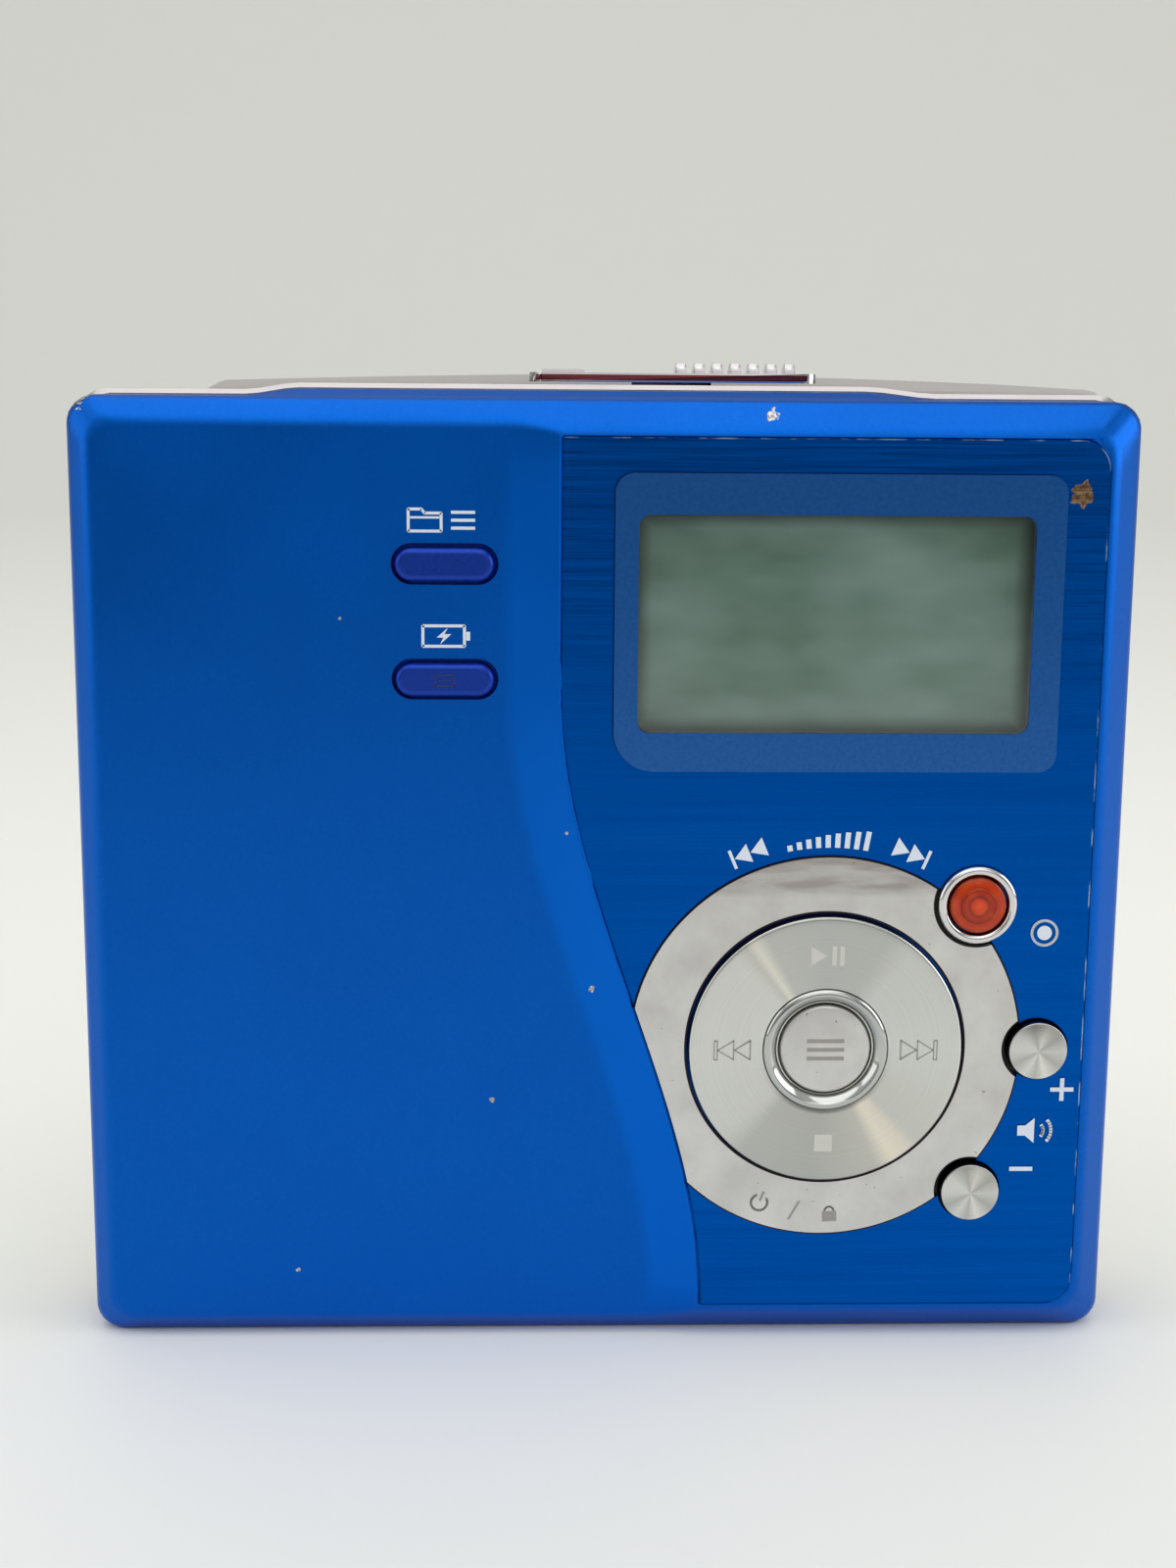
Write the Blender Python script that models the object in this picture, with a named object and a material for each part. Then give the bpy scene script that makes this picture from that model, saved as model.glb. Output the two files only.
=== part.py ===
"""Portable minidisc recorder: a clamshell with a hinged lid, a tilting disc holder and a sled drive.

X runs to the right, Y from the front of the lid to the back cover, Z up. The recorder stands on
its long bottom edge. Depths are measured backwards from the raised right-hand plateau of the lid.
"""

import math

import bmesh
import bpy
from mathutils import Matrix, Vector

# Minidisc cartridge that the recorder is built round
CARTRIDGE_WIDTH = 0.0720
CARTRIDGE_LENGTH = 0.0680
CARTRIDGE_THICKNESS = 0.0050
CARTRIDGE_BOTTOM = 0.0025
CARTRIDGE_PLAY = 0.00015

# Overall body
CASE_SIDE_MARGIN = 0.0035
CASE_TOP_MARGIN = 0.0018
BODY_WIDTH = CARTRIDGE_WIDTH + 2 * CASE_SIDE_MARGIN
HALF_WIDTH = BODY_WIDTH / 2
LID_HEIGHT = CARTRIDGE_BOTTOM + CARTRIDGE_LENGTH + CASE_TOP_MARGIN
WALL = 0.0009
CORNER_RADIUS = 0.0021
KEY_PROUD = 0.0009
FIT = 0.00005
CLEARANCE = 0.00015
OVERRUN = 0.0020

# Facet counts
ROUND_STEPS = 32
SMALL_STEPS = 16
PIN_STEPS = 12
DOME_STEPS = 8
RING_STEPS = 24
DIAL_STEPS = 36
CORNER_STEPS = 4
CURVE_STEPS = 12
FLANK_STEPS = 2

# Lid shell
LID_DEPTH = 0.0065
LID_WALL = 0.0015
RIDGE_INSET = 0.0023
RIDGE_RADIUS = 0.0024
BEVEL_DEPTH = 0.0021
LEFT_DROP = 0.0006
RAMP_WIDTH = 0.0041
BULGE_RISE = 0.0005
BULGE_STRIP = 0.0005
LID_LIP = 0.00095
LID_CAVITY_INSET = 0.0026
LID_CAVITY_SHOULDER = 0.0029

# Shape of the top edge, as shares of the half width
BULGE_SHARES = (-0.684, -0.582, 0.494, 0.633)
SHELL_STEP_SHARES = (-0.785, -0.735)
STATION_SHARES = (0.78, 0.70, 0.34, 0.17, 0.0, -0.17, -0.34, -0.48)

# Dial area
DISC_RADIUS = 0.01045
RING_WIDTH = 0.0044
RING_BORE_RADIUS = DISC_RADIUS + CLEARANCE
RING_RADIUS = RING_BORE_RADIUS + RING_WIDTH
RING_PROUD = 0.00017
DIAL_SIDE_MARGIN = 0.0076
DIAL_BOTTOM_MARGIN = 0.00855
DIAL_X = HALF_WIDTH - DIAL_SIDE_MARGIN - RING_RADIUS
DIAL_Z = DIAL_BOTTOM_MARGIN + RING_RADIUS
DISC_FACE = 0.00070
DISC_RIM_FACE = 0.00045
DISC_DISH = 0.00012
DISC_BOSS_RADIUS = 0.0050
DISC_BOSS_DEPTH = 0.0016
LID_DIAL_BORE = 0.0090
COLLAR_OUTER = 0.00475
COLLAR_INNER = 0.0037
COLLAR_FACE = 0.00085
COLLAR_DISH = 0.00035
COLLAR_SEAT = 0.0003
MENU_RADIUS = 0.00345
MENU_FACE = 0.0006
MENU_DOME = 0.00012
MENU_FLANGE_RADIUS = 0.00395
MENU_FLANGE_FRONT = 0.00105
MENU_LENGTH_BACK = 0.0022
CARRIER_INNER = 0.0046
CARRIER_OUTER = 0.0062
CARRIER_FRONT = 0.00185
CARRIER_THICKNESS = 0.00045
CARRIER_ARM_REACH = 0.0082
CARRIER_ARM_HALF = 0.0008
NAV_PIVOT_DEPTH = 0.0019

# Sigmoid edge between the left plateau and the brushed plate
PANEL_RING_MARGIN = 0.0054
PANEL_WIDTH = DIAL_SIDE_MARGIN + 2 * RING_RADIUS + PANEL_RING_MARGIN
PANEL_EDGE_X = HALF_WIDTH - PANEL_WIDTH
PANEL_EDGE_SHIFT = 0.01104
PANEL_CURVE_RISE = 0.02755
PANEL_CURVE_TOP = DIAL_Z + PANEL_CURVE_RISE
PANEL_CURVE_HEIGHT = 0.0480

# Brushed plate and display
PLATE_RECESS = 0.0005
PLATE_MARGIN = 0.0004
PLATE_EDGE_MARGIN = 0.00015
PLATE_RADIUS = 0.0022
PLATE_PROUD = 0.00012
LENS_LEFT_MARGIN = 0.0040
LENS_RIGHT_MARGIN = 0.0059
LENS_TOP_MARGIN = 0.0053
LENS_RING_GAP = 0.00645
LENS_LEFT = PANEL_EDGE_X + LENS_LEFT_MARGIN
LENS_WIDTH = HALF_WIDTH - LENS_RIGHT_MARGIN - LENS_LEFT
LENS_BOTTOM = DIAL_Z + RING_RADIUS + LENS_RING_GAP
LENS_HEIGHT = LID_HEIGHT - LENS_TOP_MARGIN - LENS_BOTTOM
LENS_RADIUS = 0.0014
LENS_ROUND_CORNER = 0.0030
LENS_PROUD = 0.0004
LENS_BEVEL = 0.0003
SCREEN_MARGIN_LEFT = 0.00175
SCREEN_MARGIN_RIGHT = 0.0022
SCREEN_MARGIN_BOTTOM = 0.0029
SCREEN_MARGIN_TOP = 0.0030
SCREEN_WIDTH = LENS_WIDTH - SCREEN_MARGIN_LEFT - SCREEN_MARGIN_RIGHT
SCREEN_HEIGHT = LENS_HEIGHT - SCREEN_MARGIN_BOTTOM - SCREEN_MARGIN_TOP
SCREEN_RADIUS = 0.0009
PANEL_FRAME = 0.0011
PANEL_THICKNESS = 0.0012

# Round keys, placed on the ring's right edge as shares of its radius
REC_SHARES = (0.7533, 0.7500)
VOLUME_UP_SHARES = (1.0867, -0.0067)
VOLUME_DOWN_SHARES = (0.7667, -0.7633)
REC_X = DIAL_X + REC_SHARES[0] * RING_RADIUS
REC_Z = DIAL_Z + REC_SHARES[1] * RING_RADIUS
REC_RADIUS = 0.00215
REC_FACE = 0.0008
REC_STEP_RADIUS = 0.0014
REC_STEP = 0.00012
BEZEL_RADIUS = 0.0030
BEZEL_INNER_RADIUS = 0.0023
BEZEL_FACE = 0.00055
BEZEL_CHAMFER = 0.0002
VOLUME_RADIUS = 0.00228
VOLUME_UP_X = DIAL_X + VOLUME_UP_SHARES[0] * RING_RADIUS
VOLUME_UP_Z = DIAL_Z + VOLUME_UP_SHARES[1] * RING_RADIUS
VOLUME_DOWN_X = DIAL_X + VOLUME_DOWN_SHARES[0] * RING_RADIUS
VOLUME_DOWN_Z = DIAL_Z + VOLUME_DOWN_SHARES[1] * RING_RADIUS
VOLUME_DOME = 0.0002
NOTCH_GAP = 0.0003
KEY_FLANGE_EXTRA = 0.00065
KEY_FLANGE_THICKNESS = 0.00045

# Pill keys, level with the display
PILL_OFFSET = 0.00845
PILL_SPACING = 0.0085
PILL_X = PANEL_EDGE_X - PILL_OFFSET
PILL_UPPER_Z = LENS_BOTTOM + (LENS_HEIGHT + PILL_SPACING) / 2
PILL_LOWER_Z = PILL_UPPER_Z - PILL_SPACING
PILL_OPENING_WIDTH = 0.00785
PILL_OPENING_HEIGHT = 0.0030
PILL_GAP = 0.00028
PILL_PROUD = 0.00075
PILL_CROWN = 0.00015

# Key board, domes and lid inner plate
DOME_RADIUS = 0.0016
DOME_TOP_RADIUS = 0.0007
DOME_FRONT = 0.00265
DOME_HEIGHT = 0.0002
FILM_FRONT = 0.00278
FILM_BACK = 0.00287
NAV_DOME_ORBIT = 0.0074
KEY_BOARD_FRONT = 0.0029
KEY_BOARD_THICKNESS = 0.0005
KEY_BOARD_LEFT_REACH = 0.00655
KEY_BOARD_RIGHT_MARGIN = 0.0045
KEY_BOARD_TOP_MARGIN = 0.0041
KEY_BOARD_LEFT = PILL_X - KEY_BOARD_LEFT_REACH
KEY_BOARD_RIGHT = HALF_WIDTH - KEY_BOARD_RIGHT_MARGIN
KEY_BOARD_BOTTOM = 0.0060
KEY_BOARD_TOP = LID_HEIGHT - KEY_BOARD_TOP_MARGIN
FILM_LEFT_MARGIN = 0.0015
FILM_RIGHT_MARGIN = 0.0005
FILM_BOTTOM_MARGIN = 0.0030
FILM_TOP_REACH = 0.00275
INNER_PLATE_FRONT = 0.0035
INNER_PLATE_THICKNESS = 0.0004
INNER_PLATE_SIDE_MARGIN = 0.0030
INNER_PLATE_TOP_MARGIN = 0.0017
INNER_PLATE_HALF = HALF_WIDTH - INNER_PLATE_SIDE_MARGIN
INNER_PLATE_BOTTOM = 0.0040
INNER_PLATE_TOP = LID_HEIGHT - INNER_PLATE_TOP_MARGIN
POST_RADIUS = 0.0008
POST_LEFT_MARGIN = 0.0065
POST_RIGHT_MARGIN = 0.0035
POST_TOP_MARGIN = 0.0068
POST_LEFT_X = POST_LEFT_MARGIN - HALF_WIDTH
POST_RIGHT_X = HALF_WIDTH - POST_RIGHT_MARGIN
POST_LOW_Z = 0.0100
POST_HIGH_Z = LID_HEIGHT - POST_TOP_MARGIN
POST_SEAT = 0.00005
SPRING_FINGER_LENGTH = 0.0160
SPRING_FINGER_WIDTH = 0.0040
SPRING_FINGER_SLOT = 0.0008
SPRING_FINGER_MARGIN = 0.0135
SPRING_FINGER_X = HALF_WIDTH - SPRING_FINGER_MARGIN
SPRING_FINGER_Z = 0.0140

# Depths of the disc holder, which the hinge and the drive follow
HOLDER_SHEET = 0.0004
HOLDER_FRONT = 0.0050
HOLDER_LIP_FRONT = HOLDER_FRONT + HOLDER_SHEET + CARTRIDGE_THICKNESS + 2 * CARTRIDGE_PLAY
HOLDER_BACK = HOLDER_LIP_FRONT + HOLDER_SHEET

# Hinge shared by lid, holder and frame
HINGE_LEAD = 0.0011
HINGE_DEPTH = HOLDER_BACK - HINGE_LEAD
HINGE_Z = 0.0030
LID_ARC_RADIUS = HINGE_DEPTH - LID_DEPTH
FRAME_ARC_RADIUS = LID_ARC_RADIUS - CLEARANCE
PARTING_GAP = 0.0002
PIN_RADIUS = 0.0007
PIN_INNER_MARGIN = 0.0038
PIN_OUTER_MARGIN = 0.0005
PIN_INNER_X = HALF_WIDTH - PIN_INNER_MARGIN
PIN_OUTER_X = HALF_WIDTH - PIN_OUTER_MARGIN
LID_EAR_INNER_MARGIN = 0.0027
LID_EAR_OUTER_MARGIN = 0.0014
LID_EAR_ROOT_MARGIN = 0.0006
LID_EAR_INNER = HALF_WIDTH - LID_EAR_INNER_MARGIN
LID_EAR_OUTER = HALF_WIDTH - LID_EAR_OUTER_MARGIN
LID_EAR_ROOT = HALF_WIDTH - LID_EAR_ROOT_MARGIN
EAR_RADIUS = 0.0018
EAR_ROOT_TOP = 0.0085
EAR_ROOT_BOTTOM = 0.0034
EAR_ROOT_DEPTH = 0.0050

# Disc holder in front view
HOLDER_SHORTFALL = 0.0005
HOLDER_TOP = CARTRIDGE_BOTTOM + CARTRIDGE_LENGTH - HOLDER_SHORTFALL
HOLDER_BOTTOM = 0.0021
HOLDER_LIP = 0.0026
HOLDER_FACE_BOTTOM = 0.0052
HOLDER_STOP = 0.00035
HOLDER_STOP_WIDTH = 0.0009
HOLDER_EYE_RADIUS = 0.0017
HOLDER_WINDOW_HALF = 0.0048
HOLDER_WINDOW_REACH = 0.0045
HOLDER_WINDOW_MARGIN = 0.0015
HOLDER_HOLE_RADIUS = 0.0070
HOLDER_HOLE_X = -CARTRIDGE_WIDTH / 4
HOLDER_LOAD_WIDTH = 0.0240
HOLDER_LOAD_DEPTH = 0.0050

# Spindle, centred on the cartridge and set behind the holder
SPINDLE_Z = CARTRIDGE_BOTTOM + CARTRIDGE_LENGTH / 2
TURNTABLE_GAP = 0.0002
TURNTABLE_THICKNESS = 0.0011
TURNTABLE_RADIUS = 0.0084
TURNTABLE_FRONT = HOLDER_BACK + TURNTABLE_GAP
TURNTABLE_BACK = TURNTABLE_FRONT + TURNTABLE_THICKNESS
TURNTABLE_HUB_RADIUS = 0.0052
TURNTABLE_HUB_HEIGHT = 0.0010
TURNTABLE_HUB_FRONT = TURNTABLE_FRONT - TURNTABLE_HUB_HEIGHT
CENTRE_PIN_RADIUS = 0.0019
CENTRE_PIN_HEIGHT = 0.0006
CENTRE_PIN_FRONT = TURNTABLE_HUB_FRONT - CENTRE_PIN_HEIGHT
MOTOR_RADIUS = 0.0090
MOTOR_FRONT = TURNTABLE_BACK + TURNTABLE_GAP
BEARING_RADIUS = 0.0016

# Pickup sled and its rails, placed from the spindle's height
LENS_CELL_X = 0.0155
SLED_GAP = 0.0011
SLED_THICKNESS = 0.0030
SLED_REACH_LEFT = 0.0060
SLED_REACH_RIGHT = 0.0042
RAIL_RISE = 0.0105
RAIL_DROP = 0.0097
SLED_OVER_RAIL = 0.0014
SLED_ABOVE_LOW_RAIL = 0.0015
SLED_REACH_DOWN = RAIL_DROP - SLED_ABOVE_LOW_RAIL
SLED_REACH_UP = RAIL_RISE + SLED_OVER_RAIL
SLED_FRONT = HOLDER_BACK + SLED_GAP
SLED_BACK = SLED_FRONT + SLED_THICKNESS
SLED_BOTTOM = SPINDLE_Z - SLED_REACH_DOWN
SLED_TOP = SPINDLE_Z + SLED_REACH_UP
RAIL_SINK = 0.0020
RAIL_DEPTH = SLED_FRONT + RAIL_SINK
RAIL_RADIUS = 0.00075
RAIL_HIGH_Z = SPINDLE_Z + RAIL_RISE
RAIL_LOW_Z = SPINDLE_Z - RAIL_DROP
RAIL_POST_LEFT = 0.0072
RAIL_POST_MARGIN = 0.0040
RAIL_POST_RIGHT = HALF_WIDTH - RAIL_POST_MARGIN
RAIL_POST_WIDTH = 0.0011
RAIL_POST_HALF = 0.0011
RAIL_POST_REACH = 0.0009
RAIL_RUN_GAP = 0.00006
FORK_HALF = 0.0020
FORK_DROP = 0.0016
OBJECTIVE_RADIUS = 0.0022
OBJECTIVE_LENS_RADIUS = 0.0014
OBJECTIVE_HEIGHT = 0.0010
OBJECTIVE_LENS_STEP = 0.0003
BRACKET_HALF = 0.0035
BRACKET_LIFT = 0.0006
BRACKET_FRONT = SLED_FRONT - BRACKET_LIFT
BRACKET_SHEET = 0.0005
BRACKET_TOP_DROP = 0.0037
BRACKET_TOP = SPINDLE_Z - BRACKET_TOP_DROP
BRACKET_FLOOR = 0.00115
BRACKET_NOSE_GAP = 0.0006
BRACKET_NOSE = HOLDER_FRONT + BRACKET_NOSE_GAP
ARM_AXIS_LIFT = 0.0001
ARM_AXIS_DEPTH = HOLDER_FRONT - ARM_AXIS_LIFT
ARM_AXIS_Z = 0.0020
ARM_BARREL_RADIUS = 0.00055
ARM_PIN_RADIUS = 0.00025
ARM_HALF_ROOT = 0.0030
ARM_HALF_TIP = 0.0016
ARM_GAP = 0.0008
ARM_FRONT = HOLDER_FRONT - ARM_GAP
ARM_SHEET = 0.0004
ARM_TIP_REACH = 0.0025
ARM_TIP_Z = SPINDLE_Z + ARM_TIP_REACH
HEAD_HALF = 0.0014

# Gear train: rack on the sled, compound drive gear, motor pinion
RACK_MODULE = 0.0004
RACK_OVER_SLED = 0.00135
RACK_PITCH_Z = SLED_TOP + RACK_OVER_SLED
RACK_SINK = 0.0001
RACK_FRONT = SLED_FRONT + RACK_SINK
RACK_THICKNESS = 0.0008
RACK_LEFT_TEETH = 14
RACK_RIGHT_TEETH = 1
DRIVE_OFFSET = 0.0015
DRIVE_X = LENS_CELL_X + DRIVE_OFFSET
PINION_TEETH = 12
TRAIN_MODULE = 0.0003
DRIVE_TEETH = 36
MOTOR_TEETH = 10
TRAIN_ANGLE = math.radians(35.0)
PRESSURE_ANGLE = math.radians(20.0)
ADDENDUM_SHARE = 0.7
DEDENDUM_SHARE = 1.15
BACKLASH_SHARE = 0.16
DRIVE_LIFT = 0.0009
DRIVE_FRONT = RACK_FRONT - DRIVE_LIFT
DRIVE_THICKNESS = 0.0005
GEAR_PIN_RADIUS = 0.0005
GEAR_BORE_RADIUS = 0.0006
SLED_MOTOR_RADIUS = 0.0045
SLED_MOTOR_GAP = 0.0002
SLED_MOTOR_FRONT = RACK_FRONT + RACK_THICKNESS + SLED_MOTOR_GAP
MOTOR_SHAFT_RADIUS = 0.0004

# Battery under the sled, with its bay and contacts
BATTERY_SIDE_MARGIN = 0.0025
BATTERY_END_ROOM = 0.0095
BATTERY_SLED_GAP = 0.0046
BATTERY_FRONT_GAP = 0.0016
BATTERY_BACK_GAP = 0.0003
BATTERY_LENGTH = BODY_WIDTH - BATTERY_SIDE_MARGIN - BATTERY_END_ROOM
BATTERY_LEFT = BATTERY_SIDE_MARGIN - HALF_WIDTH
BATTERY_BOTTOM = 0.0036
BATTERY_HEIGHT = RAIL_LOW_Z - FORK_DROP - BATTERY_SLED_GAP - BATTERY_BOTTOM
BATTERY_TOP = BATTERY_BOTTOM + BATTERY_HEIGHT
BATTERY_FRONT = HOLDER_BACK + BATTERY_FRONT_GAP
BATTERY_RADIUS = 0.0012
BAY_RIB = 0.0006
BAY_RIB_GAP = 0.0003
BAY_RIB_Z = BATTERY_TOP + BAY_RIB_GAP
BAY_RIB_LEAD = 0.0001
BAY_RIB_FRONT = BATTERY_FRONT - BAY_RIB_LEAD
CONTACT_GAP = 0.0002
CONTACT_THICKNESS = 0.0003
CONTACT_HALF = 0.0015
CONTACT_END_MARGIN = 0.0036
CONTACT_SPREAD = BATTERY_HEIGHT - 2 * CONTACT_END_MARGIN
CONTACT_BOW = 0.0012

# Chassis plate, dampers and main board, stacked behind the sled
CHASSIS_GAP = 0.0007
CHASSIS_THICKNESS = 0.0006
CHASSIS_FRONT = SLED_BACK + CHASSIS_GAP
CHASSIS_RIGHT_MARGIN = 0.0029
CHASSIS_TOP_MARGIN = 0.0015
CHASSIS_BAY_GAP = 0.0008
CHASSIS_RIGHT = HALF_WIDTH - CHASSIS_RIGHT_MARGIN
CHASSIS_BOTTOM = BAY_RIB_Z + BAY_RIB + CHASSIS_BAY_GAP
CHASSIS_TOP = LID_HEIGHT - CHASSIS_TOP_MARGIN
CHASSIS_RADIUS = 0.0020
DAMPER_RADIUS = 0.0024
DAMPER_BORE = 0.0010
DAMPER_INSET = 0.0030
DAMPER_RIGHT_INSET = 0.0036
DAMPER_TOP_INSET = 0.0031
DAMPER_THICKNESS = 0.0006
DAMPER_BACK = CHASSIS_FRONT + CHASSIS_THICKNESS + FIT + DAMPER_THICKNESS
BOARD_GAP = 0.00035
BOARD_TOP_DROP = 0.0002
BOARD_BACK_GAP = 0.0009
MAIN_BOARD_FRONT = DAMPER_BACK + BOARD_GAP
MAIN_BOARD_THICKNESS = 0.0007
MAIN_BOARD_SIDE_MARGIN = 0.0030
MAIN_BOARD_HALF = HALF_WIDTH - MAIN_BOARD_SIDE_MARGIN

# Back shell, whose depth closes the stack
SHELL_WALL_BACK = 0.0009
BODY_DEPTH = MAIN_BOARD_FRONT + MAIN_BOARD_THICKNESS + BOARD_BACK_GAP + SHELL_WALL_BACK
BATTERY_THICKNESS = BODY_DEPTH - SHELL_WALL_BACK - BATTERY_BACK_GAP - BATTERY_FRONT
FACE_Y = (KEY_PROUD - BODY_DEPTH) / 2
SHELL_OVER_LID = 0.0003
SHELL_FLAT_TOP = LID_HEIGHT + SHELL_OVER_LID
SHELL_RISE = 0.0008
SHELL_CROWN = 0.0007
SHELL_RIGHT_FALL = 0.0005
SHELL_ROUND = 0.0016
CORNER_SHRINK_SHARE = 0.4
LABEL_HALF_WIDTH = 0.0170
LABEL_HALF_HEIGHT = 0.0060
LABEL_DROP = 0.0223
LABEL_Z = LID_HEIGHT - LABEL_DROP
LABEL_DEPTH = 0.0002
LABEL_RADIUS = 0.0010
BOARD_POST_RADIUS = 0.0015

# Middle frame
FRAME_BEHIND_PIN = 0.0015
FRAME_DEPTH = HINGE_DEPTH + FRAME_BEHIND_PIN - LID_DEPTH - PARTING_GAP
FRAME_OVER_LID = 0.00045
FRAME_FLAT_TOP = LID_HEIGHT + FRAME_OVER_LID
FRAME_CHAMFER = 0.00035
FRAME_INNER_RADIUS = 0.0010
LUG_MARGIN = 0.00265
LUG_INNER = HALF_WIDTH - LUG_MARGIN
LUG_HALF_HEIGHT = 0.0014
LUG_LIFT = 0.0031
LUG_DROP = 0.0063
LUG_LOW_Z = BAY_RIB_Z + LUG_LIFT
LUG_HIGH_Z = LID_HEIGHT - LUG_DROP
LUG_FRONT = 0.0069
SEAM = 0.0001

# Open knob, latch bar, spring and the lid's catches
CATCH_MARGIN = 0.0225
CATCH_X = HALF_WIDTH - CATCH_MARGIN
KNOB_LEFT_REACH = 0.02275
KNOB_LEFT = CATCH_X - KNOB_LEFT_REACH
KNOB_LENGTH = 0.02175
KNOB_FRONT_GAP = 0.0010
KNOB_FRONT = LID_DEPTH + KNOB_FRONT_GAP
KNOB_WIDTH = 0.0019
KNOB_OVER_LID = 0.00115
KNOB_BASE = LID_HEIGHT + KNOB_OVER_LID
KNOB_THICKNESS = 0.0007
KNOB_PLATE_TOP = KNOB_BASE + KNOB_THICKNESS
KNOB_TOOTH_HEIGHT = 0.00075
KNOB_TOOTH_COUNT = 7
KNOB_TOOTH_PITCH = 0.00137
KNOB_TOOTH_LENGTH = 0.0010
KNOB_TOOTH_CREST = 0.0007
KNOB_TOOTH_START = 0.01095
KNOB_ARROW_LENGTH = 0.0032
KNOB_ARROW_HEIGHT = 0.00025
LATCH_TRAVEL = 0.0040
STEM_START = 0.00775
STEM_LEFT = KNOB_LEFT + STEM_START
STEM_LENGTH = 0.0060
STEM_WIDTH = 0.0010
CATCH_WIDTH = 0.0012
CATCH_THICKNESS = 0.0005
CATCH_NOSE = 0.0006
CATCH_REACH = 0.0096
CATCH_NOSE_LENGTH = 0.0007
BAR_RIGHT_END = 0.0050
BAR_LEFT_END = 0.0020
BAR_RIGHT = CATCH_X + BAR_RIGHT_END
BAR_FRONT_GAP = 0.0009
BAR_FRONT = LID_DEPTH + BAR_FRONT_GAP
BAR_THICKNESS = 0.0012
BAR_DROP = 0.0017
BAR_HEIGHT = 0.0015
BAR_WINDOW_HEIGHT = 0.0008
BAR_BOTTOM = LID_HEIGHT - BAR_DROP
BAR_TOP = BAR_BOTTOM + BAR_HEIGHT
BAR_WINDOW_TOP = BAR_BOTTOM + BAR_WINDOW_HEIGHT
CATCH_BOTTOM = BAR_BOTTOM + FIT
CATCH_TOP = CATCH_BOTTOM + CATCH_THICKNESS
SPRING_WIRE = 0.00015
SPRING_RADIUS = 0.00045
SPRING_LENGTH = 0.0060
SPRING_TURNS = 6
SPRING_TURN_POINTS = 8
SPRING_ANCHOR = 0.0012

# Battery door on the left side
DOOR_SILL = 0.0005
DOOR_BOTTOM = BATTERY_BOTTOM - DOOR_SILL
DOOR_BARREL = 0.0006
DOOR_AXIS_X = DOOR_BARREL - HALF_WIDTH
DOOR_AXIS_DROP = 0.0001
DOOR_AXIS_Z = BATTERY_TOP - DOOR_AXIS_DROP
DOOR_FRONT_LEAD = 0.0003
DOOR_BACK_LEAD = 0.0001
DOOR_FRONT = BATTERY_FRONT - DOOR_FRONT_LEAD
DOOR_BACK = BATTERY_FRONT + BATTERY_THICKNESS + DOOR_BACK_LEAD
DOOR_GAP = 0.0001
DOOR_NOTCH = 0.0003
DOOR_NOTCH_HALF = 0.0020

# Jacks on the left side, standing on the main board
JACK_BOARD_GAP = 0.0001
JACK_THICKNESS = 0.0051
JACK_AXIS_LIFT = 0.0024
JACK_BACK = MAIN_BOARD_FRONT - JACK_BOARD_GAP
JACK_FRONT = JACK_BACK - JACK_THICKNESS
JACK_DEPTH = JACK_BACK - JACK_AXIS_LIFT
JACK_TOP_MARGIN = 0.0118
JACK_SPACING = 0.0100
DC_SPACING = 0.0120
JACK_REMOTE_Z = LID_HEIGHT - JACK_TOP_MARGIN
JACK_LINE_Z = JACK_REMOTE_Z - JACK_SPACING
JACK_DC_Z = JACK_LINE_Z - DC_SPACING
JACK_HALF = 0.0026
JACK_LENGTH = 0.0130
JACK_INNER_X = JACK_LENGTH - HALF_WIDTH
JACK_NOSE_RADIUS = 0.0025
JACK_NOSE_SINK = 0.00005
JACK_BORE_RADIUS = 0.00178
JACK_BORE_LENGTH = 0.0110
DC_BORE_RADIUS = 0.0020
DC_BORE_LENGTH = 0.0085
DC_PIN_RADIUS = 0.0005
DC_PIN_SINK = 0.0010
JACK_FLARE = 0.0003
CHASSIS_JACK_GAP = 0.0025
CHASSIS_LEFT = JACK_INNER_X + CHASSIS_JACK_GAP

# Hold switch on the right side
HOLD_TOP_MARGIN = 0.0118
HOLD_Z = LID_HEIGHT - HOLD_TOP_MARGIN
HOLD_HALF_LENGTH = 0.0025
HOLD_HALF_WIDTH = 0.0010
HOLD_BOARD_GAP = 0.0022
HOLD_DEPTH = MAIN_BOARD_FRONT - HOLD_BOARD_GAP
HOLD_TRAVEL = 0.0020
HOLD_PROUD = 0.0004
HOLD_FOOT_HALF_LENGTH = 0.0036
HOLD_FOOT_HALF_WIDTH = 0.0018
HOLD_FOOT_THICKNESS = 0.0004
HOLD_FOOT_GAP = 0.0001
HOLD_RIB_COUNT = 3
HOLD_RIB_PITCH = 0.0012
HOLD_RIB_LENGTH = 0.0004

# Case screws
SCREW_MARGIN = 0.00175
SCREW_X = HALF_WIDTH - SCREW_MARGIN
SCREW_HEAD_RADIUS = 0.00085
SCREW_SHANK_RADIUS = 0.0005
SCREW_HEAD_THICKNESS = 0.0006
SCREW_SINK = 0.0001
SCREW_TIP_SINK = 0.0013
SCREW_TIP = LUG_FRONT + SCREW_TIP_SINK
SCREW_DRIVE_RADIUS = 0.0004
SCREW_DRIVE_DEPTH = 0.0003


# Basic helpers


def remove_everything():
    """Empty the scene before modelling."""
    for item in list(bpy.data.objects):
        bpy.data.objects.remove(item, do_unlink=True)


def linear(channel):
    """One sRGB channel from 0 to 1 as linear light."""
    if channel <= 0.04045:
        return channel / 12.92
    return ((channel + 0.055) / 1.055) ** 2.4


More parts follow.
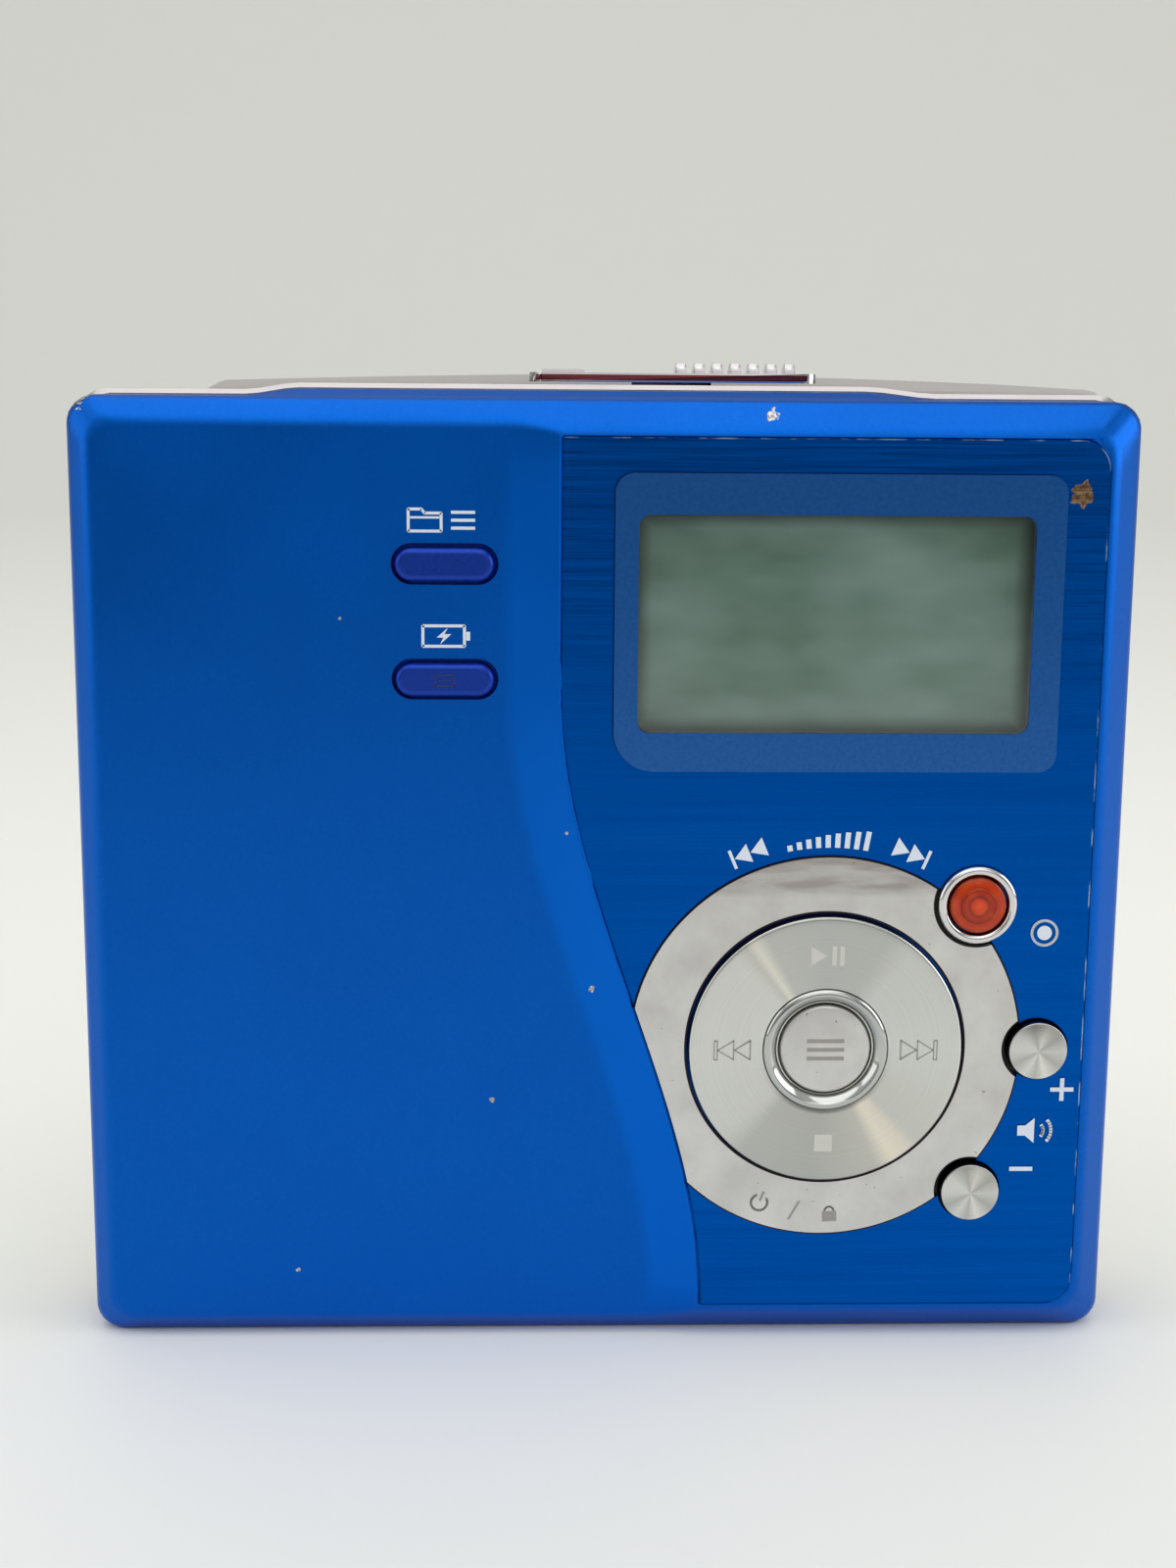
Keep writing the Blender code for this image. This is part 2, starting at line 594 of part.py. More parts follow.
def material(name, colour, roughness, metallic):
    """A Principled material from an sRGB hex colour."""
    made = bpy.data.materials.new(name)
    made.use_nodes = True
    shader = made.node_tree.nodes["Principled BSDF"]
    parts = [linear(int(colour[i : i + 2], 16) / 255) for i in (1, 3, 5)]
    shader.inputs["Base Color"].default_value = (*parts, 1.0)
    shader.inputs["Roughness"].default_value = roughness
    shader.inputs["Metallic"].default_value = metallic
    return made


def at(x, depth, z):
    """World point from x, depth behind the lid's plateau, and height."""
    return Vector((x, FACE_Y + depth, z))


def loft(rings):
    """Skin rings that hold equally many points, and cap the first and the last."""
    made = bmesh.new()
    rows = [[made.verts.new(point) for point in ring] for ring in rings]
    for near, far in zip(rows, rows[1:]):
        for i, corner in enumerate(near):
            j = (i + 1) % len(near)
            made.faces.new((corner, near[j], far[j], far[i]))
    made.faces.new(rows[0])
    made.faces.new(tuple(reversed(rows[-1])))
    bmesh.ops.recalc_face_normals(made, faces=made.faces)
    return made


def wound(sections):
    """Skin closed sections round a full turn, the last joined to the first."""
    made = bmesh.new()
    rows = [[made.verts.new(point) for point in ring] for ring in sections]
    for k, near in enumerate(rows):
        far = rows[(k + 1) % len(rows)]
        for i, corner in enumerate(near):
            j = (i + 1) % len(near)
            made.faces.new((corner, near[j], far[j], far[i]))
    bmesh.ops.recalc_face_normals(made, faces=made.faces)
    return made


def prism(outline, front, back):
    """Extrude an outline of (x, z) points from one depth to another."""
    return loft([[at(x, depth, z) for x, z in outline] for depth in (front, back)])


def side_prism(profile, left, right):
    """Extrude a profile of (depth, z) points along X."""
    return loft([[at(x, depth, z) for depth, z in profile] for x in (left, right)])


def plan_prism(profile, bottom, top):
    """Extrude a profile of (x, depth) points along Z."""
    return loft([[at(x, depth, z) for x, depth in profile] for z in (bottom, top)])


def block(left, right, front, back, bottom, top):
    """A box between two x, two depths and two heights."""
    return prism([(left, bottom), (right, bottom), (right, top), (left, top)], front, back)


def angles(steps):
    """Equal angles round a full turn."""
    return [math.tau * i / steps for i in range(steps)]


def circle(x, z, radius, steps=ROUND_STEPS):
    """A circle as an outline of (x, z) points."""
    return [(x + radius * math.cos(a), z + radius * math.sin(a)) for a in angles(steps)]


def turned(profile, x, z, steps=ROUND_STEPS):
    """Turn an open profile of (radius, depth) points about an axis along Y."""
    return loft([[at(px, depth, pz) for px, pz in circle(x, z, r, steps)] for r, depth in profile])


def turned_ring(profile, x, z, steps=ROUND_STEPS):
    """Turn a closed profile of (radius, depth) points about an axis along Y."""
    rows = []
    for angle in angles(steps):
        along, up = math.cos(angle), math.sin(angle)
        rows.append([at(x + r * along, depth, z + r * up) for r, depth in profile])
    return wound(rows)


def turned_across(profile, depth, z, steps=SMALL_STEPS):
    """Turn an open profile of (radius, x) points about an axis along X."""
    return loft([[at(x, d, h) for d, h in circle(depth, z, r, steps)] for r, x in profile])


def arc(x, z, radius, start, end, steps=CORNER_STEPS):
    """Points of an arc from one angle to another, both ends included."""
    turn = (end - start) / steps
    places = [start + turn * i for i in range(steps + 1)]
    return [(x + radius * math.cos(a), z + radius * math.sin(a)) for a in places]


def rounded(left, right, bottom, top, radii):
    """A rectangle with radii for bottom left, bottom right, top right and top left."""
    low_left, low_right, high_right, high_left = radii
    quarter = math.pi / 2
    return (
        arc(left + low_left, bottom + low_left, low_left, 2 * quarter, 3 * quarter)
        + arc(right - low_right, bottom + low_right, low_right, 3 * quarter, 4 * quarter)
        + arc(right - high_right, top - high_right, high_right, 0, quarter)
        + arc(left + high_left, top - high_left, high_left, quarter, 2 * quarter)
    )


def body(name, mesh, finish, steps_sharp=math.radians(30.0)):
    """An object made of one bmesh, shaded smooth with sharp creases."""
    data = bpy.data.meshes.new(name)
    mesh.to_mesh(data)
    mesh.free()
    made = bpy.data.objects.new(name, data)
    bpy.context.scene.collection.objects.link(made)
    data.materials.append(finish)
    data.shade_smooth()
    data.set_sharp_from_angle(angle=steps_sharp)
    return made


def together(meshes):
    """Several closed meshes that stay clear of each other, as one bmesh."""
    made = bmesh.new()
    for mesh in meshes:
        data = bpy.data.meshes.new("piece")
        mesh.to_mesh(data)
        mesh.free()
        made.from_mesh(data)
        bpy.data.meshes.remove(data)
    return made


def change(target, meshes, operation):
    """Cut from, or join to, an object with a guide made of separate meshes."""
    name = f"{target.name}.guide.{len(target.modifiers)}"
    data = bpy.data.meshes.new(name)
    joined = together(meshes)
    joined.to_mesh(data)
    joined.free()
    guide = bpy.data.objects.new(name, data)
    bpy.context.scene.collection.objects.link(guide)
    guide.hide_render = True
    guide.display_type = "WIRE"
    step = target.modifiers.new(name, "BOOLEAN")
    step.operation = operation
    step.solver = "EXACT"
    step.object = guide


def cut(target, *meshes):
    """Take the meshes away from the object."""
    change(target, meshes, "DIFFERENCE")


def join(target, *meshes):
    """Add the meshes to the object."""
    change(target, meshes, "UNION")


def pivot(target, point):
    """Put the object's origin on its joint, with its shape left in place."""
    target.data.transform(Matrix.Translation(-point))
    target.location = point


def smooth(share):
    """Smoothstep from 0 to 1."""
    held = min(max(share, 0.0), 1.0)
    return held * held * (3.0 - 2.0 * held)


# Outlines shared by several pieces


def bulge(x):
    """How much of the top edge's bulge is present at x, from 0 to 1."""
    rise_start, rise_end, fall_start, fall_end = [HALF_WIDTH * s for s in BULGE_SHARES]
    if x < fall_start:
        return smooth((x - rise_start) / (rise_end - rise_start))
    return 1.0 - smooth((x - fall_start) / (fall_end - fall_start))


def lid_flat_top(_x):
    """Top edge of the lid's bevel."""
    return LID_HEIGHT


def lid_top(x):
    """Top edge of the lid's side wall."""
    return LID_HEIGHT + BULGE_RISE * bulge(x)


def frame_top(x):
    """Top edge of the middle frame."""
    return FRAME_FLAT_TOP + BULGE_RISE * bulge(x)


def shell_top(x):
    """Top edge of the back shell: a step near the left corner, then a long crown."""
    start, end = [HALF_WIDTH * share for share in SHELL_STEP_SHARES]
    step = smooth((x - start) / (end - start))
    along = (x - end) / (HALF_WIDTH - end)
    crown = SHELL_CROWN * math.sin(math.pi * min(max(along, 0.0), 1.0))
    fall = SHELL_RIGHT_FALL * max(along, 0.0) ** 2
    return SHELL_FLAT_TOP + SHELL_RISE * step + crown - fall / 2


def top_stations():
    """Places along the top edge from right to left, closer together where it rises or falls."""
    shares = list(STATION_SHARES)
    edges = BULGE_SHARES + SHELL_STEP_SHARES
    for start, end in zip(edges[::2], edges[1::2]):
        shares += [start + (end - start) * i / CORNER_STEPS for i in range(CORNER_STEPS + 1)]
    return [HALF_WIDTH * share for share in sorted(shares, reverse=True)]


def case_outline(top, inset=0.0, radius=CORNER_RADIUS):
    """The recorder's front outline, drawn in by an inset, for a given top edge."""
    half = HALF_WIDTH - inset
    side = half - radius
    low = inset + radius
    high_right = top(HALF_WIDTH) - inset - radius
    high_left = top(-HALF_WIDTH) - inset - radius
    quarter = math.pi / 2
    points = arc(-side, low, radius, 2 * quarter, 3 * quarter)
    points += arc(side, low, radius, 3 * quarter, 4 * quarter)
    points += arc(side, high_right, radius, 0, quarter)
    points += [(x, top(x) - inset) for x in top_stations()]
    points += arc(-side, high_left, radius, quarter, 2 * quarter)
    return points


def panel_edge(z):
    """Where the left plateau's ramp ends and the brushed plate begins."""
    return PANEL_EDGE_X + PANEL_EDGE_SHIFT * smooth((PANEL_CURVE_TOP - z) / PANEL_CURVE_HEIGHT)


def edge_points(bottom, top, offset):
    """Points up the sigmoid edge, moved right by an offset."""
    rise = top - bottom
    heights = [bottom + rise * i / CURVE_STEPS for i in range(CURVE_STEPS + 1)]
    return [(panel_edge(z) + offset, z) for z in heights]


def plate_outline(clearance):
    """Outline of the brushed plate's recess, drawn in by a clearance."""
    margin = RIDGE_INSET + PLATE_MARGIN + clearance
    right = HALF_WIDTH - margin
    top = LID_HEIGHT - margin
    radius = PLATE_RADIUS
    quarter = math.pi / 2
    rising = edge_points(margin, top, PLATE_EDGE_MARGIN + clearance)
    points = arc(right - radius, margin + radius, radius, 3 * quarter, 4 * quarter)
    points += arc(right - radius, top - radius, radius, 0, quarter)
    return points + rising[::-1]


def left_of_panel(offset):
    """Everything left of the sigmoid edge, moved right by an offset."""
    rising = edge_points(-OVERRUN, LID_HEIGHT + OVERRUN, offset)
    return [(-BODY_WIDTH, LID_HEIGHT + OVERRUN), (-BODY_WIDTH, -OVERRUN)] + rising


def lens_outline(grow):
    """Outline of the display lens, grown outwards."""
    left = LENS_LEFT - grow
    right = LENS_LEFT + LENS_WIDTH + grow
    bottom = LENS_BOTTOM - grow
    top = LENS_BOTTOM + LENS_HEIGHT + grow
    small = LENS_RADIUS + grow
    return rounded(left, right, bottom, top, (LENS_ROUND_CORNER + grow, small, small, small))


def screen_outline(grow):
    """Outline of the visible screen, grown outwards."""
    left = LENS_LEFT + SCREEN_MARGIN_LEFT
    bottom = LENS_BOTTOM + SCREEN_MARGIN_BOTTOM
    radii = (SCREEN_RADIUS + grow,) * 4
    right = left + SCREEN_WIDTH + grow
    return rounded(left - grow, right, bottom - grow, bottom + SCREEN_HEIGHT + grow, radii)


def pill(x, z, width, height):
    """A slot outline with round ends."""
    radius = height / 2
    reach = width / 2 - radius
    half_turn = math.pi
    right = arc(x + reach, z, radius, -half_turn / 2, half_turn / 2, 2 * CORNER_STEPS)
    left = arc(x - reach, z, radius, half_turn / 2, half_turn * 3 / 2, 2 * CORNER_STEPS)
    return right + left


def parting_profile(depth, radius, far):
    """Side profile behind the parting plane, with an arc about the hinge at the bottom."""
    drop = math.asin((HINGE_Z + OVERRUN) / radius) if HINGE_Z + OVERRUN < radius else math.pi / 2
    corner = arc(HINGE_DEPTH, HINGE_Z, radius, math.pi, math.pi + drop, 2 * CORNER_STEPS)
    low = [(corner[-1][0], -OVERRUN), (far, -OVERRUN)]
    top = LID_HEIGHT + BULGE_RISE + OVERRUN
    return [(depth, HINGE_Z)] + corner[1:] + low + [(far, top), (depth, top)]


# Lid


def make_lid_shell():
    """Moulded lid with two plateaus, a ramp between them and a bevelled rim."""
    finish = material("lid_blue_lacquer", "#004AA8", 0.32, 0.55)
    strip = BEVEL_DEPTH + BULGE_STRIP
    back = HINGE_DEPTH
    rings = []
    for depth, top, inset, radius in (
        (0.0, lid_flat_top, RIDGE_INSET, RIDGE_RADIUS),
        (BEVEL_DEPTH, lid_flat_top, 0.0, CORNER_RADIUS),
        (strip, lid_top, 0.0, CORNER_RADIUS),
        (back, lid_top, 0.0, CORNER_RADIUS),
    ):
        rings.append([at(x, depth, z) for x, z in case_outline(top, inset, radius)])
    shell = body("lid_shell", loft(rings), finish)
    cavity = []
    for depth, inset in (
        (LID_WALL, LID_CAVITY_INSET),
        (LID_CAVITY_SHOULDER, LID_LIP),
        (HINGE_DEPTH + OVERRUN, LID_LIP),
    ):
        outline = case_outline(lid_flat_top, inset, RIDGE_RADIUS - LID_LIP)
        cavity.append([at(x, depth, z) for x, z in outline])
    cut(shell, loft(cavity))
    cut(shell, left_plateau())
    behind = parting_profile(LID_DEPTH, LID_ARC_RADIUS, HINGE_DEPTH + OVERRUN)
    cut(shell, side_prism(behind, -BODY_WIDTH, BODY_WIDTH))
    ears = []
    for side in (-1, 1):
        ears.append(lid_ear(side))
    join(shell, *ears)
    posts = []
    for x in (POST_LEFT_X, POST_RIGHT_X):
        for z in (POST_LOW_Z, POST_HIGH_Z):
            root = (POST_RADIUS, LID_WALL - PLATE_RECESS)
            tip = (POST_RADIUS, INNER_PLATE_FRONT - POST_SEAT)
            posts.append(turned([root, tip], x, z, SMALL_STEPS))
    join(shell, *posts)
    cut(shell, prism(plate_outline(0.0), -OVERRUN, PLATE_RECESS))
    through = LID_WALL + PLATE_RECESS
    holes = [
        prism(circle(DIAL_X, DIAL_Z, LID_DIAL_BORE), -OVERRUN, through),
        prism(circle(REC_X, REC_Z, BEZEL_INNER_RADIUS, SMALL_STEPS), -OVERRUN, through),
        prism(screen_outline(PANEL_FRAME / 2), -OVERRUN, through),
    ]
    for x, z in ((VOLUME_UP_X, VOLUME_UP_Z), (VOLUME_DOWN_X, VOLUME_DOWN_Z)):
        hole = circle(x, z, VOLUME_RADIUS + CLEARANCE, SMALL_STEPS)
        holes.append(prism(hole, -OVERRUN, through))
    for z in (PILL_UPPER_Z, PILL_LOWER_Z):
        slot = pill(PILL_X, z, PILL_OPENING_WIDTH, PILL_OPENING_HEIGHT)
        holes.append(prism(slot, -OVERRUN, through))
    cut(shell, *holes)
    pivot(shell, at(0.0, HINGE_DEPTH, HINGE_Z))


def left_plateau():
    """The space in front of the lower left plateau and its ramp, following the sigmoid edge."""
    slope = LEFT_DROP / RAMP_WIDTH
    rise = LID_HEIGHT + 2 * OVERRUN
    rings = []
    for i in range(2 * CURVE_STEPS + 1):
        z = rise * i / (2 * CURVE_STEPS) - OVERRUN
        edge = panel_edge(z)
        ring = [
            (-BODY_WIDTH, -OVERRUN),
            (-BODY_WIDTH, LEFT_DROP),
            (edge - RAMP_WIDTH, LEFT_DROP),
            (edge + OVERRUN / 4, -slope * OVERRUN / 4),
            (edge + OVERRUN / 4, -OVERRUN),
        ]
        rings.append([at(x, depth, z) for x, depth in ring])
    return loft(rings)


def lid_ear(side):
    """A lever from the lid's side wall to the hinge pin, bored for the pin by its ring shape."""
    eye = arc(HINGE_DEPTH, HINGE_Z, EAR_RADIUS, math.pi, math.pi * 5 / 2, 3 * CORNER_STEPS)
    lever = eye + [
        (LID_DEPTH, EAR_ROOT_TOP),
        (EAR_ROOT_DEPTH, EAR_ROOT_TOP),
        (EAR_ROOT_DEPTH, EAR_ROOT_BOTTOM),
        (LID_DEPTH, EAR_ROOT_BOTTOM),
    ]
    plate = side_prism(lever, side * LID_EAR_INNER, side * LID_EAR_OUTER)
    root_back = LID_DEPTH - CLEARANCE
    root_front = EAR_ROOT_DEPTH + CLEARANCE
    root_profile = [
        (root_front, EAR_ROOT_BOTTOM + CLEARANCE),
        (root_back, EAR_ROOT_BOTTOM + CLEARANCE),
        (root_back, EAR_ROOT_TOP - CLEARANCE),
        (root_front, EAR_ROOT_TOP - CLEARANCE),
    ]
    root = side_prism(root_profile, side * (LID_EAR_OUTER - CLEARANCE), side * LID_EAR_ROOT)
    ear = body(f"ear_guide_{side}", plate, material("guide", "#808080", 0.5, 0.0))
    join(ear, root)
    hole = (PIN_RADIUS + 2 * FIT, side * (LID_EAR_INNER - OVERRUN))
    end = (PIN_RADIUS + 2 * FIT, side * (LID_EAR_ROOT + OVERRUN))
    cut(ear, turned_across([hole, end], HINGE_DEPTH, HINGE_Z))
    return settled(ear)


def settled(guide):
    """The evaluated mesh of a helper object, which is then removed."""
    depsgraph = bpy.context.evaluated_depsgraph_get()
    made = bmesh.new()
    made.from_object(guide, depsgraph)
    helpers = [step.object for step in guide.modifiers]
    for item in helpers + [guide]:
        bpy.data.objects.remove(item, do_unlink=True)
    return made


def make_brushed_plate():
    """Hairline-brushed plate that fills the right region, open for lens, dial and keys."""
    finish = material("brushed_blue_plate", "#0048A0", 0.30, 0.90)
    plate = body("brushed_plate", prism(plate_outline(FIT), -PLATE_PROUD, PLATE_RECESS - FIT), finish)
    through = PLATE_RECESS
    cut(plate, prism(circle(DIAL_X, DIAL_Z, RING_RADIUS + CLEARANCE), -OVERRUN, through))
    holes = [prism(lens_outline(FIT), -OVERRUN, through)]
    for x, z, radius in key_holes():
        holes.append(prism(circle(x, z, radius, SMALL_STEPS), -OVERRUN, through))
    cut(plate, *holes)
    pivot(plate, at(0.0, HINGE_DEPTH, HINGE_Z))


def key_holes():
    """Centres and radii of the round openings beside the dial."""
    return (
        (REC_X, REC_Z, BEZEL_RADIUS + FIT),
        (VOLUME_UP_X, VOLUME_UP_Z, VOLUME_RADIUS + CLEARANCE),
        (VOLUME_DOWN_X, VOLUME_DOWN_Z, VOLUME_RADIUS + CLEARANCE),
    )


def make_display_lens():
    """Clear lens with a bevelled edge, standing a little proud of the plate."""
    finish = material("display_lens_clear", "#5A7CA8", 0.08, 0.0)
    rings = []
    for depth, shrink in (
        (-LENS_PROUD, LENS_BEVEL),
        (LENS_BEVEL - LENS_PROUD, 0.0),
        (PLATE_RECESS - FIT, 0.0),
    ):
        rings.append([at(x, depth, z) for x, z in lens_outline(-shrink)])
    pivot(body("display_lens", loft(rings), finish), at(0.0, HINGE_DEPTH, HINGE_Z))


def make_display_panel():
    """Liquid crystal module behind the lid's window."""
    finish = material("display_panel_green", "#69876F", 0.35, 0.0)
    front = LID_WALL + FIT
    panel = prism(screen_outline(PANEL_FRAME), front, front + PANEL_THICKNESS)
    pivot(body("display_panel", panel, finish), at(0.0, HINGE_DEPTH, HINGE_Z))


def make_dial_ring():
    """Satin ring plate round the dial, trimmed by the panel edge and notched for three keys."""
    finish = material("dial_ring_satin", "#C8C6C0", 0.38, 0.85)
    outer = circle(DIAL_X, DIAL_Z, RING_RADIUS)
    ring = body("dial_ring", prism(outer, -RING_PROUD, PLATE_RECESS - FIT), finish)
    through = PLATE_RECESS
    cut(ring, prism(circle(DIAL_X, DIAL_Z, RING_BORE_RADIUS), -OVERRUN, through))
    cut(ring, prism(left_of_panel(PLATE_EDGE_MARGIN + FIT), -OVERRUN, through))
    notches = []
    for x, z, radius in key_holes():
        notches.append(prism(circle(x, z, radius + NOTCH_GAP, SMALL_STEPS), -OVERRUN, through))
    cut(ring, *notches)
    pivot(ring, at(0.0, HINGE_DEPTH, HINGE_Z))


def make_rec_bezel():
    """Chrome ring round the record key."""
    finish = material("rec_bezel_chrome", "#D8D8DA", 0.12, 1.0)
    back = PLATE_RECESS - FIT
    profile = [
        (BEZEL_INNER_RADIUS, back),
        (BEZEL_INNER_RADIUS, BEZEL_CHAMFER - BEZEL_FACE),
        (BEZEL_INNER_RADIUS + BEZEL_CHAMFER, -BEZEL_FACE),
        (BEZEL_RADIUS - BEZEL_CHAMFER, -BEZEL_FACE),
        (BEZEL_RADIUS, BEZEL_CHAMFER - BEZEL_FACE),
        (BEZEL_RADIUS, back),
    ]
    bezel = body("rec_bezel", turned_ring(profile, REC_X, REC_Z, RING_STEPS), finish)
    pivot(bezel, at(0.0, HINGE_DEPTH, HINGE_Z))


def make_key_board():
    """Circuit board behind the keys and the display."""
    finish = material("key_board_green", "#1F5A3A", 0.55, 0.0)
    radii = (POST_RADIUS,) * 4
    outline = rounded(KEY_BOARD_LEFT, KEY_BOARD_RIGHT, KEY_BOARD_BOTTOM, KEY_BOARD_TOP, radii)
    back = KEY_BOARD_FRONT + KEY_BOARD_THICKNESS
    board = body("key_board", prism(outline, KEY_BOARD_FRONT, back), finish)
    pivot(board, at(0.0, HINGE_DEPTH, HINGE_Z))


def make_dome_film():
    """Film on the key board with a snap dome under every key."""
    finish = material("dome_film_steel", "#BFC2C6", 0.25, 1.0)
    radii = (POST_RADIUS,) * 4
    left, right = KEY_BOARD_LEFT + FILM_LEFT_MARGIN, KEY_BOARD_RIGHT - FILM_RIGHT_MARGIN
    bottom, top = KEY_BOARD_BOTTOM + FILM_BOTTOM_MARGIN, PILL_UPPER_Z + FILM_TOP_REACH
    outline = rounded(left, right, bottom, top, radii)
    film = body("dome_film", prism(outline, FILM_FRONT, FILM_BACK), finish)
    places = [
        (REC_X, REC_Z),
        (VOLUME_UP_X, VOLUME_UP_Z),
        (VOLUME_DOWN_X, VOLUME_DOWN_Z),
        (PILL_X, PILL_UPPER_Z),
        (PILL_X, PILL_LOWER_Z),
        (DIAL_X, DIAL_Z),
        (DIAL_X - NAV_DOME_ORBIT, DIAL_Z),
        (DIAL_X + NAV_DOME_ORBIT, DIAL_Z),
        (DIAL_X, DIAL_Z - NAV_DOME_ORBIT),
        (DIAL_X, DIAL_Z + NAV_DOME_ORBIT),
    ]
    back = DOME_FRONT + DOME_HEIGHT
    profile = [(DOME_TOP_RADIUS, DOME_FRONT), (DOME_RADIUS, back)]
    join(film, *[turned(profile, x, z, DOME_STEPS) for x, z in places])
    pivot(film, at(0.0, HINGE_DEPTH, HINGE_Z))


def make_lid_inner_plate():
    """Steel plate that closes the lid, with two spring fingers and two catches."""
    finish = material("inner_plate_steel", "#B4B6B8", 0.35, 1.0)
    half = INNER_PLATE_HALF
    radii = (POST_RADIUS,) * 4
    outline = rounded(-half, half, INNER_PLATE_BOTTOM, INNER_PLATE_TOP, radii)
    back = INNER_PLATE_FRONT + INNER_PLATE_THICKNESS
    plate = body("lid_inner_plate", prism(outline, INNER_PLATE_FRONT, back), finish)
    slots = []
    for side in (-1, 1):
        slots.append(finger_slot(side))
    cut(plate, *slots)
    catches = [catch(-CATCH_X), catch(CATCH_X)]
    join(plate, *catches)
    pivot(plate, at(0.0, HINGE_DEPTH, HINGE_Z))


def finger_slot(side):
    """A U-shaped slot that frees a spring finger from the inner plate."""
    inner = SPRING_FINGER_WIDTH / 2
    outer = inner + SPRING_FINGER_SLOT
    foot = SPRING_FINGER_Z
    head = foot + SPRING_FINGER_LENGTH
    x = side * SPRING_FINGER_X
    outline = [
        (x - outer, foot),
        (x - inner, foot),
        (x - inner, head),
        (x + inner, head),
        (x + inner, foot),
        (x + outer, foot),
        (x + outer, head + SPRING_FINGER_SLOT),
        (x - outer, head + SPRING_FINGER_SLOT),
    ]
    return prism(outline, 0.0, LID_DEPTH)


def catch(x):
    """A hook from the inner plate's top edge, with its nose towards the left."""
    root = INNER_PLATE_FRONT
    outline = [
        (x, root),
        (x + CATCH_WIDTH, root),
        (x + CATCH_WIDTH, CATCH_REACH),
        (x - CATCH_NOSE, CATCH_REACH),
        (x - CATCH_NOSE, CATCH_REACH - CATCH_NOSE_LENGTH),
        (x, CATCH_REACH - CATCH_NOSE_LENGTH),
    ]
    hook = body("catch_guide", plan_prism(outline, CATCH_BOTTOM, CATCH_TOP), None)
    tie_bottom = INNER_PLATE_TOP - CATCH_WIDTH
    back = root + INNER_PLATE_THICKNESS
    join(hook, block(x, x + CATCH_WIDTH, root, back, tie_bottom, CATCH_TOP))
    return settled(hook)


# Dial and keys


def make_nav_carrier():
    """Rocker ring under the dial, with four arms over the domes."""
    finish = material("nav_carrier_resin", "#3A3C40", 0.55, 0.0)
    back = CARRIER_FRONT + CARRIER_THICKNESS
    profile = [
        (CARRIER_INNER, CARRIER_FRONT),
        (CARRIER_OUTER, CARRIER_FRONT),
        (CARRIER_OUTER, back),
        (CARRIER_INNER, back),
    ]
    carrier = body("nav_carrier", turned_ring(profile, DIAL_X, DIAL_Z, RING_STEPS), finish)
    arms = []
    start = (CARRIER_INNER + CARRIER_OUTER) / 2
    end = CARRIER_ARM_REACH
    half = CARRIER_ARM_HALF
    front = CARRIER_FRONT + FIT
    for x, z in ((1, 0), (-1, 0), (0, 1), (0, -1)):
        low_x, high_x = sorted((DIAL_X + x * start, DIAL_X + x * end))
        low_z, high_z = sorted((DIAL_Z + z * start, DIAL_Z + z * end))
        wide, tall = half * abs(z), half * abs(x)
        arms.append(block(low_x - wide, high_x + wide, front, back - FIT, low_z - tall, high_z + tall))
    join(carrier, *arms)
    pivot(carrier, at(DIAL_X, NAV_PIVOT_DEPTH, DIAL_Z))


def make_nav_disc():
    """The metal dial, dished on its face, with a boss that carries the centre key."""
    finish = material("nav_disc_spun_metal", "#BDBBB7", 0.30, 1.0)
    profile = [
        (MENU_RADIUS + CLEARANCE, CLEARANCE),
        (MENU_RADIUS + CLEARANCE, DISC_DISH - DISC_FACE + COLLAR_SEAT),
        (COLLAR_OUTER + FIT, DISC_DISH - DISC_FACE + COLLAR_SEAT),
        (COLLAR_OUTER + FIT, DISC_DISH - DISC_FACE),
        (DISC_RADIUS - 2 * CLEARANCE, -DISC_FACE),
        (DISC_RADIUS, -DISC_RIM_FACE),
        (DISC_RADIUS, 0.0),
        (DISC_BOSS_RADIUS, 0.0),
        (DISC_BOSS_RADIUS, DISC_BOSS_DEPTH),
        (MENU_FLANGE_RADIUS + CLEARANCE, DISC_BOSS_DEPTH),
        (MENU_FLANGE_RADIUS + CLEARANCE, MENU_FLANGE_FRONT - FIT),
        (MENU_RADIUS + CLEARANCE, MENU_FLANGE_FRONT - FIT),
    ]
    disc = body("nav_disc", turned_ring(profile, DIAL_X, DIAL_Z, DIAL_STEPS), finish)
    pivot(disc, at(DIAL_X, NAV_PIVOT_DEPTH, DIAL_Z))


def make_menu_collar():
    """Chrome collar round the centre key, dished towards it."""
    finish = material("menu_collar_chrome", "#DADADC", 0.10, 1.0)
    back = DISC_DISH - DISC_FACE + COLLAR_SEAT - FIT
    profile = [
        (COLLAR_INNER, back),
        (COLLAR_INNER, COLLAR_DISH - COLLAR_FACE),
        (COLLAR_OUTER - CLEARANCE, -COLLAR_FACE),
        (COLLAR_OUTER, CLEARANCE - COLLAR_FACE),
        (COLLAR_OUTER, back),
    ]
    collar = body("menu_collar", turned_ring(profile, DIAL_X, DIAL_Z, ROUND_STEPS), finish)
    pivot(collar, at(DIAL_X, NAV_PIVOT_DEPTH, DIAL_Z))


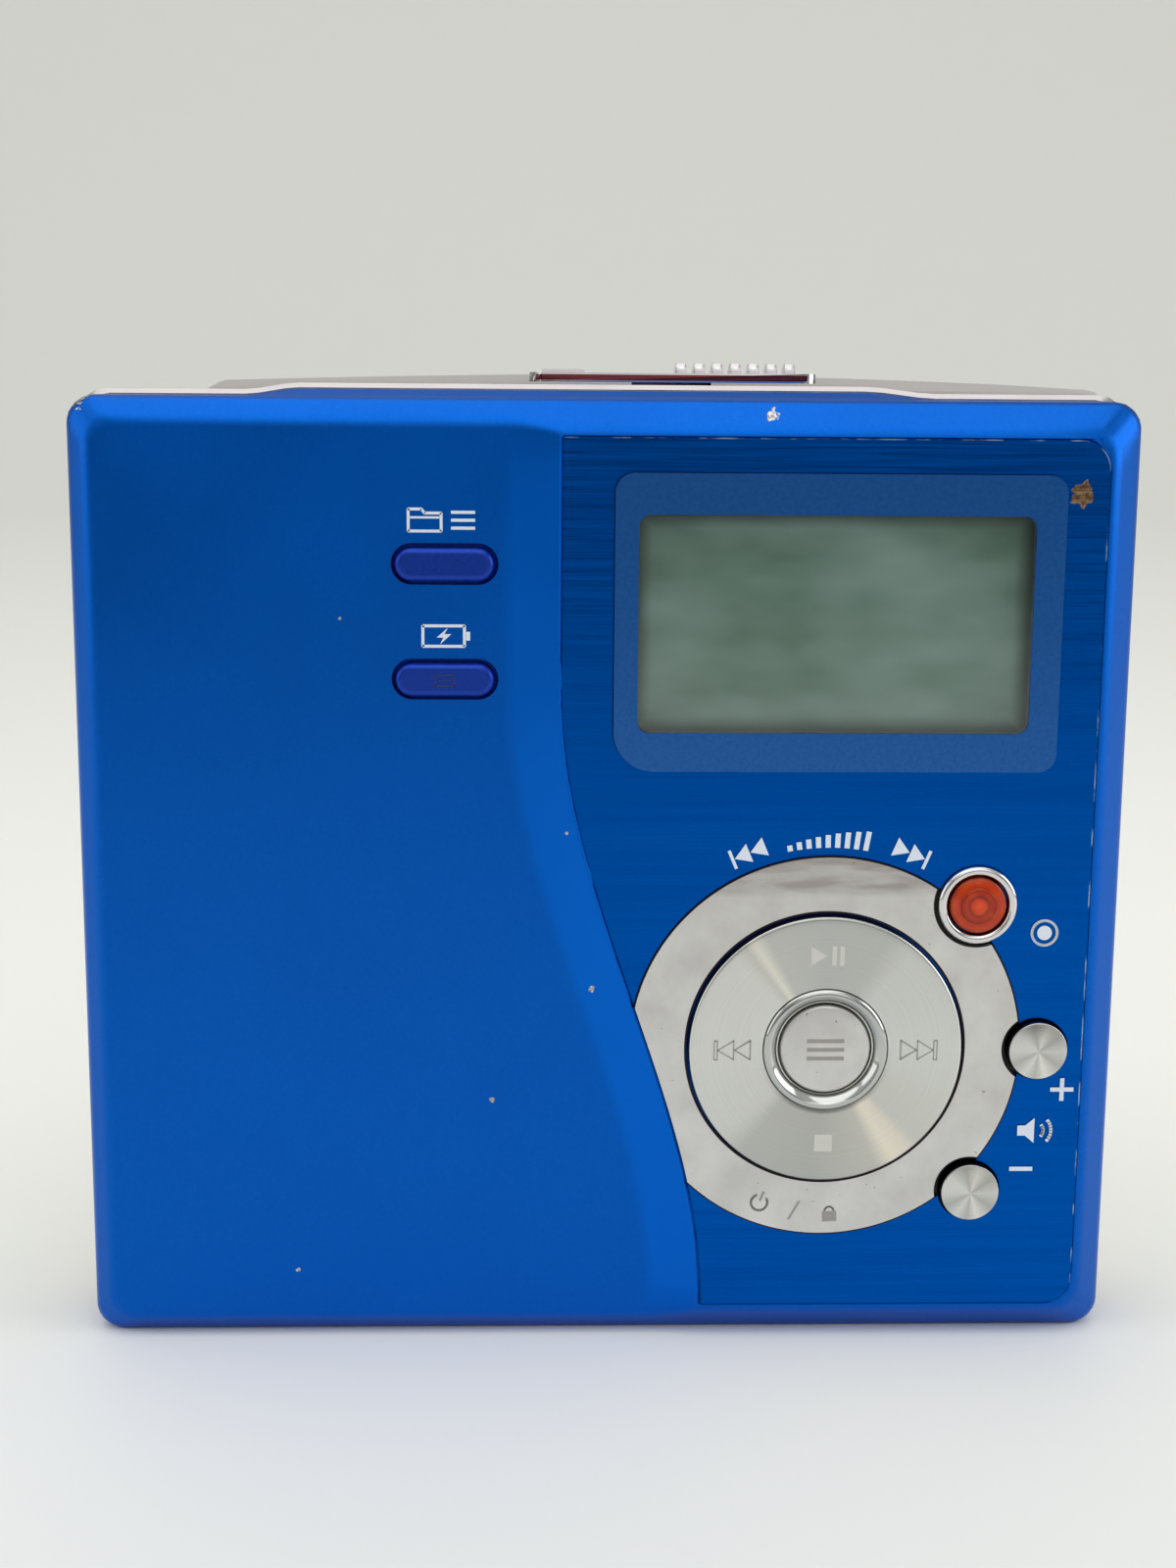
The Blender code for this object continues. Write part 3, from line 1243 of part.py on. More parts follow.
def make_menu_button():
    """Centre key with a domed face and a flange that holds it in the dial."""
    finish = material("menu_button_satin", "#C2C0BE", 0.30, 1.0)
    flange_back = MENU_FLANGE_FRONT + KEY_FLANGE_THICKNESS
    profile = [
        (MENU_RADIUS / 4, -MENU_FACE),
        (MENU_RADIUS / 2, MENU_DOME / 4 - MENU_FACE),
        (MENU_RADIUS - CLEARANCE, MENU_DOME - MENU_FACE),
        (MENU_RADIUS, MENU_DOME + CLEARANCE - MENU_FACE),
        (MENU_RADIUS, MENU_FLANGE_FRONT),
        (MENU_FLANGE_RADIUS, MENU_FLANGE_FRONT),
        (MENU_FLANGE_RADIUS, flange_back),
        (DOME_RADIUS, flange_back),
        (DOME_RADIUS, MENU_LENGTH_BACK),
    ]
    button = body("menu_button", turned(profile, DIAL_X, DIAL_Z, RING_STEPS), finish)
    pivot(button, at(DIAL_X, NAV_PIVOT_DEPTH, DIAL_Z))


def flange_tail(radius):
    """The hidden end of a round key: its shank, and the flange that stops it in the lid."""
    front = LID_WALL + FIT
    wide = radius + KEY_FLANGE_EXTRA
    return [(radius, front), (wide, front), (wide, front + KEY_FLANGE_THICKNESS)]


def make_rec_button():
    """Red record key with a raised centre."""
    finish = material("rec_button_red", "#D2301E", 0.18, 0.0)
    profile = [
        (REC_STEP_RADIUS - CLEARANCE, -REC_FACE),
        (REC_STEP_RADIUS, REC_STEP - REC_FACE),
        (REC_RADIUS - CLEARANCE, REC_STEP - REC_FACE),
        (REC_RADIUS, REC_STEP + CLEARANCE - REC_FACE),
    ] + flange_tail(REC_RADIUS)
    button = body("rec_button", turned(profile, REC_X, REC_Z, RING_STEPS), finish)
    pivot(button, at(REC_X, LID_WALL, REC_Z))


def make_volume_button(name, x, z):
    """Round metal volume key with a slight dome."""
    finish = material(f"{name}_metal", "#B4B2AE", 0.28, 1.0)
    profile = [
        (VOLUME_RADIUS / 4, -KEY_PROUD),
        (VOLUME_RADIUS / 2, VOLUME_DOME / 4 - KEY_PROUD),
        (VOLUME_RADIUS - CLEARANCE, VOLUME_DOME - KEY_PROUD),
        (VOLUME_RADIUS, VOLUME_DOME + CLEARANCE - KEY_PROUD),
    ] + flange_tail(VOLUME_RADIUS)
    button = body(name, turned(profile, x, z, RING_STEPS), finish)
    pivot(button, at(x, LID_WALL, z))


def make_pill_button(name, z):
    """Oblong key on the left plateau, crowned along its face."""
    finish = material(f"{name}_violet", "#2A2A6A", 0.30, 0.4)
    width = PILL_OPENING_WIDTH - 2 * PILL_GAP
    height = PILL_OPENING_HEIGHT - 2 * PILL_GAP
    face = LEFT_DROP - PILL_PROUD
    front = LID_WALL + FIT
    wide = 2 * KEY_FLANGE_EXTRA
    rings = []
    for depth, grow in (
        (face, -4 * CLEARANCE),
        (face + PILL_CROWN, -CLEARANCE),
        (face + PILL_CROWN + CLEARANCE, 0.0),
        (front, 0.0),
        (front, wide),
        (front + KEY_FLANGE_THICKNESS, wide),
    ):
        outline = pill(PILL_X, z, width + grow, height + grow)
        rings.append([at(x, depth, height_z) for x, height_z in outline])
    button = body(name, loft(rings), finish)
    pivot(button, at(PILL_X, LID_WALL, z))


# Base


def make_middle_frame():
    """Chrome frame between lid and back shell, carrying the hinge pins and the open knob."""
    finish = material("middle_frame_chrome", "#C9C6CC", 0.18, 1.0)
    front = LID_DEPTH + PARTING_GAP
    back = front + FRAME_DEPTH
    rings = []
    for depth, inset in ((front, FRAME_CHAMFER), (front + FRAME_CHAMFER, 0.0), (back, 0.0)):
        rings.append([at(x, depth, z) for x, z in case_outline(frame_top, inset)])
    frame = body("middle_frame", loft(rings), finish)
    inner = case_outline(frame_top, WALL, FRAME_INNER_RADIUS)
    cut(frame, prism(inner, 0.0, BODY_DEPTH))
    ahead = arc(HINGE_DEPTH, HINGE_Z, FRAME_ARC_RADIUS, math.pi, math.pi * 3 / 2, 2 * CORNER_STEPS)
    relief = ahead + [(HINGE_DEPTH, -OVERRUN), (0.0, -OVERRUN), (0.0, HINGE_Z)]
    cut(frame, side_prism(relief, -BODY_WIDTH, BODY_WIDTH))
    lugs = []
    for side in (-1, 1):
        for z in (LUG_LOW_Z, LUG_HIGH_Z):
            lugs.append(side_block(side, LUG_INNER, HALF_WIDTH - WALL / 2, LUG_FRONT, back, z))
    anchor = BAR_RIGHT + SPRING_LENGTH + 2 * SPRING_WIRE + 2 * CLEARANCE
    anchor_top = frame_top(HALF_WIDTH) - WALL / 2
    rear = BAR_FRONT + BAR_THICKNESS
    lugs.append(block(anchor, anchor + SPRING_ANCHOR, BAR_FRONT, rear, BAR_BOTTOM, anchor_top))
    join(frame, *lugs)
    holes = []
    for side in (-1, 1):
        start = (PIN_RADIUS + FIT, side * (HALF_WIDTH - WALL - OVERRUN))
        end = (PIN_RADIUS + FIT, side * (PIN_OUTER_X + FIT))
        holes.append(turned_across([start, end], HINGE_DEPTH, HINGE_Z))
        for z in (LUG_LOW_Z, LUG_HIGH_Z):
            bore = SCREW_SHANK_RADIUS + FIT
            profile = [(bore, SCREW_TIP - FIT), (bore, BODY_DEPTH)]
            holes.append(turned(profile, side * SCREW_X, z, PIN_STEPS))
    cut(frame, *holes)
    slot_left = STEM_LEFT - LATCH_TRAVEL - CLEARANCE
    slot_right = STEM_LEFT + STEM_LENGTH + CLEARANCE
    middle = KNOB_FRONT + KNOB_WIDTH / 2
    half = STEM_WIDTH / 2 + CLEARANCE
    high = KNOB_PLATE_TOP + OVERRUN
    cut(frame, block(slot_left, slot_right, middle - half, middle + half, BAR_BOTTOM, high))


def side_block(side, inner, outer, front, back, z):
    """A lug against a side wall, centred on a height."""
    left, right = sorted((side * inner, side * outer))
    return block(left, right, front, back, z - LUG_HALF_HEIGHT, z + LUG_HALF_HEIGHT)


def make_back_shell():
    """Back cover with a rounded rear edge, screw bosses, board posts and the battery bay."""
    finish = material("back_shell_grey", "#A5A3A0", 0.42, 0.35)
    front = LID_DEPTH + PARTING_GAP + FRAME_DEPTH + SEAM
    rings = []
    for depth, inset in rounded_back():
        depth = front if depth is None else depth
        radius = CORNER_RADIUS - inset * CORNER_SHRINK_SHARE
        rings.append([at(x, depth, z) for x, z in case_outline(shell_top, inset, radius)])
    shell = body("back_shell", loft(rings), finish)
    inside = BODY_DEPTH - SHELL_WALL_BACK
    cavity = []
    for depth, inset in (
        (front - OVERRUN, WALL),
        (inside - SHELL_ROUND / 2, WALL),
        (inside, WALL + SHELL_ROUND / 2),
    ):
        outline = case_outline(shell_top, inset, CORNER_RADIUS - inset)
        cavity.append([at(x, depth, z) for x, z in outline])
    cut(shell, loft(cavity))
    sunk = BODY_DEPTH - SHELL_WALL_BACK / 2
    bosses = []
    for side in (-1, 1):
        for z in (LUG_LOW_Z, LUG_HIGH_Z):
            bosses.append(side_block(side, LUG_INNER, HALF_WIDTH - WALL / 2, front, sunk, z))
    join(shell, *bosses)
    battery_right = BATTERY_LEFT + BATTERY_LENGTH
    end_rib = battery_right + 2 * CONTACT_BOW
    rib_left = DOOR_AXIS_X + OVERRUN
    rib_top = BAY_RIB_Z + BAY_RIB
    join(shell, block(rib_left, end_rib, BAY_RIB_FRONT, sunk, BAY_RIB_Z, rib_top))
    bottom = WALL / 2
    join(shell, block(end_rib - BAY_RIB, end_rib, BAY_RIB_FRONT, sunk, bottom, BAY_RIB_Z + BAY_RIB / 2))
    posts = []
    for x, z in damper_places():
        tip = (BOARD_POST_RADIUS, DAMPER_BACK + FIT)
        pin = (DAMPER_BORE - 2 * FIT, CHASSIS_FRONT + FIT)
        profile = [pin, (pin[0], tip[1]), tip, (BOARD_POST_RADIUS, sunk)]
        posts.append(turned(profile, x, z, PIN_STEPS))
    join(shell, *posts)
    holes = []
    for side in (-1, 1):
        for z in (LUG_LOW_Z, LUG_HIGH_Z):
            bore = SCREW_SHANK_RADIUS + CLEARANCE
            seat = BODY_DEPTH - SCREW_SINK - SCREW_HEAD_THICKNESS - FIT
            wide = SCREW_HEAD_RADIUS + CLEARANCE
            profile = [(bore, 0.0), (bore, seat), (wide, seat), (wide, BODY_DEPTH + OVERRUN)]
            holes.append(turned(profile, side * SCREW_X, z, PIN_STEPS))
    for z in (JACK_REMOTE_Z, JACK_LINE_Z, JACK_DC_Z):
        radius = JACK_NOSE_RADIUS + FIT
        ends = [(radius, -BODY_WIDTH), (radius, JACK_INNER_X - OVERRUN)]
        holes.append(turned_across(ends, JACK_DEPTH, z, SMALL_STEPS))
    holes.append(label_recess())
    holes.append(hold_slot())
    holes.append(battery_doorway())
    cut(shell, *holes)


def rounded_back():
    """Depths and insets of the back shell's rings, following a round rear edge."""
    rings = [(None, 0.0)]
    start = BODY_DEPTH - SHELL_ROUND
    for i in range(CORNER_STEPS):
        turn = math.pi / 2 * i / (CORNER_STEPS - 1)
        depth = start + SHELL_ROUND * math.sin(turn)
        rings.append((depth, SHELL_ROUND * (1.0 - math.cos(turn))))
    return rings


def label_recess():
    """A bare shallow recess on the back."""
    half, tall = LABEL_HALF_WIDTH, LABEL_HALF_HEIGHT
    outline = rounded(-half, half, LABEL_Z - tall, LABEL_Z + tall, (LABEL_RADIUS,) * 4)
    return prism(outline, BODY_DEPTH - LABEL_DEPTH, BODY_DEPTH + OVERRUN)


def hold_slot():
    """The hold switch's slot through the right wall, long enough for its travel."""
    bottom = HOLD_Z - HOLD_HALF_LENGTH - HOLD_TRAVEL - CLEARANCE
    top = HOLD_Z + HOLD_HALF_LENGTH + CLEARANCE
    half = HOLD_HALF_WIDTH + CLEARANCE
    left = HALF_WIDTH - WALL - CLEARANCE
    return block(left, BODY_WIDTH, HOLD_DEPTH - half, HOLD_DEPTH + half, bottom, top)


def battery_doorway():
    """The doorway of the battery bay through the left wall."""
    bottom = DOOR_BOTTOM - DOOR_GAP
    top = DOOR_AXIS_Z + DOOR_BARREL + DOOR_GAP
    right = DOOR_AXIS_X + DOOR_BARREL + DOOR_GAP
    return block(-BODY_WIDTH, right, DOOR_FRONT - DOOR_GAP, DOOR_BACK + DOOR_GAP, bottom, top)


def make_hinge_pins():
    """Two steel pins, seated in the frame's side walls."""
    finish = material("hinge_pin_steel", "#8E9094", 0.30, 1.0)
    for name, side in (("hinge_pin_left", -1), ("hinge_pin_right", 1)):
        ends = [(PIN_RADIUS, side * PIN_INNER_X), (PIN_RADIUS, side * PIN_OUTER_X)]
        body(name, turned_across(ends, HINGE_DEPTH, HINGE_Z, PIN_STEPS), finish)


def make_case_screws():
    """Four small screws from the back into the frame's lugs."""
    finish = material("case_screw_black", "#2B2B2E", 0.35, 1.0)
    head = BODY_DEPTH - SCREW_SINK
    seat = head - SCREW_HEAD_THICKNESS
    profile = [
        (SCREW_SHANK_RADIUS, SCREW_TIP),
        (SCREW_SHANK_RADIUS, seat),
        (SCREW_HEAD_RADIUS, seat),
        (SCREW_HEAD_RADIUS, head),
        (SCREW_DRIVE_RADIUS, head),
        (SCREW_DRIVE_RADIUS, head - SCREW_DRIVE_DEPTH),
    ]
    for side, edge in ((-1, "left"), (1, "right")):
        for z, level in ((LUG_LOW_Z, "lower"), (LUG_HIGH_Z, "upper")):
            name = f"case_screw_{level}_{edge}"
            body(name, turned(profile, side * SCREW_X, z, PIN_STEPS), finish)


# Latch


def make_open_knob():
    """Sliding knob on the top edge: a plate with thumb teeth, an arrow and a stem to the bar."""
    finish = material("open_knob_chrome", "#B9B2B6", 0.16, 1.0)
    right = KNOB_LEFT + KNOB_LENGTH
    back = KNOB_FRONT + KNOB_WIDTH
    end = KNOB_WIDTH / 2
    plate = knob_plan(KNOB_LEFT, right, KNOB_FRONT, back, end)
    knob = body("open_knob", plan_prism(plate, KNOB_BASE, KNOB_PLATE_TOP), finish)
    middle = (KNOB_FRONT + back) / 2
    half = STEM_WIDTH / 2
    low = BAR_TOP + FIT
    sunk = KNOB_PLATE_TOP - CLEARANCE
    join(knob, block(STEM_LEFT, STEM_LEFT + STEM_LENGTH, middle - half, middle + half, low, sunk))
    teeth = []
    crest = KNOB_PLATE_TOP + KNOB_TOOTH_HEIGHT
    for i in range(KNOB_TOOTH_COUNT):
        left = KNOB_LEFT + KNOB_TOOTH_START + KNOB_TOOTH_PITCH * i
        middle_x = left + KNOB_TOOTH_LENGTH / 2
        profile = [
            (left, sunk),
            (left + KNOB_TOOTH_LENGTH, sunk),
            (middle_x + KNOB_TOOTH_CREST / 2, crest),
            (middle_x - KNOB_TOOTH_CREST / 2, crest),
        ]
        teeth.append(prism(profile, KNOB_FRONT + CLEARANCE, back - CLEARANCE))
    join(knob, *teeth)
    tip = KNOB_LEFT + end
    arrow = [(tip, middle), (tip + KNOB_ARROW_LENGTH, back - CLEARANCE)]
    arrow.append((tip + KNOB_ARROW_LENGTH, KNOB_FRONT + CLEARANCE))
    join(knob, plan_prism(arrow, sunk, KNOB_PLATE_TOP + KNOB_ARROW_HEIGHT))
    pivot(knob, at(KNOB_LEFT, middle, KNOB_BASE))


def knob_plan(left, right, front, back, radius):
    """Plan outline of a bar with round ends, as (x, depth) points."""
    middle = (front + back) / 2
    half_turn = math.pi
    points = arc(right - radius, middle, radius, -half_turn / 2, half_turn / 2, 2 * CORNER_STEPS)
    points += arc(left + radius, middle, radius, half_turn / 2, half_turn * 3 / 2, 2 * CORNER_STEPS)
    return points


def make_latch_bar():
    """Strip under the knob, with a window for each lid catch."""
    finish = material("latch_bar_steel", "#A8AAAD", 0.32, 1.0)
    back = BAR_FRONT + BAR_THICKNESS
    left = -CATCH_X - BAR_LEFT_END
    strip = block(left, BAR_RIGHT, BAR_FRONT, back, BAR_BOTTOM, BAR_TOP)
    bar = body("latch_bar", strip, finish)
    windows = []
    for x in (-CATCH_X, CATCH_X):
        left = x - CATCH_NOSE - CLEARANCE
        right = x + CATCH_WIDTH + LATCH_TRAVEL + 2 * CLEARANCE
        windows.append(block(left, right, 0.0, BODY_DEPTH, 0.0, BAR_WINDOW_TOP))
    cut(bar, *windows)
    pivot(bar, at(KNOB_LEFT, KNOB_FRONT + KNOB_WIDTH / 2, KNOB_BASE))


def make_latch_spring():
    """Coil that draws the latch bar back to the right."""
    finish = material("latch_spring_wire", "#9A9CA0", 0.30, 1.0)
    start = BAR_RIGHT + SPRING_WIRE + CLEARANCE
    height = BAR_BOTTOM + SPRING_RADIUS + SPRING_WIRE
    depth = BAR_FRONT + BAR_THICKNESS / 2
    curve = bpy.data.curves.new("latch_spring", "CURVE")
    curve.dimensions = "3D"
    curve.bevel_depth = SPRING_WIRE
    curve.bevel_resolution = 1
    curve.use_fill_caps = True
    curve.resolution_u = 1
    curve.render_resolution_u = 0
    spline = curve.splines.new("POLY")
    count = SPRING_TURNS * SPRING_TURN_POINTS
    spline.points.add(count)
    for i in range(count + 1):
        angle = math.tau * i / SPRING_TURN_POINTS
        x = start + SPRING_LENGTH * i / count
        across = depth + SPRING_RADIUS * math.cos(angle)
        point = at(x, across, height + SPRING_RADIUS * math.sin(angle))
        spline.points[i].co = (*point, 1.0)
    spring = bpy.data.objects.new("latch_spring", curve)
    spring.data.materials.append(finish)
    bpy.context.scene.collection.objects.link(spring)


# Disc holder


def make_disc_holder():
    """Sheet holder for the cartridge: face plate, side channels, lips, stops and hinge eyes."""
    finish = material("disc_holder_steel", "#AEB0B2", 0.33, 1.0)
    sheet = HOLDER_SHEET
    inner = CARTRIDGE_WIDTH / 2 + CARTRIDGE_PLAY
    outer = inner + sheet
    front = HOLDER_FRONT
    lip_front, back = HOLDER_LIP_FRONT, HOLDER_BACK
    lip = outer - HOLDER_LIP
    section = [
        (-outer, front),
        (outer, front),
        (outer, back),
        (lip, back),
        (lip, lip_front),
        (inner, lip_front),
        (inner, front + sheet),
        (-inner, front + sheet),
        (-inner, lip_front),
        (-lip, lip_front),
        (-lip, back),
        (-outer, back),
    ]
    holder = body("disc_holder", plan_prism(section, HOLDER_BOTTOM, HOLDER_TOP), finish)
    gap = inner - HOLDER_STOP_WIDTH
    openings = [
        block(-gap, gap, 0.0, front + 2 * sheet, 0.0, HOLDER_FACE_BOTTOM),
        prism(head_window(), 0.0, front + 2 * sheet),
        prism(circle(HOLDER_HOLE_X, SPINDLE_Z, HOLDER_HOLE_RADIUS, RING_STEPS), 0.0, front + 2 * sheet),
        prism(load_notch(), 0.0, front + 2 * sheet),
    ]
    cut(holder, *openings)
    stops = []
    eyes = []
    for side in (-1, 1):
        left, right = sorted((side * gap, side * (inner + sheet / 2)))
        top = CARTRIDGE_BOTTOM - FIT
        stops.append(block(left, right, front + sheet / 2, lip_front + sheet / 2, top - HOLDER_STOP, top))
        eye = [(HOLDER_EYE_RADIUS, side * inner), (HOLDER_EYE_RADIUS, side * outer)]
        eyes.append(turned_across(eye, HINGE_DEPTH, HINGE_Z))
    join(holder, *stops)
    join(holder, *eyes)
    bores = []
    for side in (-1, 1):
        radius = PIN_RADIUS + 2 * FIT
        bore = [(radius, side * (inner - HOLDER_STOP_WIDTH)), (radius, side * (outer + OVERRUN))]
        bores.append(turned_across(bore, HINGE_DEPTH, HINGE_Z))
    cut(holder, *bores)
    pivot(holder, at(0.0, HINGE_DEPTH, HINGE_Z))


def head_window():
    """Window in the holder's face for the magnetic head's path."""
    half = HOLDER_WINDOW_HALF
    radii = (POST_RADIUS,) * 4
    bottom, top = SPINDLE_Z - half, SPINDLE_Z + half
    left = LENS_CELL_X - HOLDER_WINDOW_REACH
    return rounded(left, CARTRIDGE_WIDTH / 2 - HOLDER_WINDOW_MARGIN, bottom, top, radii)


def load_notch():
    """Thumb notch in the holder's top edge, drawn as a shallow trapezoid."""
    half = HOLDER_LOAD_WIDTH / 2
    foot = half - HOLDER_LOAD_DEPTH
    bottom = HOLDER_TOP - HOLDER_LOAD_DEPTH
    top = HOLDER_TOP + OVERRUN
    return [(-foot, bottom), (foot, bottom), (half, top), (-half, top)]


# Drive


def make_spindle_motor():
    """Flat stator under the turntable, seated on the chassis plate."""
    finish = material("spindle_motor_steel", "#86888C", 0.35, 1.0)
    back = CHASSIS_FRONT - FIT
    profile = [
        (BEARING_RADIUS, MOTOR_FRONT),
        (MOTOR_RADIUS - CLEARANCE, MOTOR_FRONT),
        (MOTOR_RADIUS, MOTOR_FRONT + CLEARANCE),
        (MOTOR_RADIUS, back),
    ]
    body("spindle_motor", turned(profile, 0.0, SPINDLE_Z, RING_STEPS), finish)


def make_turntable():
    """Turntable that lifts the disc: rim, magnet hub and centre pin."""
    finish = material("turntable_steel", "#C2C4C8", 0.22, 1.0)
    profile = [
        (CENTRE_PIN_RADIUS - 2 * CLEARANCE, CENTRE_PIN_FRONT),
        (CENTRE_PIN_RADIUS, CENTRE_PIN_FRONT + 2 * CLEARANCE),
        (CENTRE_PIN_RADIUS, TURNTABLE_HUB_FRONT),
        (TURNTABLE_HUB_RADIUS, TURNTABLE_HUB_FRONT),
        (TURNTABLE_HUB_RADIUS + CLEARANCE, TURNTABLE_FRONT),
        (TURNTABLE_RADIUS, TURNTABLE_FRONT),
        (TURNTABLE_RADIUS, TURNTABLE_BACK),
    ]
    table = body("turntable", turned(profile, 0.0, SPINDLE_Z, RING_STEPS), finish)
    pivot(table, at(0.0, TURNTABLE_BACK, SPINDLE_Z))


def damper_places():
    """Centres of the four chassis dampers."""
    places = []
    for x in (CHASSIS_LEFT + DAMPER_INSET, CHASSIS_RIGHT - DAMPER_RIGHT_INSET):
        for z in (CHASSIS_BOTTOM + DAMPER_INSET, CHASSIS_TOP - DAMPER_TOP_INSET):
            places.append((x, z))
    return places


def make_chassis_plate():
    """Pressed plate that carries motor, rails and gears."""
    finish = material("chassis_plate_steel", "#9FA1A4", 0.36, 1.0)
    back = CHASSIS_FRONT + CHASSIS_THICKNESS
    radii = (CHASSIS_RADIUS,) * 4
    outline = rounded(CHASSIS_LEFT, CHASSIS_RIGHT, CHASSIS_BOTTOM, CHASSIS_TOP, radii)
    chassis = body("chassis_plate", prism(outline, CHASSIS_FRONT, back), finish)
    sunk = CHASSIS_FRONT + CHASSIS_THICKNESS / 2
    posts = []
    for x in (RAIL_POST_LEFT, RAIL_POST_RIGHT):
        for z in (RAIL_LOW_Z, RAIL_HIGH_Z):
            half = RAIL_POST_HALF
            right = x + RAIL_POST_WIDTH
            posts.append(block(x, right, RAIL_DEPTH - RAIL_POST_REACH, sunk, z - half, z + half))
    pin_front = DRIVE_FRONT - 2 * FIT
    pin = [(GEAR_PIN_RADIUS, pin_front), (GEAR_PIN_RADIUS, sunk)]
    posts.append(turned(pin, DRIVE_X, drive_z(), PIN_STEPS))
    join(chassis, *posts)
    holes = []
    for z in (RAIL_LOW_Z, RAIL_HIGH_Z):
        bore = RAIL_RADIUS + FIT
        ends = [(bore, RAIL_POST_LEFT - OVERRUN), (bore, RAIL_POST_RIGHT + RAIL_POST_WIDTH / 2)]
        holes.append(turned_across(ends, RAIL_DEPTH, z, PIN_STEPS))
    for x, z in damper_places():
        bore = DAMPER_BORE
        holes.append(turned([(bore, 0.0), (bore, BODY_DEPTH)], x, z, PIN_STEPS))
    cut(chassis, *holes)


def make_dampers():
    """Rubber rings between the chassis plate and the back shell's posts."""
    finish = material("damper_rubber", "#2E3032", 0.80, 0.0)
    front = CHASSIS_FRONT + CHASSIS_THICKNESS + FIT
    back = DAMPER_BACK
    profile = [
        (DAMPER_BORE, front),
        (DAMPER_RADIUS, front),
        (DAMPER_RADIUS, back),
        (DAMPER_BORE, back),
    ]
    for number, (x, z) in enumerate(damper_places(), start=1):
        body(f"chassis_damper_{number}", turned_ring(profile, x, z, PIN_STEPS), finish)


def make_guide_rails():
    """Two ground rods that the sled runs on, in the chassis posts."""
    finish = material("guide_rail_steel", "#D0D2D5", 0.12, 1.0)
    left = RAIL_POST_LEFT + FIT
    right = RAIL_POST_RIGHT + RAIL_POST_WIDTH / 2 - FIT
    for name, z in (("guide_rail_lower", RAIL_LOW_Z), ("guide_rail_upper", RAIL_HIGH_Z)):
        ends = [(RAIL_RADIUS, left), (RAIL_RADIUS, right)]
        body(name, turned_across(ends, RAIL_DEPTH, z, PIN_STEPS), finish)


def rack_pitch():
    """Tooth pitch of the rack."""
    return math.pi * RACK_MODULE


def make_pickup_sled():
    """Sled with a sleeve on the upper rail, a fork on the lower one and the rack."""
    finish = material("pickup_sled_zinc", "#7C7E82", 0.45, 0.9)
    left = LENS_CELL_X - SLED_REACH_LEFT
    right = LENS_CELL_X + SLED_REACH_RIGHT
    outline = rounded(left, right, SLED_BOTTOM, SLED_TOP, (POST_RADIUS,) * 4)
    sled = body("pickup_sled", prism(outline, SLED_FRONT, SLED_BACK), finish)
    fork_bottom = RAIL_LOW_Z - FORK_DROP
    fork_left, fork_right = LENS_CELL_X - FORK_HALF, LENS_CELL_X + FORK_HALF
    inside = SLED_BOTTOM + FORK_DROP
    join(sled, block(fork_left, fork_right, SLED_FRONT, SLED_BACK, fork_bottom, inside))
    rack = prism(rack_outline(), RACK_FRONT, RACK_FRONT + RACK_THICKNESS)
    join(sled, rack)
    bore = RAIL_RADIUS + RAIL_RUN_GAP
    tunnel = [(bore, left - OVERRUN), (bore, right + OVERRUN)]
    cut(sled, turned_across(tunnel, RAIL_DEPTH, RAIL_HIGH_Z, PIN_STEPS))
    slot_front, slot_back = RAIL_DEPTH - bore, RAIL_DEPTH + bore
    slot_top = RAIL_LOW_Z + bore
    slot = block(left - OVERRUN, right + OVERRUN, slot_front, slot_back, 0.0, slot_top)
    cut(sled, slot)
    pivot(sled, at(LENS_CELL_X, RAIL_DEPTH, RAIL_HIGH_Z))


def rack_outline():
    """Rack strip with straight-flanked teeth, whose gap faces the drive pinion at rest."""
    pitch = rack_pitch()
    base = RACK_PITCH_Z - DEDENDUM_SHARE * RACK_MODULE
    crest = RACK_PITCH_Z + ADDENDUM_SHARE * RACK_MODULE
    slope = math.tan(PRESSURE_ANGLE)
    half = pitch / 4 * (1.0 - BACKLASH_SHARE)
    foot_half = half + slope * (RACK_PITCH_Z - base)
    crest_half = half - slope * (crest - RACK_PITCH_Z)
    low = SLED_TOP - RACK_MODULE
    first = DRIVE_X - pitch * (RACK_LEFT_TEETH + 1)
    last = DRIVE_X + pitch * (RACK_RIGHT_TEETH + 1)
    points = [(first, low), (last, low), (last, base)]
    for k in range(RACK_RIGHT_TEETH, -RACK_LEFT_TEETH - 1, -1):
        centre = DRIVE_X + pitch * (k + 0.5)
        points += [
            (centre + foot_half, base),
            (centre + crest_half, crest),
            (centre - crest_half, crest),
            (centre - foot_half, base),
        ]
    return points + [(first, base)]


def drive_z():
    """Height of the drive gear's axis above the rack's pitch line."""
    return RACK_PITCH_Z + RACK_MODULE * PINION_TEETH / 2


def motor_centre():
    """Centre of the sled motor, in mesh with the large drive gear."""
    reach = TRAIN_MODULE * (DRIVE_TEETH + MOTOR_TEETH) / 2
    return DRIVE_X + reach * math.cos(TRAIN_ANGLE), drive_z() + reach * math.sin(TRAIN_ANGLE)


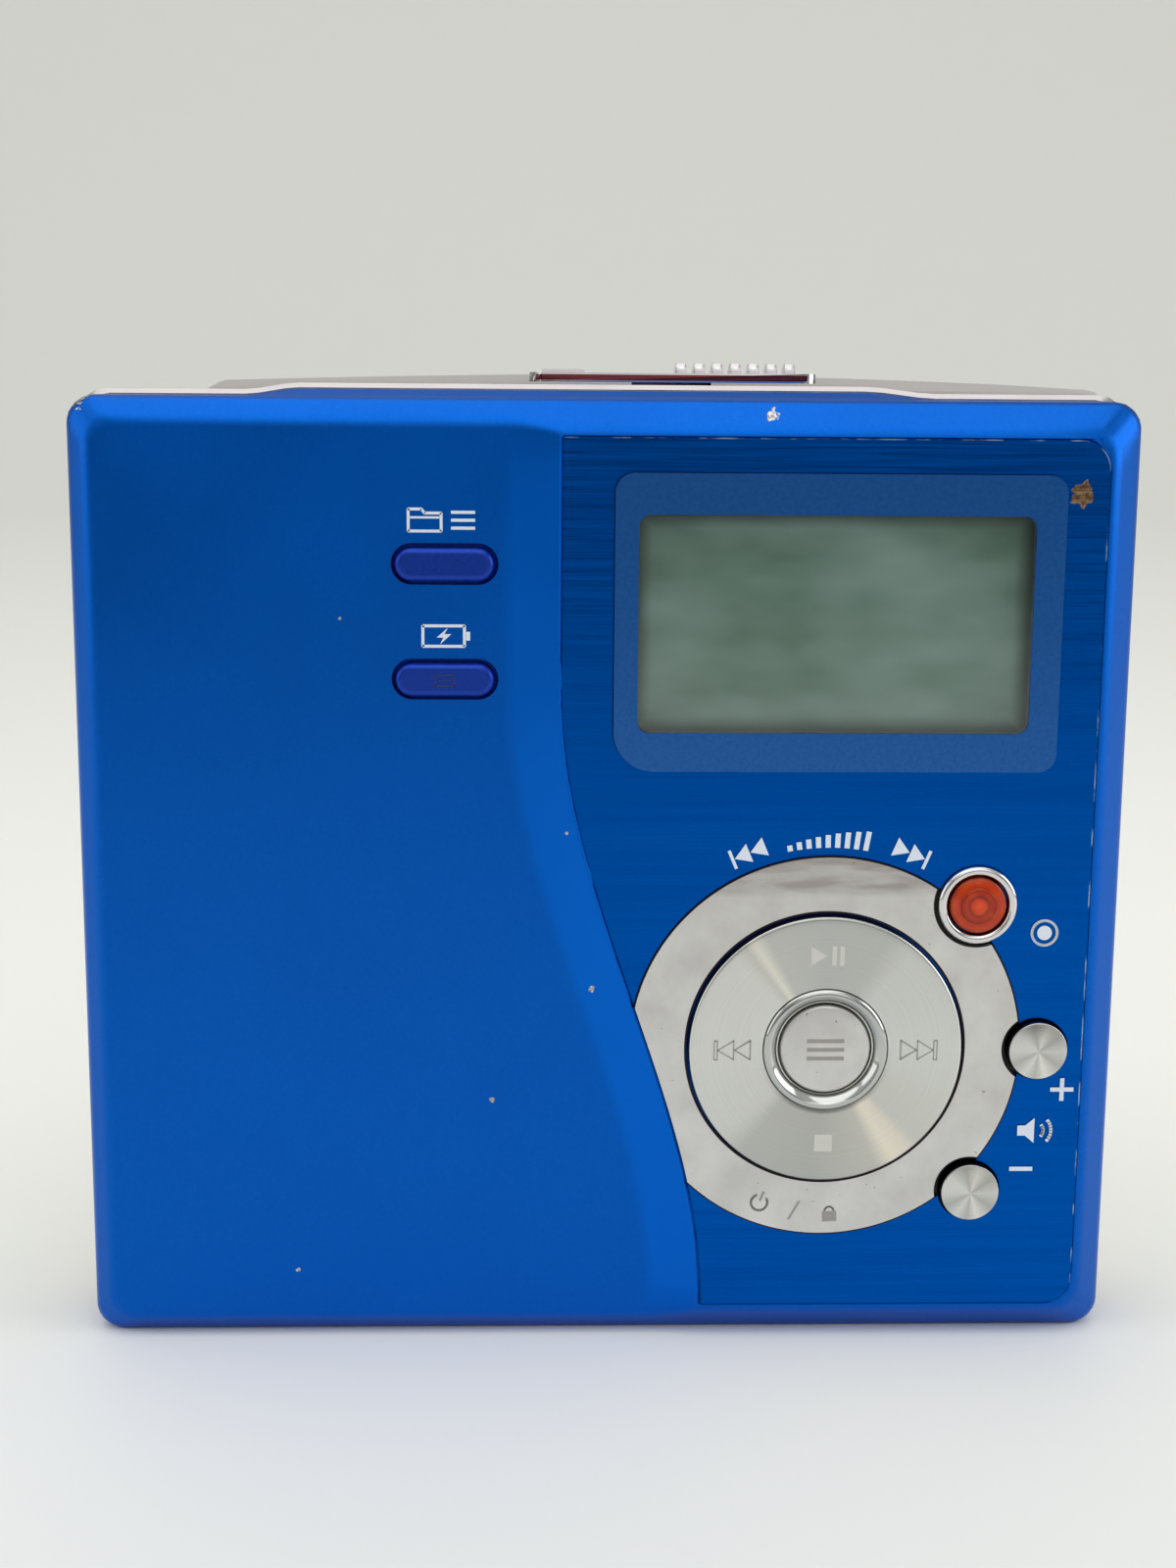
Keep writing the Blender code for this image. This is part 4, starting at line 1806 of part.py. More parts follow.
def gear_outline(x, z, teeth, module, phase, steps=FLANK_STEPS):
    """Involute gear outline with a tooth centred on the phase angle."""
    pitch_radius = module * teeth / 2
    base_radius = pitch_radius * math.cos(PRESSURE_ANGLE)
    tip = pitch_radius + ADDENDUM_SHARE * module
    root = pitch_radius - DEDENDUM_SHARE * module
    start = max(base_radius, root)
    thickness = math.pi * module / 2 * (1.0 - BACKLASH_SHARE)
    lead = math.tan(PRESSURE_ANGLE) - PRESSURE_ANGLE
    flank = []
    for i in range(steps + 1):
        radius = start + (tip - start) * i / steps
        slant = math.acos(min(base_radius / radius, 1.0))
        half = thickness / (2 * pitch_radius) + lead - (math.tan(slant) - slant)
        flank.append((radius, half))
    if root < start:
        flank.insert(0, (root, flank[0][1]))
    points = []
    for k in range(teeth):
        centre = phase + math.tau * k / teeth
        sides = [(r, centre - half) for r, half in flank]
        sides += [(r, centre + half) for r, half in reversed(flank)]
        points += [(x + r * math.cos(a), z + r * math.sin(a)) for r, a in sides]
    return points


def make_drive_gear():
    """Compound gear: the large wheel meets the motor pinion, the small one drives the rack."""
    finish = material("drive_gear_resin", "#E6E2D6", 0.50, 0.0)
    z = drive_z()
    wheel_back = DRIVE_FRONT + DRIVE_THICKNESS
    wheel = gear_outline(DRIVE_X, z, DRIVE_TEETH, TRAIN_MODULE, TRAIN_ANGLE, 1)
    gear = body("drive_gear", prism(wheel, DRIVE_FRONT, wheel_back), finish)
    small = gear_outline(DRIVE_X, z, PINION_TEETH, RACK_MODULE, -math.pi / 2)
    sunk = DRIVE_FRONT + DRIVE_THICKNESS / 2
    join(gear, prism(small, sunk, RACK_FRONT + RACK_THICKNESS + FIT))
    bore = GEAR_BORE_RADIUS
    cut(gear, turned([(bore, 0.0), (bore, BODY_DEPTH)], DRIVE_X, z, PIN_STEPS))
    pivot(gear, at(DRIVE_X, DRIVE_FRONT, z))


def make_sled_motor():
    """Flat motor that moves the sled, seated on the chassis plate."""
    finish = material("sled_motor_steel", "#8C8E92", 0.32, 1.0)
    x, z = motor_centre()
    back = CHASSIS_FRONT - FIT
    profile = [
        (SLED_MOTOR_RADIUS - CLEARANCE, SLED_MOTOR_FRONT),
        (SLED_MOTOR_RADIUS, SLED_MOTOR_FRONT + CLEARANCE),
        (SLED_MOTOR_RADIUS, back),
    ]
    body("sled_motor", turned(profile, x, z, RING_STEPS), finish)


def make_motor_pinion():
    """Pinion on the sled motor's shaft."""
    finish = material("motor_pinion_brass", "#B89A4A", 0.30, 1.0)
    x, z = motor_centre()
    phase = TRAIN_ANGLE + math.pi + math.pi / MOTOR_TEETH
    back = DRIVE_FRONT + DRIVE_THICKNESS
    outline = gear_outline(x, z, MOTOR_TEETH, TRAIN_MODULE, phase)
    pinion = body("motor_pinion", prism(outline, DRIVE_FRONT, back), finish)
    ends = [
        (MOTOR_SHAFT_RADIUS, DRIVE_FRONT + DRIVE_THICKNESS / 2),
        (MOTOR_SHAFT_RADIUS, SLED_MOTOR_FRONT - FIT),
    ]
    join(pinion, turned(ends, x, z, PIN_STEPS))
    pivot(pinion, at(x, DRIVE_FRONT, z))


def make_objective_lens():
    """Lens cell on the sled, with the small lens raised at its centre."""
    finish = material("objective_lens_glass", "#3C4A78", 0.06, 0.0)
    front = SLED_FRONT - OBJECTIVE_HEIGHT
    profile = [
        (OBJECTIVE_LENS_RADIUS / 2, front),
        (OBJECTIVE_LENS_RADIUS, front + OBJECTIVE_LENS_STEP / 2),
        (OBJECTIVE_LENS_RADIUS, front + OBJECTIVE_LENS_STEP),
        (OBJECTIVE_RADIUS, front + OBJECTIVE_LENS_STEP),
        (OBJECTIVE_RADIUS, SLED_FRONT - FIT),
    ]
    lens = body("objective_lens", turned(profile, LENS_CELL_X, SPINDLE_Z, SMALL_STEPS), finish)
    pivot(lens, at(LENS_CELL_X, RAIL_DEPTH, RAIL_HIGH_Z))


def make_head_bracket():
    """Steel bracket from the sled round the cartridge's lower edge to the head arm's pin."""
    finish = material("head_bracket_steel", "#A2A4A7", 0.34, 1.0)
    sheet = BRACKET_SHEET
    back = BRACKET_FRONT + sheet
    floor = BRACKET_FLOOR
    profile = [
        (BRACKET_NOSE, floor),
        (back - sheet, floor),
        (back, floor + sheet),
        (back, BRACKET_TOP),
        (BRACKET_FRONT, BRACKET_TOP),
        (BRACKET_FRONT, floor + sheet),
        (BRACKET_NOSE, floor + sheet),
    ]
    left, right = LENS_CELL_X - BRACKET_HALF, LENS_CELL_X + BRACKET_HALF
    bracket = body("head_bracket", side_prism(profile, left, right), finish)
    cheeks = []
    ear = ARM_SHEET
    for x in (left, right - ear):
        cheek = arc(ARM_AXIS_DEPTH, ARM_AXIS_Z, ARM_BARREL_RADIUS, math.pi / 2, math.pi * 3 / 2)
        foot = floor + sheet / 2
        cheek += [(BRACKET_NOSE + sheet, foot), (BRACKET_NOSE + sheet, ARM_AXIS_Z + ARM_BARREL_RADIUS)]
        cheeks.append(side_prism(cheek, x, x + ear))
    join(bracket, *cheeks)
    bore = ARM_PIN_RADIUS + FIT
    ends = [(bore, left - OVERRUN), (bore, right + OVERRUN)]
    cut(bracket, turned_across(ends, ARM_AXIS_DEPTH, ARM_AXIS_Z, PIN_STEPS))
    pivot(bracket, at(LENS_CELL_X, RAIL_DEPTH, RAIL_HIGH_Z))


def make_head_arm():
    """Tapered sprung arm that carries the magnetic head in front of the disc."""
    finish = material("head_arm_steel", "#BCBEC1", 0.28, 1.0)
    back = ARM_FRONT + ARM_SHEET
    bottom = ARM_AXIS_Z + ARM_BARREL_RADIUS / 2
    root, tip = ARM_HALF_ROOT - ARM_SHEET, ARM_HALF_TIP
    outline = [
        (LENS_CELL_X - root, bottom),
        (LENS_CELL_X + root, bottom),
        (LENS_CELL_X + root, bottom + root),
        (LENS_CELL_X + tip, ARM_TIP_Z),
        (LENS_CELL_X - tip, ARM_TIP_Z),
        (LENS_CELL_X - root, bottom + root),
    ]
    arm = body("head_arm", prism(outline, ARM_FRONT, back), finish)
    length = root - FIT
    barrel = [(ARM_BARREL_RADIUS, LENS_CELL_X - length), (ARM_BARREL_RADIUS, LENS_CELL_X + length)]
    join(arm, turned_across(barrel, ARM_AXIS_DEPTH, ARM_AXIS_Z, PIN_STEPS))
    reach = BRACKET_HALF
    pin = [(ARM_PIN_RADIUS, LENS_CELL_X - reach), (ARM_PIN_RADIUS, LENS_CELL_X + reach)]
    join(arm, turned_across(pin, ARM_AXIS_DEPTH, ARM_AXIS_Z, PIN_STEPS))
    pivot(arm, at(LENS_CELL_X, ARM_AXIS_DEPTH, ARM_AXIS_Z))


def make_magnetic_head():
    """Small head block at the arm's tip, facing the disc through the holder's window."""
    finish = material("magnetic_head_ferrite", "#3B3B3D", 0.50, 0.2)
    half = HEAD_HALF
    front = ARM_FRONT + ARM_SHEET + FIT
    back = HOLDER_FRONT + HOLDER_SHEET
    rings = []
    for depth, shrink in ((front, 0.0), (back - CLEARANCE, 0.0), (back, CLEARANCE)):
        side = half - shrink
        bottom, top = SPINDLE_Z - side, SPINDLE_Z + side
        outline = [
            (LENS_CELL_X - side, bottom),
            (LENS_CELL_X + side, bottom),
            (LENS_CELL_X + side, top),
            (LENS_CELL_X - side, top),
        ]
        rings.append([at(x, depth, z) for x, z in outline])
    pivot(body("magnetic_head", loft(rings), finish), at(LENS_CELL_X, ARM_AXIS_DEPTH, ARM_AXIS_Z))


# Boards, battery and side parts


def make_main_board():
    """Main circuit board behind the chassis plate."""
    finish = material("main_board_green", "#1C5236", 0.55, 0.0)
    half = MAIN_BOARD_HALF
    radii = (CHASSIS_RADIUS / 2,) * 4
    outline = rounded(-half, half, CHASSIS_BOTTOM, CHASSIS_TOP - BOARD_TOP_DROP, radii)
    back = MAIN_BOARD_FRONT + MAIN_BOARD_THICKNESS
    board = body("main_board", prism(outline, MAIN_BOARD_FRONT, back), finish)
    holes = []
    for x, z in damper_places():
        bore = BOARD_POST_RADIUS + FIT
        holes.append(turned([(bore, 0.0), (bore, BODY_DEPTH)], x, z, PIN_STEPS))
    cut(board, *holes)


def make_battery():
    """Flat rechargeable cell with rounded edges and a raised contact."""
    finish = material("battery_jacket", "#4E5A66", 0.40, 0.3)
    left, right = BATTERY_LEFT, BATTERY_LEFT + BATTERY_LENGTH
    bottom, top = BATTERY_BOTTOM, BATTERY_TOP
    front, back = BATTERY_FRONT, BATTERY_FRONT + BATTERY_THICKNESS
    section = rounded(front, back, bottom, top, (BATTERY_RADIUS,) * 4)
    cell = body("battery", side_prism(section, left, right), finish)
    middle = (front + back) / 2
    centre = (bottom + top) / 2
    button = [(BATTERY_RADIUS, right - CONTACT_BOW), (BATTERY_RADIUS, right + CONTACT_GAP)]
    join(cell, turned_across(button, middle, centre, PIN_STEPS))


def make_battery_contacts():
    """Two bowed spring leaves at the inner end of the battery bay."""
    finish = material("battery_contact_gold", "#C9A64E", 0.25, 1.0)
    right = BATTERY_LEFT + BATTERY_LENGTH
    start = right + 2 * CONTACT_GAP
    end = right + 2 * CONTACT_BOW - BAY_RIB - FIT
    middle = BATTERY_FRONT + BATTERY_THICKNESS / 2
    low = (BATTERY_BOTTOM + BATTERY_TOP - CONTACT_SPREAD) / 2
    high = low + CONTACT_SPREAD
    for name, z in (("battery_contact_lower", low), ("battery_contact_upper", high)):
        outline = [
            (end, z - CONTACT_HALF),
            (end, z + CONTACT_HALF),
            (end - CONTACT_THICKNESS, z + CONTACT_HALF),
            (start, z + CONTACT_THICKNESS),
            (start, z - CONTACT_THICKNESS),
            (end - CONTACT_THICKNESS, z - CONTACT_HALF),
        ]
        body(name, prism(outline, middle - CONTACT_HALF, middle + CONTACT_HALF), finish)


def make_battery_door():
    """Door of the battery bay, hanging from a barrel along its top edge."""
    finish = material("battery_door_grey", "#9C9A97", 0.42, 0.3)
    left = -HALF_WIDTH
    right = left + WALL
    barrel = arc(DOOR_AXIS_X, DOOR_AXIS_Z, DOOR_BARREL, 0, math.pi, 2 * CORNER_STEPS)
    lower_right = [(right, DOOR_BOTTOM), (right, DOOR_AXIS_Z - DOOR_BARREL)]
    outline = barrel + [(left, DOOR_BOTTOM)] + lower_right
    door = body("battery_door", prism(outline, DOOR_FRONT, DOOR_BACK), finish)
    middle = (DOOR_FRONT + DOOR_BACK) / 2
    half = DOOR_NOTCH_HALF
    bottom, top = DOOR_BOTTOM + DOOR_NOTCH_HALF / 2, DOOR_BOTTOM + DOOR_NOTCH_HALF
    notch = block(left - OVERRUN, left + DOOR_NOTCH, middle - half, middle + half, bottom, top)
    cut(door, notch)
    pivot(door, at(DOOR_AXIS_X, middle, DOOR_AXIS_Z))


def make_jack(name, z, bore, length, colour):
    """A side socket: square housing, round nose in the shell's hole and a flared bore."""
    finish = material(f"{name}_resin", colour, 0.40, 0.1)
    wall = -HALF_WIDTH + WALL
    left = wall + CLEARANCE
    half = JACK_HALF
    jack = body(name, block(left, JACK_INNER_X, JACK_FRONT, JACK_BACK, z - half, z + half), finish)
    outside = -HALF_WIDTH + JACK_NOSE_SINK
    nose = [(JACK_NOSE_RADIUS, outside), (JACK_NOSE_RADIUS, left + WALL)]
    join(jack, turned_across(nose, JACK_DEPTH, z, SMALL_STEPS))
    flare = bore + JACK_FLARE
    profile = [
        (flare, outside - OVERRUN),
        (flare, outside),
        (bore, outside + JACK_FLARE),
        (bore, outside + length),
    ]
    cut(jack, turned_across(profile, JACK_DEPTH, z, SMALL_STEPS))
    return jack


def make_jacks():
    """Remote socket, line socket and the supply inlet with its centre pin."""
    make_jack("remote_jack", JACK_REMOTE_Z, JACK_BORE_RADIUS, JACK_BORE_LENGTH, "#2A2C30")
    make_jack("line_jack", JACK_LINE_Z, JACK_BORE_RADIUS, JACK_BORE_LENGTH, "#26282C")
    inlet = make_jack("dc_jack", JACK_DC_Z, DC_BORE_RADIUS, DC_BORE_LENGTH, "#D8B23A")
    tip = -HALF_WIDTH + DC_PIN_SINK
    root = -HALF_WIDTH + DC_BORE_LENGTH + CONTACT_BOW
    pin = [(DC_PIN_RADIUS, tip), (DC_PIN_RADIUS, root)]
    join(inlet, turned_across(pin, JACK_DEPTH, JACK_DC_Z, PIN_STEPS))


def make_hold_switch():
    """Hold switch on the right side: ribbed knob and a foot behind the wall."""
    finish = material("hold_switch_grey", "#8E8C8A", 0.40, 0.3)
    wall = HALF_WIDTH - WALL
    foot_right = wall - HOLD_FOOT_GAP
    foot_left = foot_right - HOLD_FOOT_THICKNESS
    bottom, top = HOLD_Z - HOLD_FOOT_HALF_LENGTH, HOLD_Z + HOLD_FOOT_HALF_LENGTH
    front, back = HOLD_DEPTH - HOLD_FOOT_HALF_WIDTH, HOLD_DEPTH + HOLD_FOOT_HALF_WIDTH
    switch = body("hold_switch", block(foot_left, foot_right, front, back, bottom, top), finish)
    half = HOLD_HALF_WIDTH
    outer = HALF_WIDTH + HOLD_PROUD
    low, high = HOLD_Z - HOLD_HALF_LENGTH, HOLD_Z + HOLD_HALF_LENGTH
    sunk = foot_left + HOLD_FOOT_THICKNESS / 2
    join(switch, block(sunk, outer, HOLD_DEPTH - half, HOLD_DEPTH + half, low, high))
    grooves = []
    for i in range(HOLD_RIB_COUNT):
        z = HOLD_Z + HOLD_RIB_PITCH * (i - (HOLD_RIB_COUNT - 1) / 2)
        inner = outer - HOLD_PROUD / 2
        z_low, z_high = z - HOLD_RIB_LENGTH / 2, z + HOLD_RIB_LENGTH / 2
        groove_front, groove_back = HOLD_DEPTH - 2 * half, HOLD_DEPTH + 2 * half
        grooves.append(block(inner, outer + OVERRUN, groove_front, groove_back, z_low, z_high))
    cut(switch, *grooves)
    pivot(switch, at(HALF_WIDTH, HOLD_DEPTH, HOLD_Z))


def build():
    """Model every piece of the recorder."""
    remove_everything()
    make_lid_shell()
    make_brushed_plate()
    make_display_lens()
    make_display_panel()
    make_dial_ring()
    make_rec_bezel()
    make_key_board()
    make_dome_film()
    make_lid_inner_plate()
    make_nav_carrier()
    make_nav_disc()
    make_menu_collar()
    make_menu_button()
    make_rec_button()
    make_volume_button("volume_up_button", VOLUME_UP_X, VOLUME_UP_Z)
    make_volume_button("volume_down_button", VOLUME_DOWN_X, VOLUME_DOWN_Z)
    make_pill_button("group_button", PILL_UPPER_Z)
    make_pill_button("display_button", PILL_LOWER_Z)
    make_middle_frame()
    make_back_shell()
    make_hinge_pins()
    make_case_screws()
    make_open_knob()
    make_latch_bar()
    make_latch_spring()
    make_disc_holder()
    make_spindle_motor()
    make_turntable()
    make_chassis_plate()
    make_dampers()
    make_guide_rails()
    make_pickup_sled()
    make_objective_lens()
    make_head_bracket()
    make_head_arm()
    make_magnetic_head()
    make_drive_gear()
    make_sled_motor()
    make_motor_pinion()
    make_main_board()
    make_battery()
    make_battery_contacts()
    make_battery_door()
    make_jacks()
    make_hold_switch()


build()
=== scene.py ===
"""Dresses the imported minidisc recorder: its visible pieces, finishes, studio and camera."""

import math

import bmesh
import bpy
from mathutils import Matrix, Vector


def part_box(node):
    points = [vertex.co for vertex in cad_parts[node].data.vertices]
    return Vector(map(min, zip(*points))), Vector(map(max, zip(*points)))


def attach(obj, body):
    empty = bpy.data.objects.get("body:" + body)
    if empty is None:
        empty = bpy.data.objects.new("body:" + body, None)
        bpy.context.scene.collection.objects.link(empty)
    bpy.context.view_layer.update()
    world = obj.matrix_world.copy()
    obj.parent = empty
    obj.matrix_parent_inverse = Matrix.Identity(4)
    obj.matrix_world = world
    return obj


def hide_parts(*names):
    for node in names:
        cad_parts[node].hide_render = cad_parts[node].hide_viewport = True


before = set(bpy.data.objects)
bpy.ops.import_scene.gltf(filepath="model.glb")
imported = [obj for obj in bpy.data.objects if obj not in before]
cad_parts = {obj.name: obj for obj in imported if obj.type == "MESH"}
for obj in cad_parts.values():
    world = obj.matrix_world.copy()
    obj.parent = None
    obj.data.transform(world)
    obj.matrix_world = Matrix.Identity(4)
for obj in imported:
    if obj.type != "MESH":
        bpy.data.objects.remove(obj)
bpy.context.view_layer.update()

bl_info = {
    "name": "Minidisc Recorder Dresser",
    "version": (1, 0, 0),
    "blender": (4, 5, 0),
    "location": "View3D > Sidebar > Recorder",
    "description": "Builds the recorder's visible pieces and finishes around its CAD frame",
    "category": "Object",
}

MM = 0.001
QUARTER = math.pi / 2
SMALL_EDGE = 0.02 * MM
FLANGE = 0.45 * MM
PILL_KEYS = (("group_button", "group_key"), ("display_button", "display_key"))
VOLUME_KEYS = (("volume_up_button", "volume_up_key"), ("volume_down_button", "volume_down_key"))


# Settings

def set_length(name, description, default):
    """A setting in metres."""
    return bpy.props.FloatProperty(
        name=name, description=description, unit="LENGTH", default=default)


def set_angle(name, description, degrees):
    """A setting for an angle, given in degrees."""
    return bpy.props.FloatProperty(
        name=name, description=description, subtype="ANGLE", default=math.radians(degrees))


def set_power(name, lamp, default):
    """A setting for the power of a lamp."""
    return bpy.props.FloatProperty(
        name=name, description=f"Power of the {lamp}", unit="POWER", default=default)


def set_colour(name, thing, default):
    """A setting for the sRGB hex value of a thing."""
    return bpy.props.StringProperty(
        name=name, description=f"sRGB hex value of the {thing}", default=default)


class StudioSettings(bpy.types.PropertyGroup):
    """Camera, lamps and backdrop."""

    camera_place: bpy.props.FloatVectorProperty(
        name="Camera place", description="Where the camera stands", subtype="TRANSLATION",
        unit="LENGTH", default=(-0.00627, -0.16935, 0.0735))
    camera_pitch: set_angle("Camera pitch", "How far the camera looks down", 10.46)
    camera_heading: set_angle("Camera heading", "How far it turns towards the right", 1.74)
    camera_roll: set_angle("Camera roll", "Tilt of the horizon", 0.12)
    camera_lens: bpy.props.FloatProperty(
        name="Focal length", description="Focal length on a 36 mm high sensor",
        unit="CAMERA", default=50.11)
    top_light: set_power("Top light", "softbox overhead", 1.45)
    front_light: set_power("Front light", "softbox behind the camera", 0.9)
    left_light: set_power("Left light", "card on the left", 0.3)
    right_light: set_power("Right light", "card on the right", 0.6)
    floor_colour: set_colour("Floor colour", "floor behind the recorder", "#F8F9F4")
    # The near floor is a little darker: painted shade before the recorder.
    near_floor_colour: set_colour("Near floor", "floor before the recorder", "#EFF0ED")
    # Painted shadow: the floor behind the camera is painted dark, as if shaded where the camera
    # stands.
    far_floor_painted_shadow: set_colour("Far floor", "floor behind the camera", "#747576")
    wall_colour: set_colour("Wall colour", "wall", "#D4D5CF")


class LidSettings(bpy.types.PropertyGroup):
    """Finishes and sizes of the lid and its inlaid plate."""

    lacquer: set_colour("Lacquer", "lid's lacquer", "#0059BC")
    # Painted highlight: the ramp's paler colour stands in for the light the ramp catches.
    ramp_painted_highlight: set_colour("Ramp lacquer", "thinner lacquer on the ramp", "#0064D0")
    plate_light: set_colour("Plate light", "plate's lightest hairline", "#0059B8")
    plate_dark: set_colour("Plate dark", "plate's darkest hairline", "#0048A0")
    ridge_softness: set_length(
        "Ridge softness", "Rounding between the plateaus and the bevel", 0.0005)
    rolled_edge: set_length(
        "Rolled edge", "Radius between the bevel and the side walls", 0.0004)
    hairline: set_length(
        "Hairline", "Spacing of the brushed lines, as coarse as they show", 0.00014)
    edge_left: set_length("Panel edge", "Where the plate begins near the top", -0.0035)
    edge_shift: set_length(
        "Panel edge shift", "How far the edge moves right towards the bottom", 0.01104)
    edge_top: set_length("Edge curve top", "Height where the edge starts to curve", 0.0511)
    edge_height: set_length("Edge curve height", "Height that the curve takes", 0.0480)


class DialSettings(bpy.types.PropertyGroup):
    """Sizes of the dial, its ring plate and the round keys."""

    bore_radius: set_length("Ring bore", "Radius of the ring plate's opening", 0.0106)
    collar_radius: set_length("Collar bore", "Inner radius of the chrome collar", 0.0037)
    menu_radius: set_length("Centre key", "Radius of the centre key", 0.00345)
    volume_radius: set_length("Volume key", "Radius of the volume keys", 0.00228)
    jewel_radius: set_length("Record key", "Radius of the red record key", 0.00215)
    bezel_bore: set_length("Bezel bore", "Inner radius of the record key's bezel", 0.0023)


class DisplaySettings(bpy.types.PropertyGroup):
    """Finishes and sizes of the display."""

    border_colour: set_colour("Border", "border under the clear cover", "#1C5AA6")
    # The screen's clouds are painted reflections.
    screen_colour: set_colour("Screen", "idle liquid crystal's darker clouds", "#6A8E76")
    window_left: set_length("Window left", "Cover's left edge to the window", 0.00175)
    window_bottom: set_length("Window bottom", "Cover's lower edge to the window", 0.0029)
    window_width: set_length("Window width", "Width of the window", 0.02915)
    window_height: set_length("Window height", "Height of the window", 0.0161)


class MarkSettings(bpy.types.PropertyGroup):
    """Printed and engraved symbols."""

    ink: set_colour("White ink", "printed symbols", "#DDE6F2")
    engraving: set_colour("Engraving", "etched symbols", "#A5A39D")
    thickness: set_length(
        "Ink thickness", "How far the ink stands out, thick enough to show", 0.00002)


SETTINGS = (
    ("recorder_studio", StudioSettings),
    ("recorder_lid", LidSettings),
    ("recorder_dial", DialSettings),
    ("recorder_display", DisplaySettings),
    ("recorder_marks", MarkSettings),
)


# Mesh helpers

def centre_of(node):
    """The middle of a CAD node's box as (x, z)."""
    low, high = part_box(node)
    return (low.x + high.x) / 2, (low.z + high.z) / 2


def half_width(node):
    """Half the width of a CAD node's box."""
    low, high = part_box(node)
    return (high.x - low.x) / 2


def front_of(node):
    """The y of a CAD node's foremost face."""
    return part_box(node)[0].y


def arc(x, z, radius, start, end, steps):
    """Points along an arc in the front view."""
    turn = (end - start) / steps
    return [
        (x + radius * math.cos(start + turn * i), z + radius * math.sin(start + turn * i))
        for i in range(steps + 1)
    ]


def ring_points(x, z, radius, steps=96):
    """A full circle in the front view."""
    return arc(x, z, radius, 0.0, 2 * math.pi, steps)[:-1]


def rounded(left, right, bottom, top, radii):
    """A rectangle with its own radius at the lower left, lower right, upper right, upper left."""
    points = []
    for i, radius in enumerate(radii):
        x = right - radius if i in (1, 2) else left + radius
        z = top - radius if i > 1 else bottom + radius
        start = (i + 2) % 4 * QUARTER
        points += arc(x, z, radius, start, start + QUARTER, 10)
    return points


def slot_outline(x, z, width, height, steps=14):
    """A slot with round ends."""
    radius = height / 2
    reach = width / 2 - radius
    points = arc(x + reach, z, radius, -QUARTER, QUARTER, steps)
    return points + arc(x - reach, z, radius, QUARTER, 3 * QUARTER, steps)


def skin(rings):
    """A closed bmesh through rings of points, capped at both ends."""
    made = bmesh.new()
    rows = [[made.verts.new(point) for point in ring] for ring in rings]
    for row, after in zip(rows, rows[1:]):
        for i, corner in enumerate(row):
            j = (i + 1) % len(row)
            made.faces.new((corner, row[j], after[j], after[i]))
    made.faces.new(rows[0])
    made.faces.new(rows[-1])
    bmesh.ops.recalc_face_normals(made, faces=made.faces)
    return made


def prism(outline, front, back):
    """An outline of the front view drawn from y front to y back."""
    return skin([[(x, y, z) for x, z in outline] for y in (front, back)])


def turned(profile, x, z):
    """A solid turned about an axis along Y. The profile is (radius, y) from front to back."""
    return skin([[(px, y, pz) for px, pz in ring_points(x, z, radius)]
                 for radius, y in profile])


def turned_ring(profile, x, z, steps=96):
    """A ring turned about an axis along Y from a closed (radius, y) profile."""
    made = bmesh.new()
    columns = []
    for i in range(steps):
        angle = 2 * math.pi * i / steps
        columns.append([
            made.verts.new((x + r * math.cos(angle), y, z + r * math.sin(angle)))
            for r, y in profile
        ])
    for i, column in enumerate(columns):
        beside = columns[(i + 1) % steps]
        for j in range(len(profile)):
            k = (j + 1) % len(profile)
            made.faces.new((column[j], column[k], beside[k], beside[j]))
    bmesh.ops.recalc_face_normals(made, faces=made.faces)
    return made


def rolled(radius, y, width, depth, steps=6):
    """Profile points round an outer edge, from a face at y outwards and back."""
    turns = [QUARTER * i / steps for i in range(1, steps + 1)]
    return [(radius - width + width * math.sin(turn), y + depth * (1 - math.cos(turn)))
            for turn in turns]


def domed(reach, y, fall, steps):
    """Profile points from the middle of a key's face outwards, falling back towards its edge."""
    shares = [i / steps for i in range(steps + 1)]
    return [(0.02 * MM + reach * share, y + fall * share * share) for share in shares]


def as_object(name, made, finish):
    """Turns a bmesh into an object with one material."""
    mesh = bpy.data.meshes.new(name)
    made.to_mesh(mesh)
    made.free()
    mesh.materials.append(finish)
    piece = bpy.data.objects.new(name, mesh)
    bpy.context.scene.collection.objects.link(piece)
    return piece


def settle(piece):
    """Applies a piece's modifiers to its mesh."""
    depsgraph = bpy.context.evaluated_depsgraph_get()
    mesh = bpy.data.meshes.new_from_object(piece.evaluated_get(depsgraph))
    piece.modifiers.clear()
    piece.data = mesh
    return piece


def carve(piece, *cutters, operation="DIFFERENCE"):
    """Cuts solids out of a piece, or keeps what they share."""
    guides = []
    for i, cutter in enumerate(cutters):
        guide = as_object(f"guide_{i}", cutter, piece.data.materials[0])
        step = piece.modifiers.new("Opening", "BOOLEAN")
        step.operation = operation
        step.solver = "MANIFOLD"
        step.object = guide
        guides.append(guide)
    bpy.context.view_layer.update()
    settle(piece)
    for guide in guides:
        bpy.data.objects.remove(guide, do_unlink=True)
    return piece


def soften(piece, width, segments=2):
    """Rounds the sharp edges and shades the rest smoothly."""
    piece.data.shade_smooth()
    edge = piece.modifiers.new("Rounded edges", "BEVEL")
    edge.width = width
    edge.segments = segments
    edge.limit_method = "ANGLE"
    edge.angle_limit = math.radians(28.0)
    normals = piece.modifiers.new("Flat faces", "WEIGHTED_NORMAL")
    normals.weight = 100
    return piece


def joined_copy(node, name, finish):
    """A copy of a CAD node's mesh with its loose triangles joined."""
    made = bmesh.new()
    made.from_mesh(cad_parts[node].data)
    bmesh.ops.remove_doubles(made, verts=made.verts, dist=0.001 * MM)
    return as_object(name, made, finish)


def crisp(piece):
    """Shades a piece smoothly except across its sharp edges, with flat faces kept flat."""
    piece.data.shade_smooth()
    piece.data.set_sharp_from_angle(angle=math.radians(30.0))
    normals = piece.modifiers.new("Flat faces", "WEIGHTED_NORMAL")
    normals.keep_sharp = True
    return piece


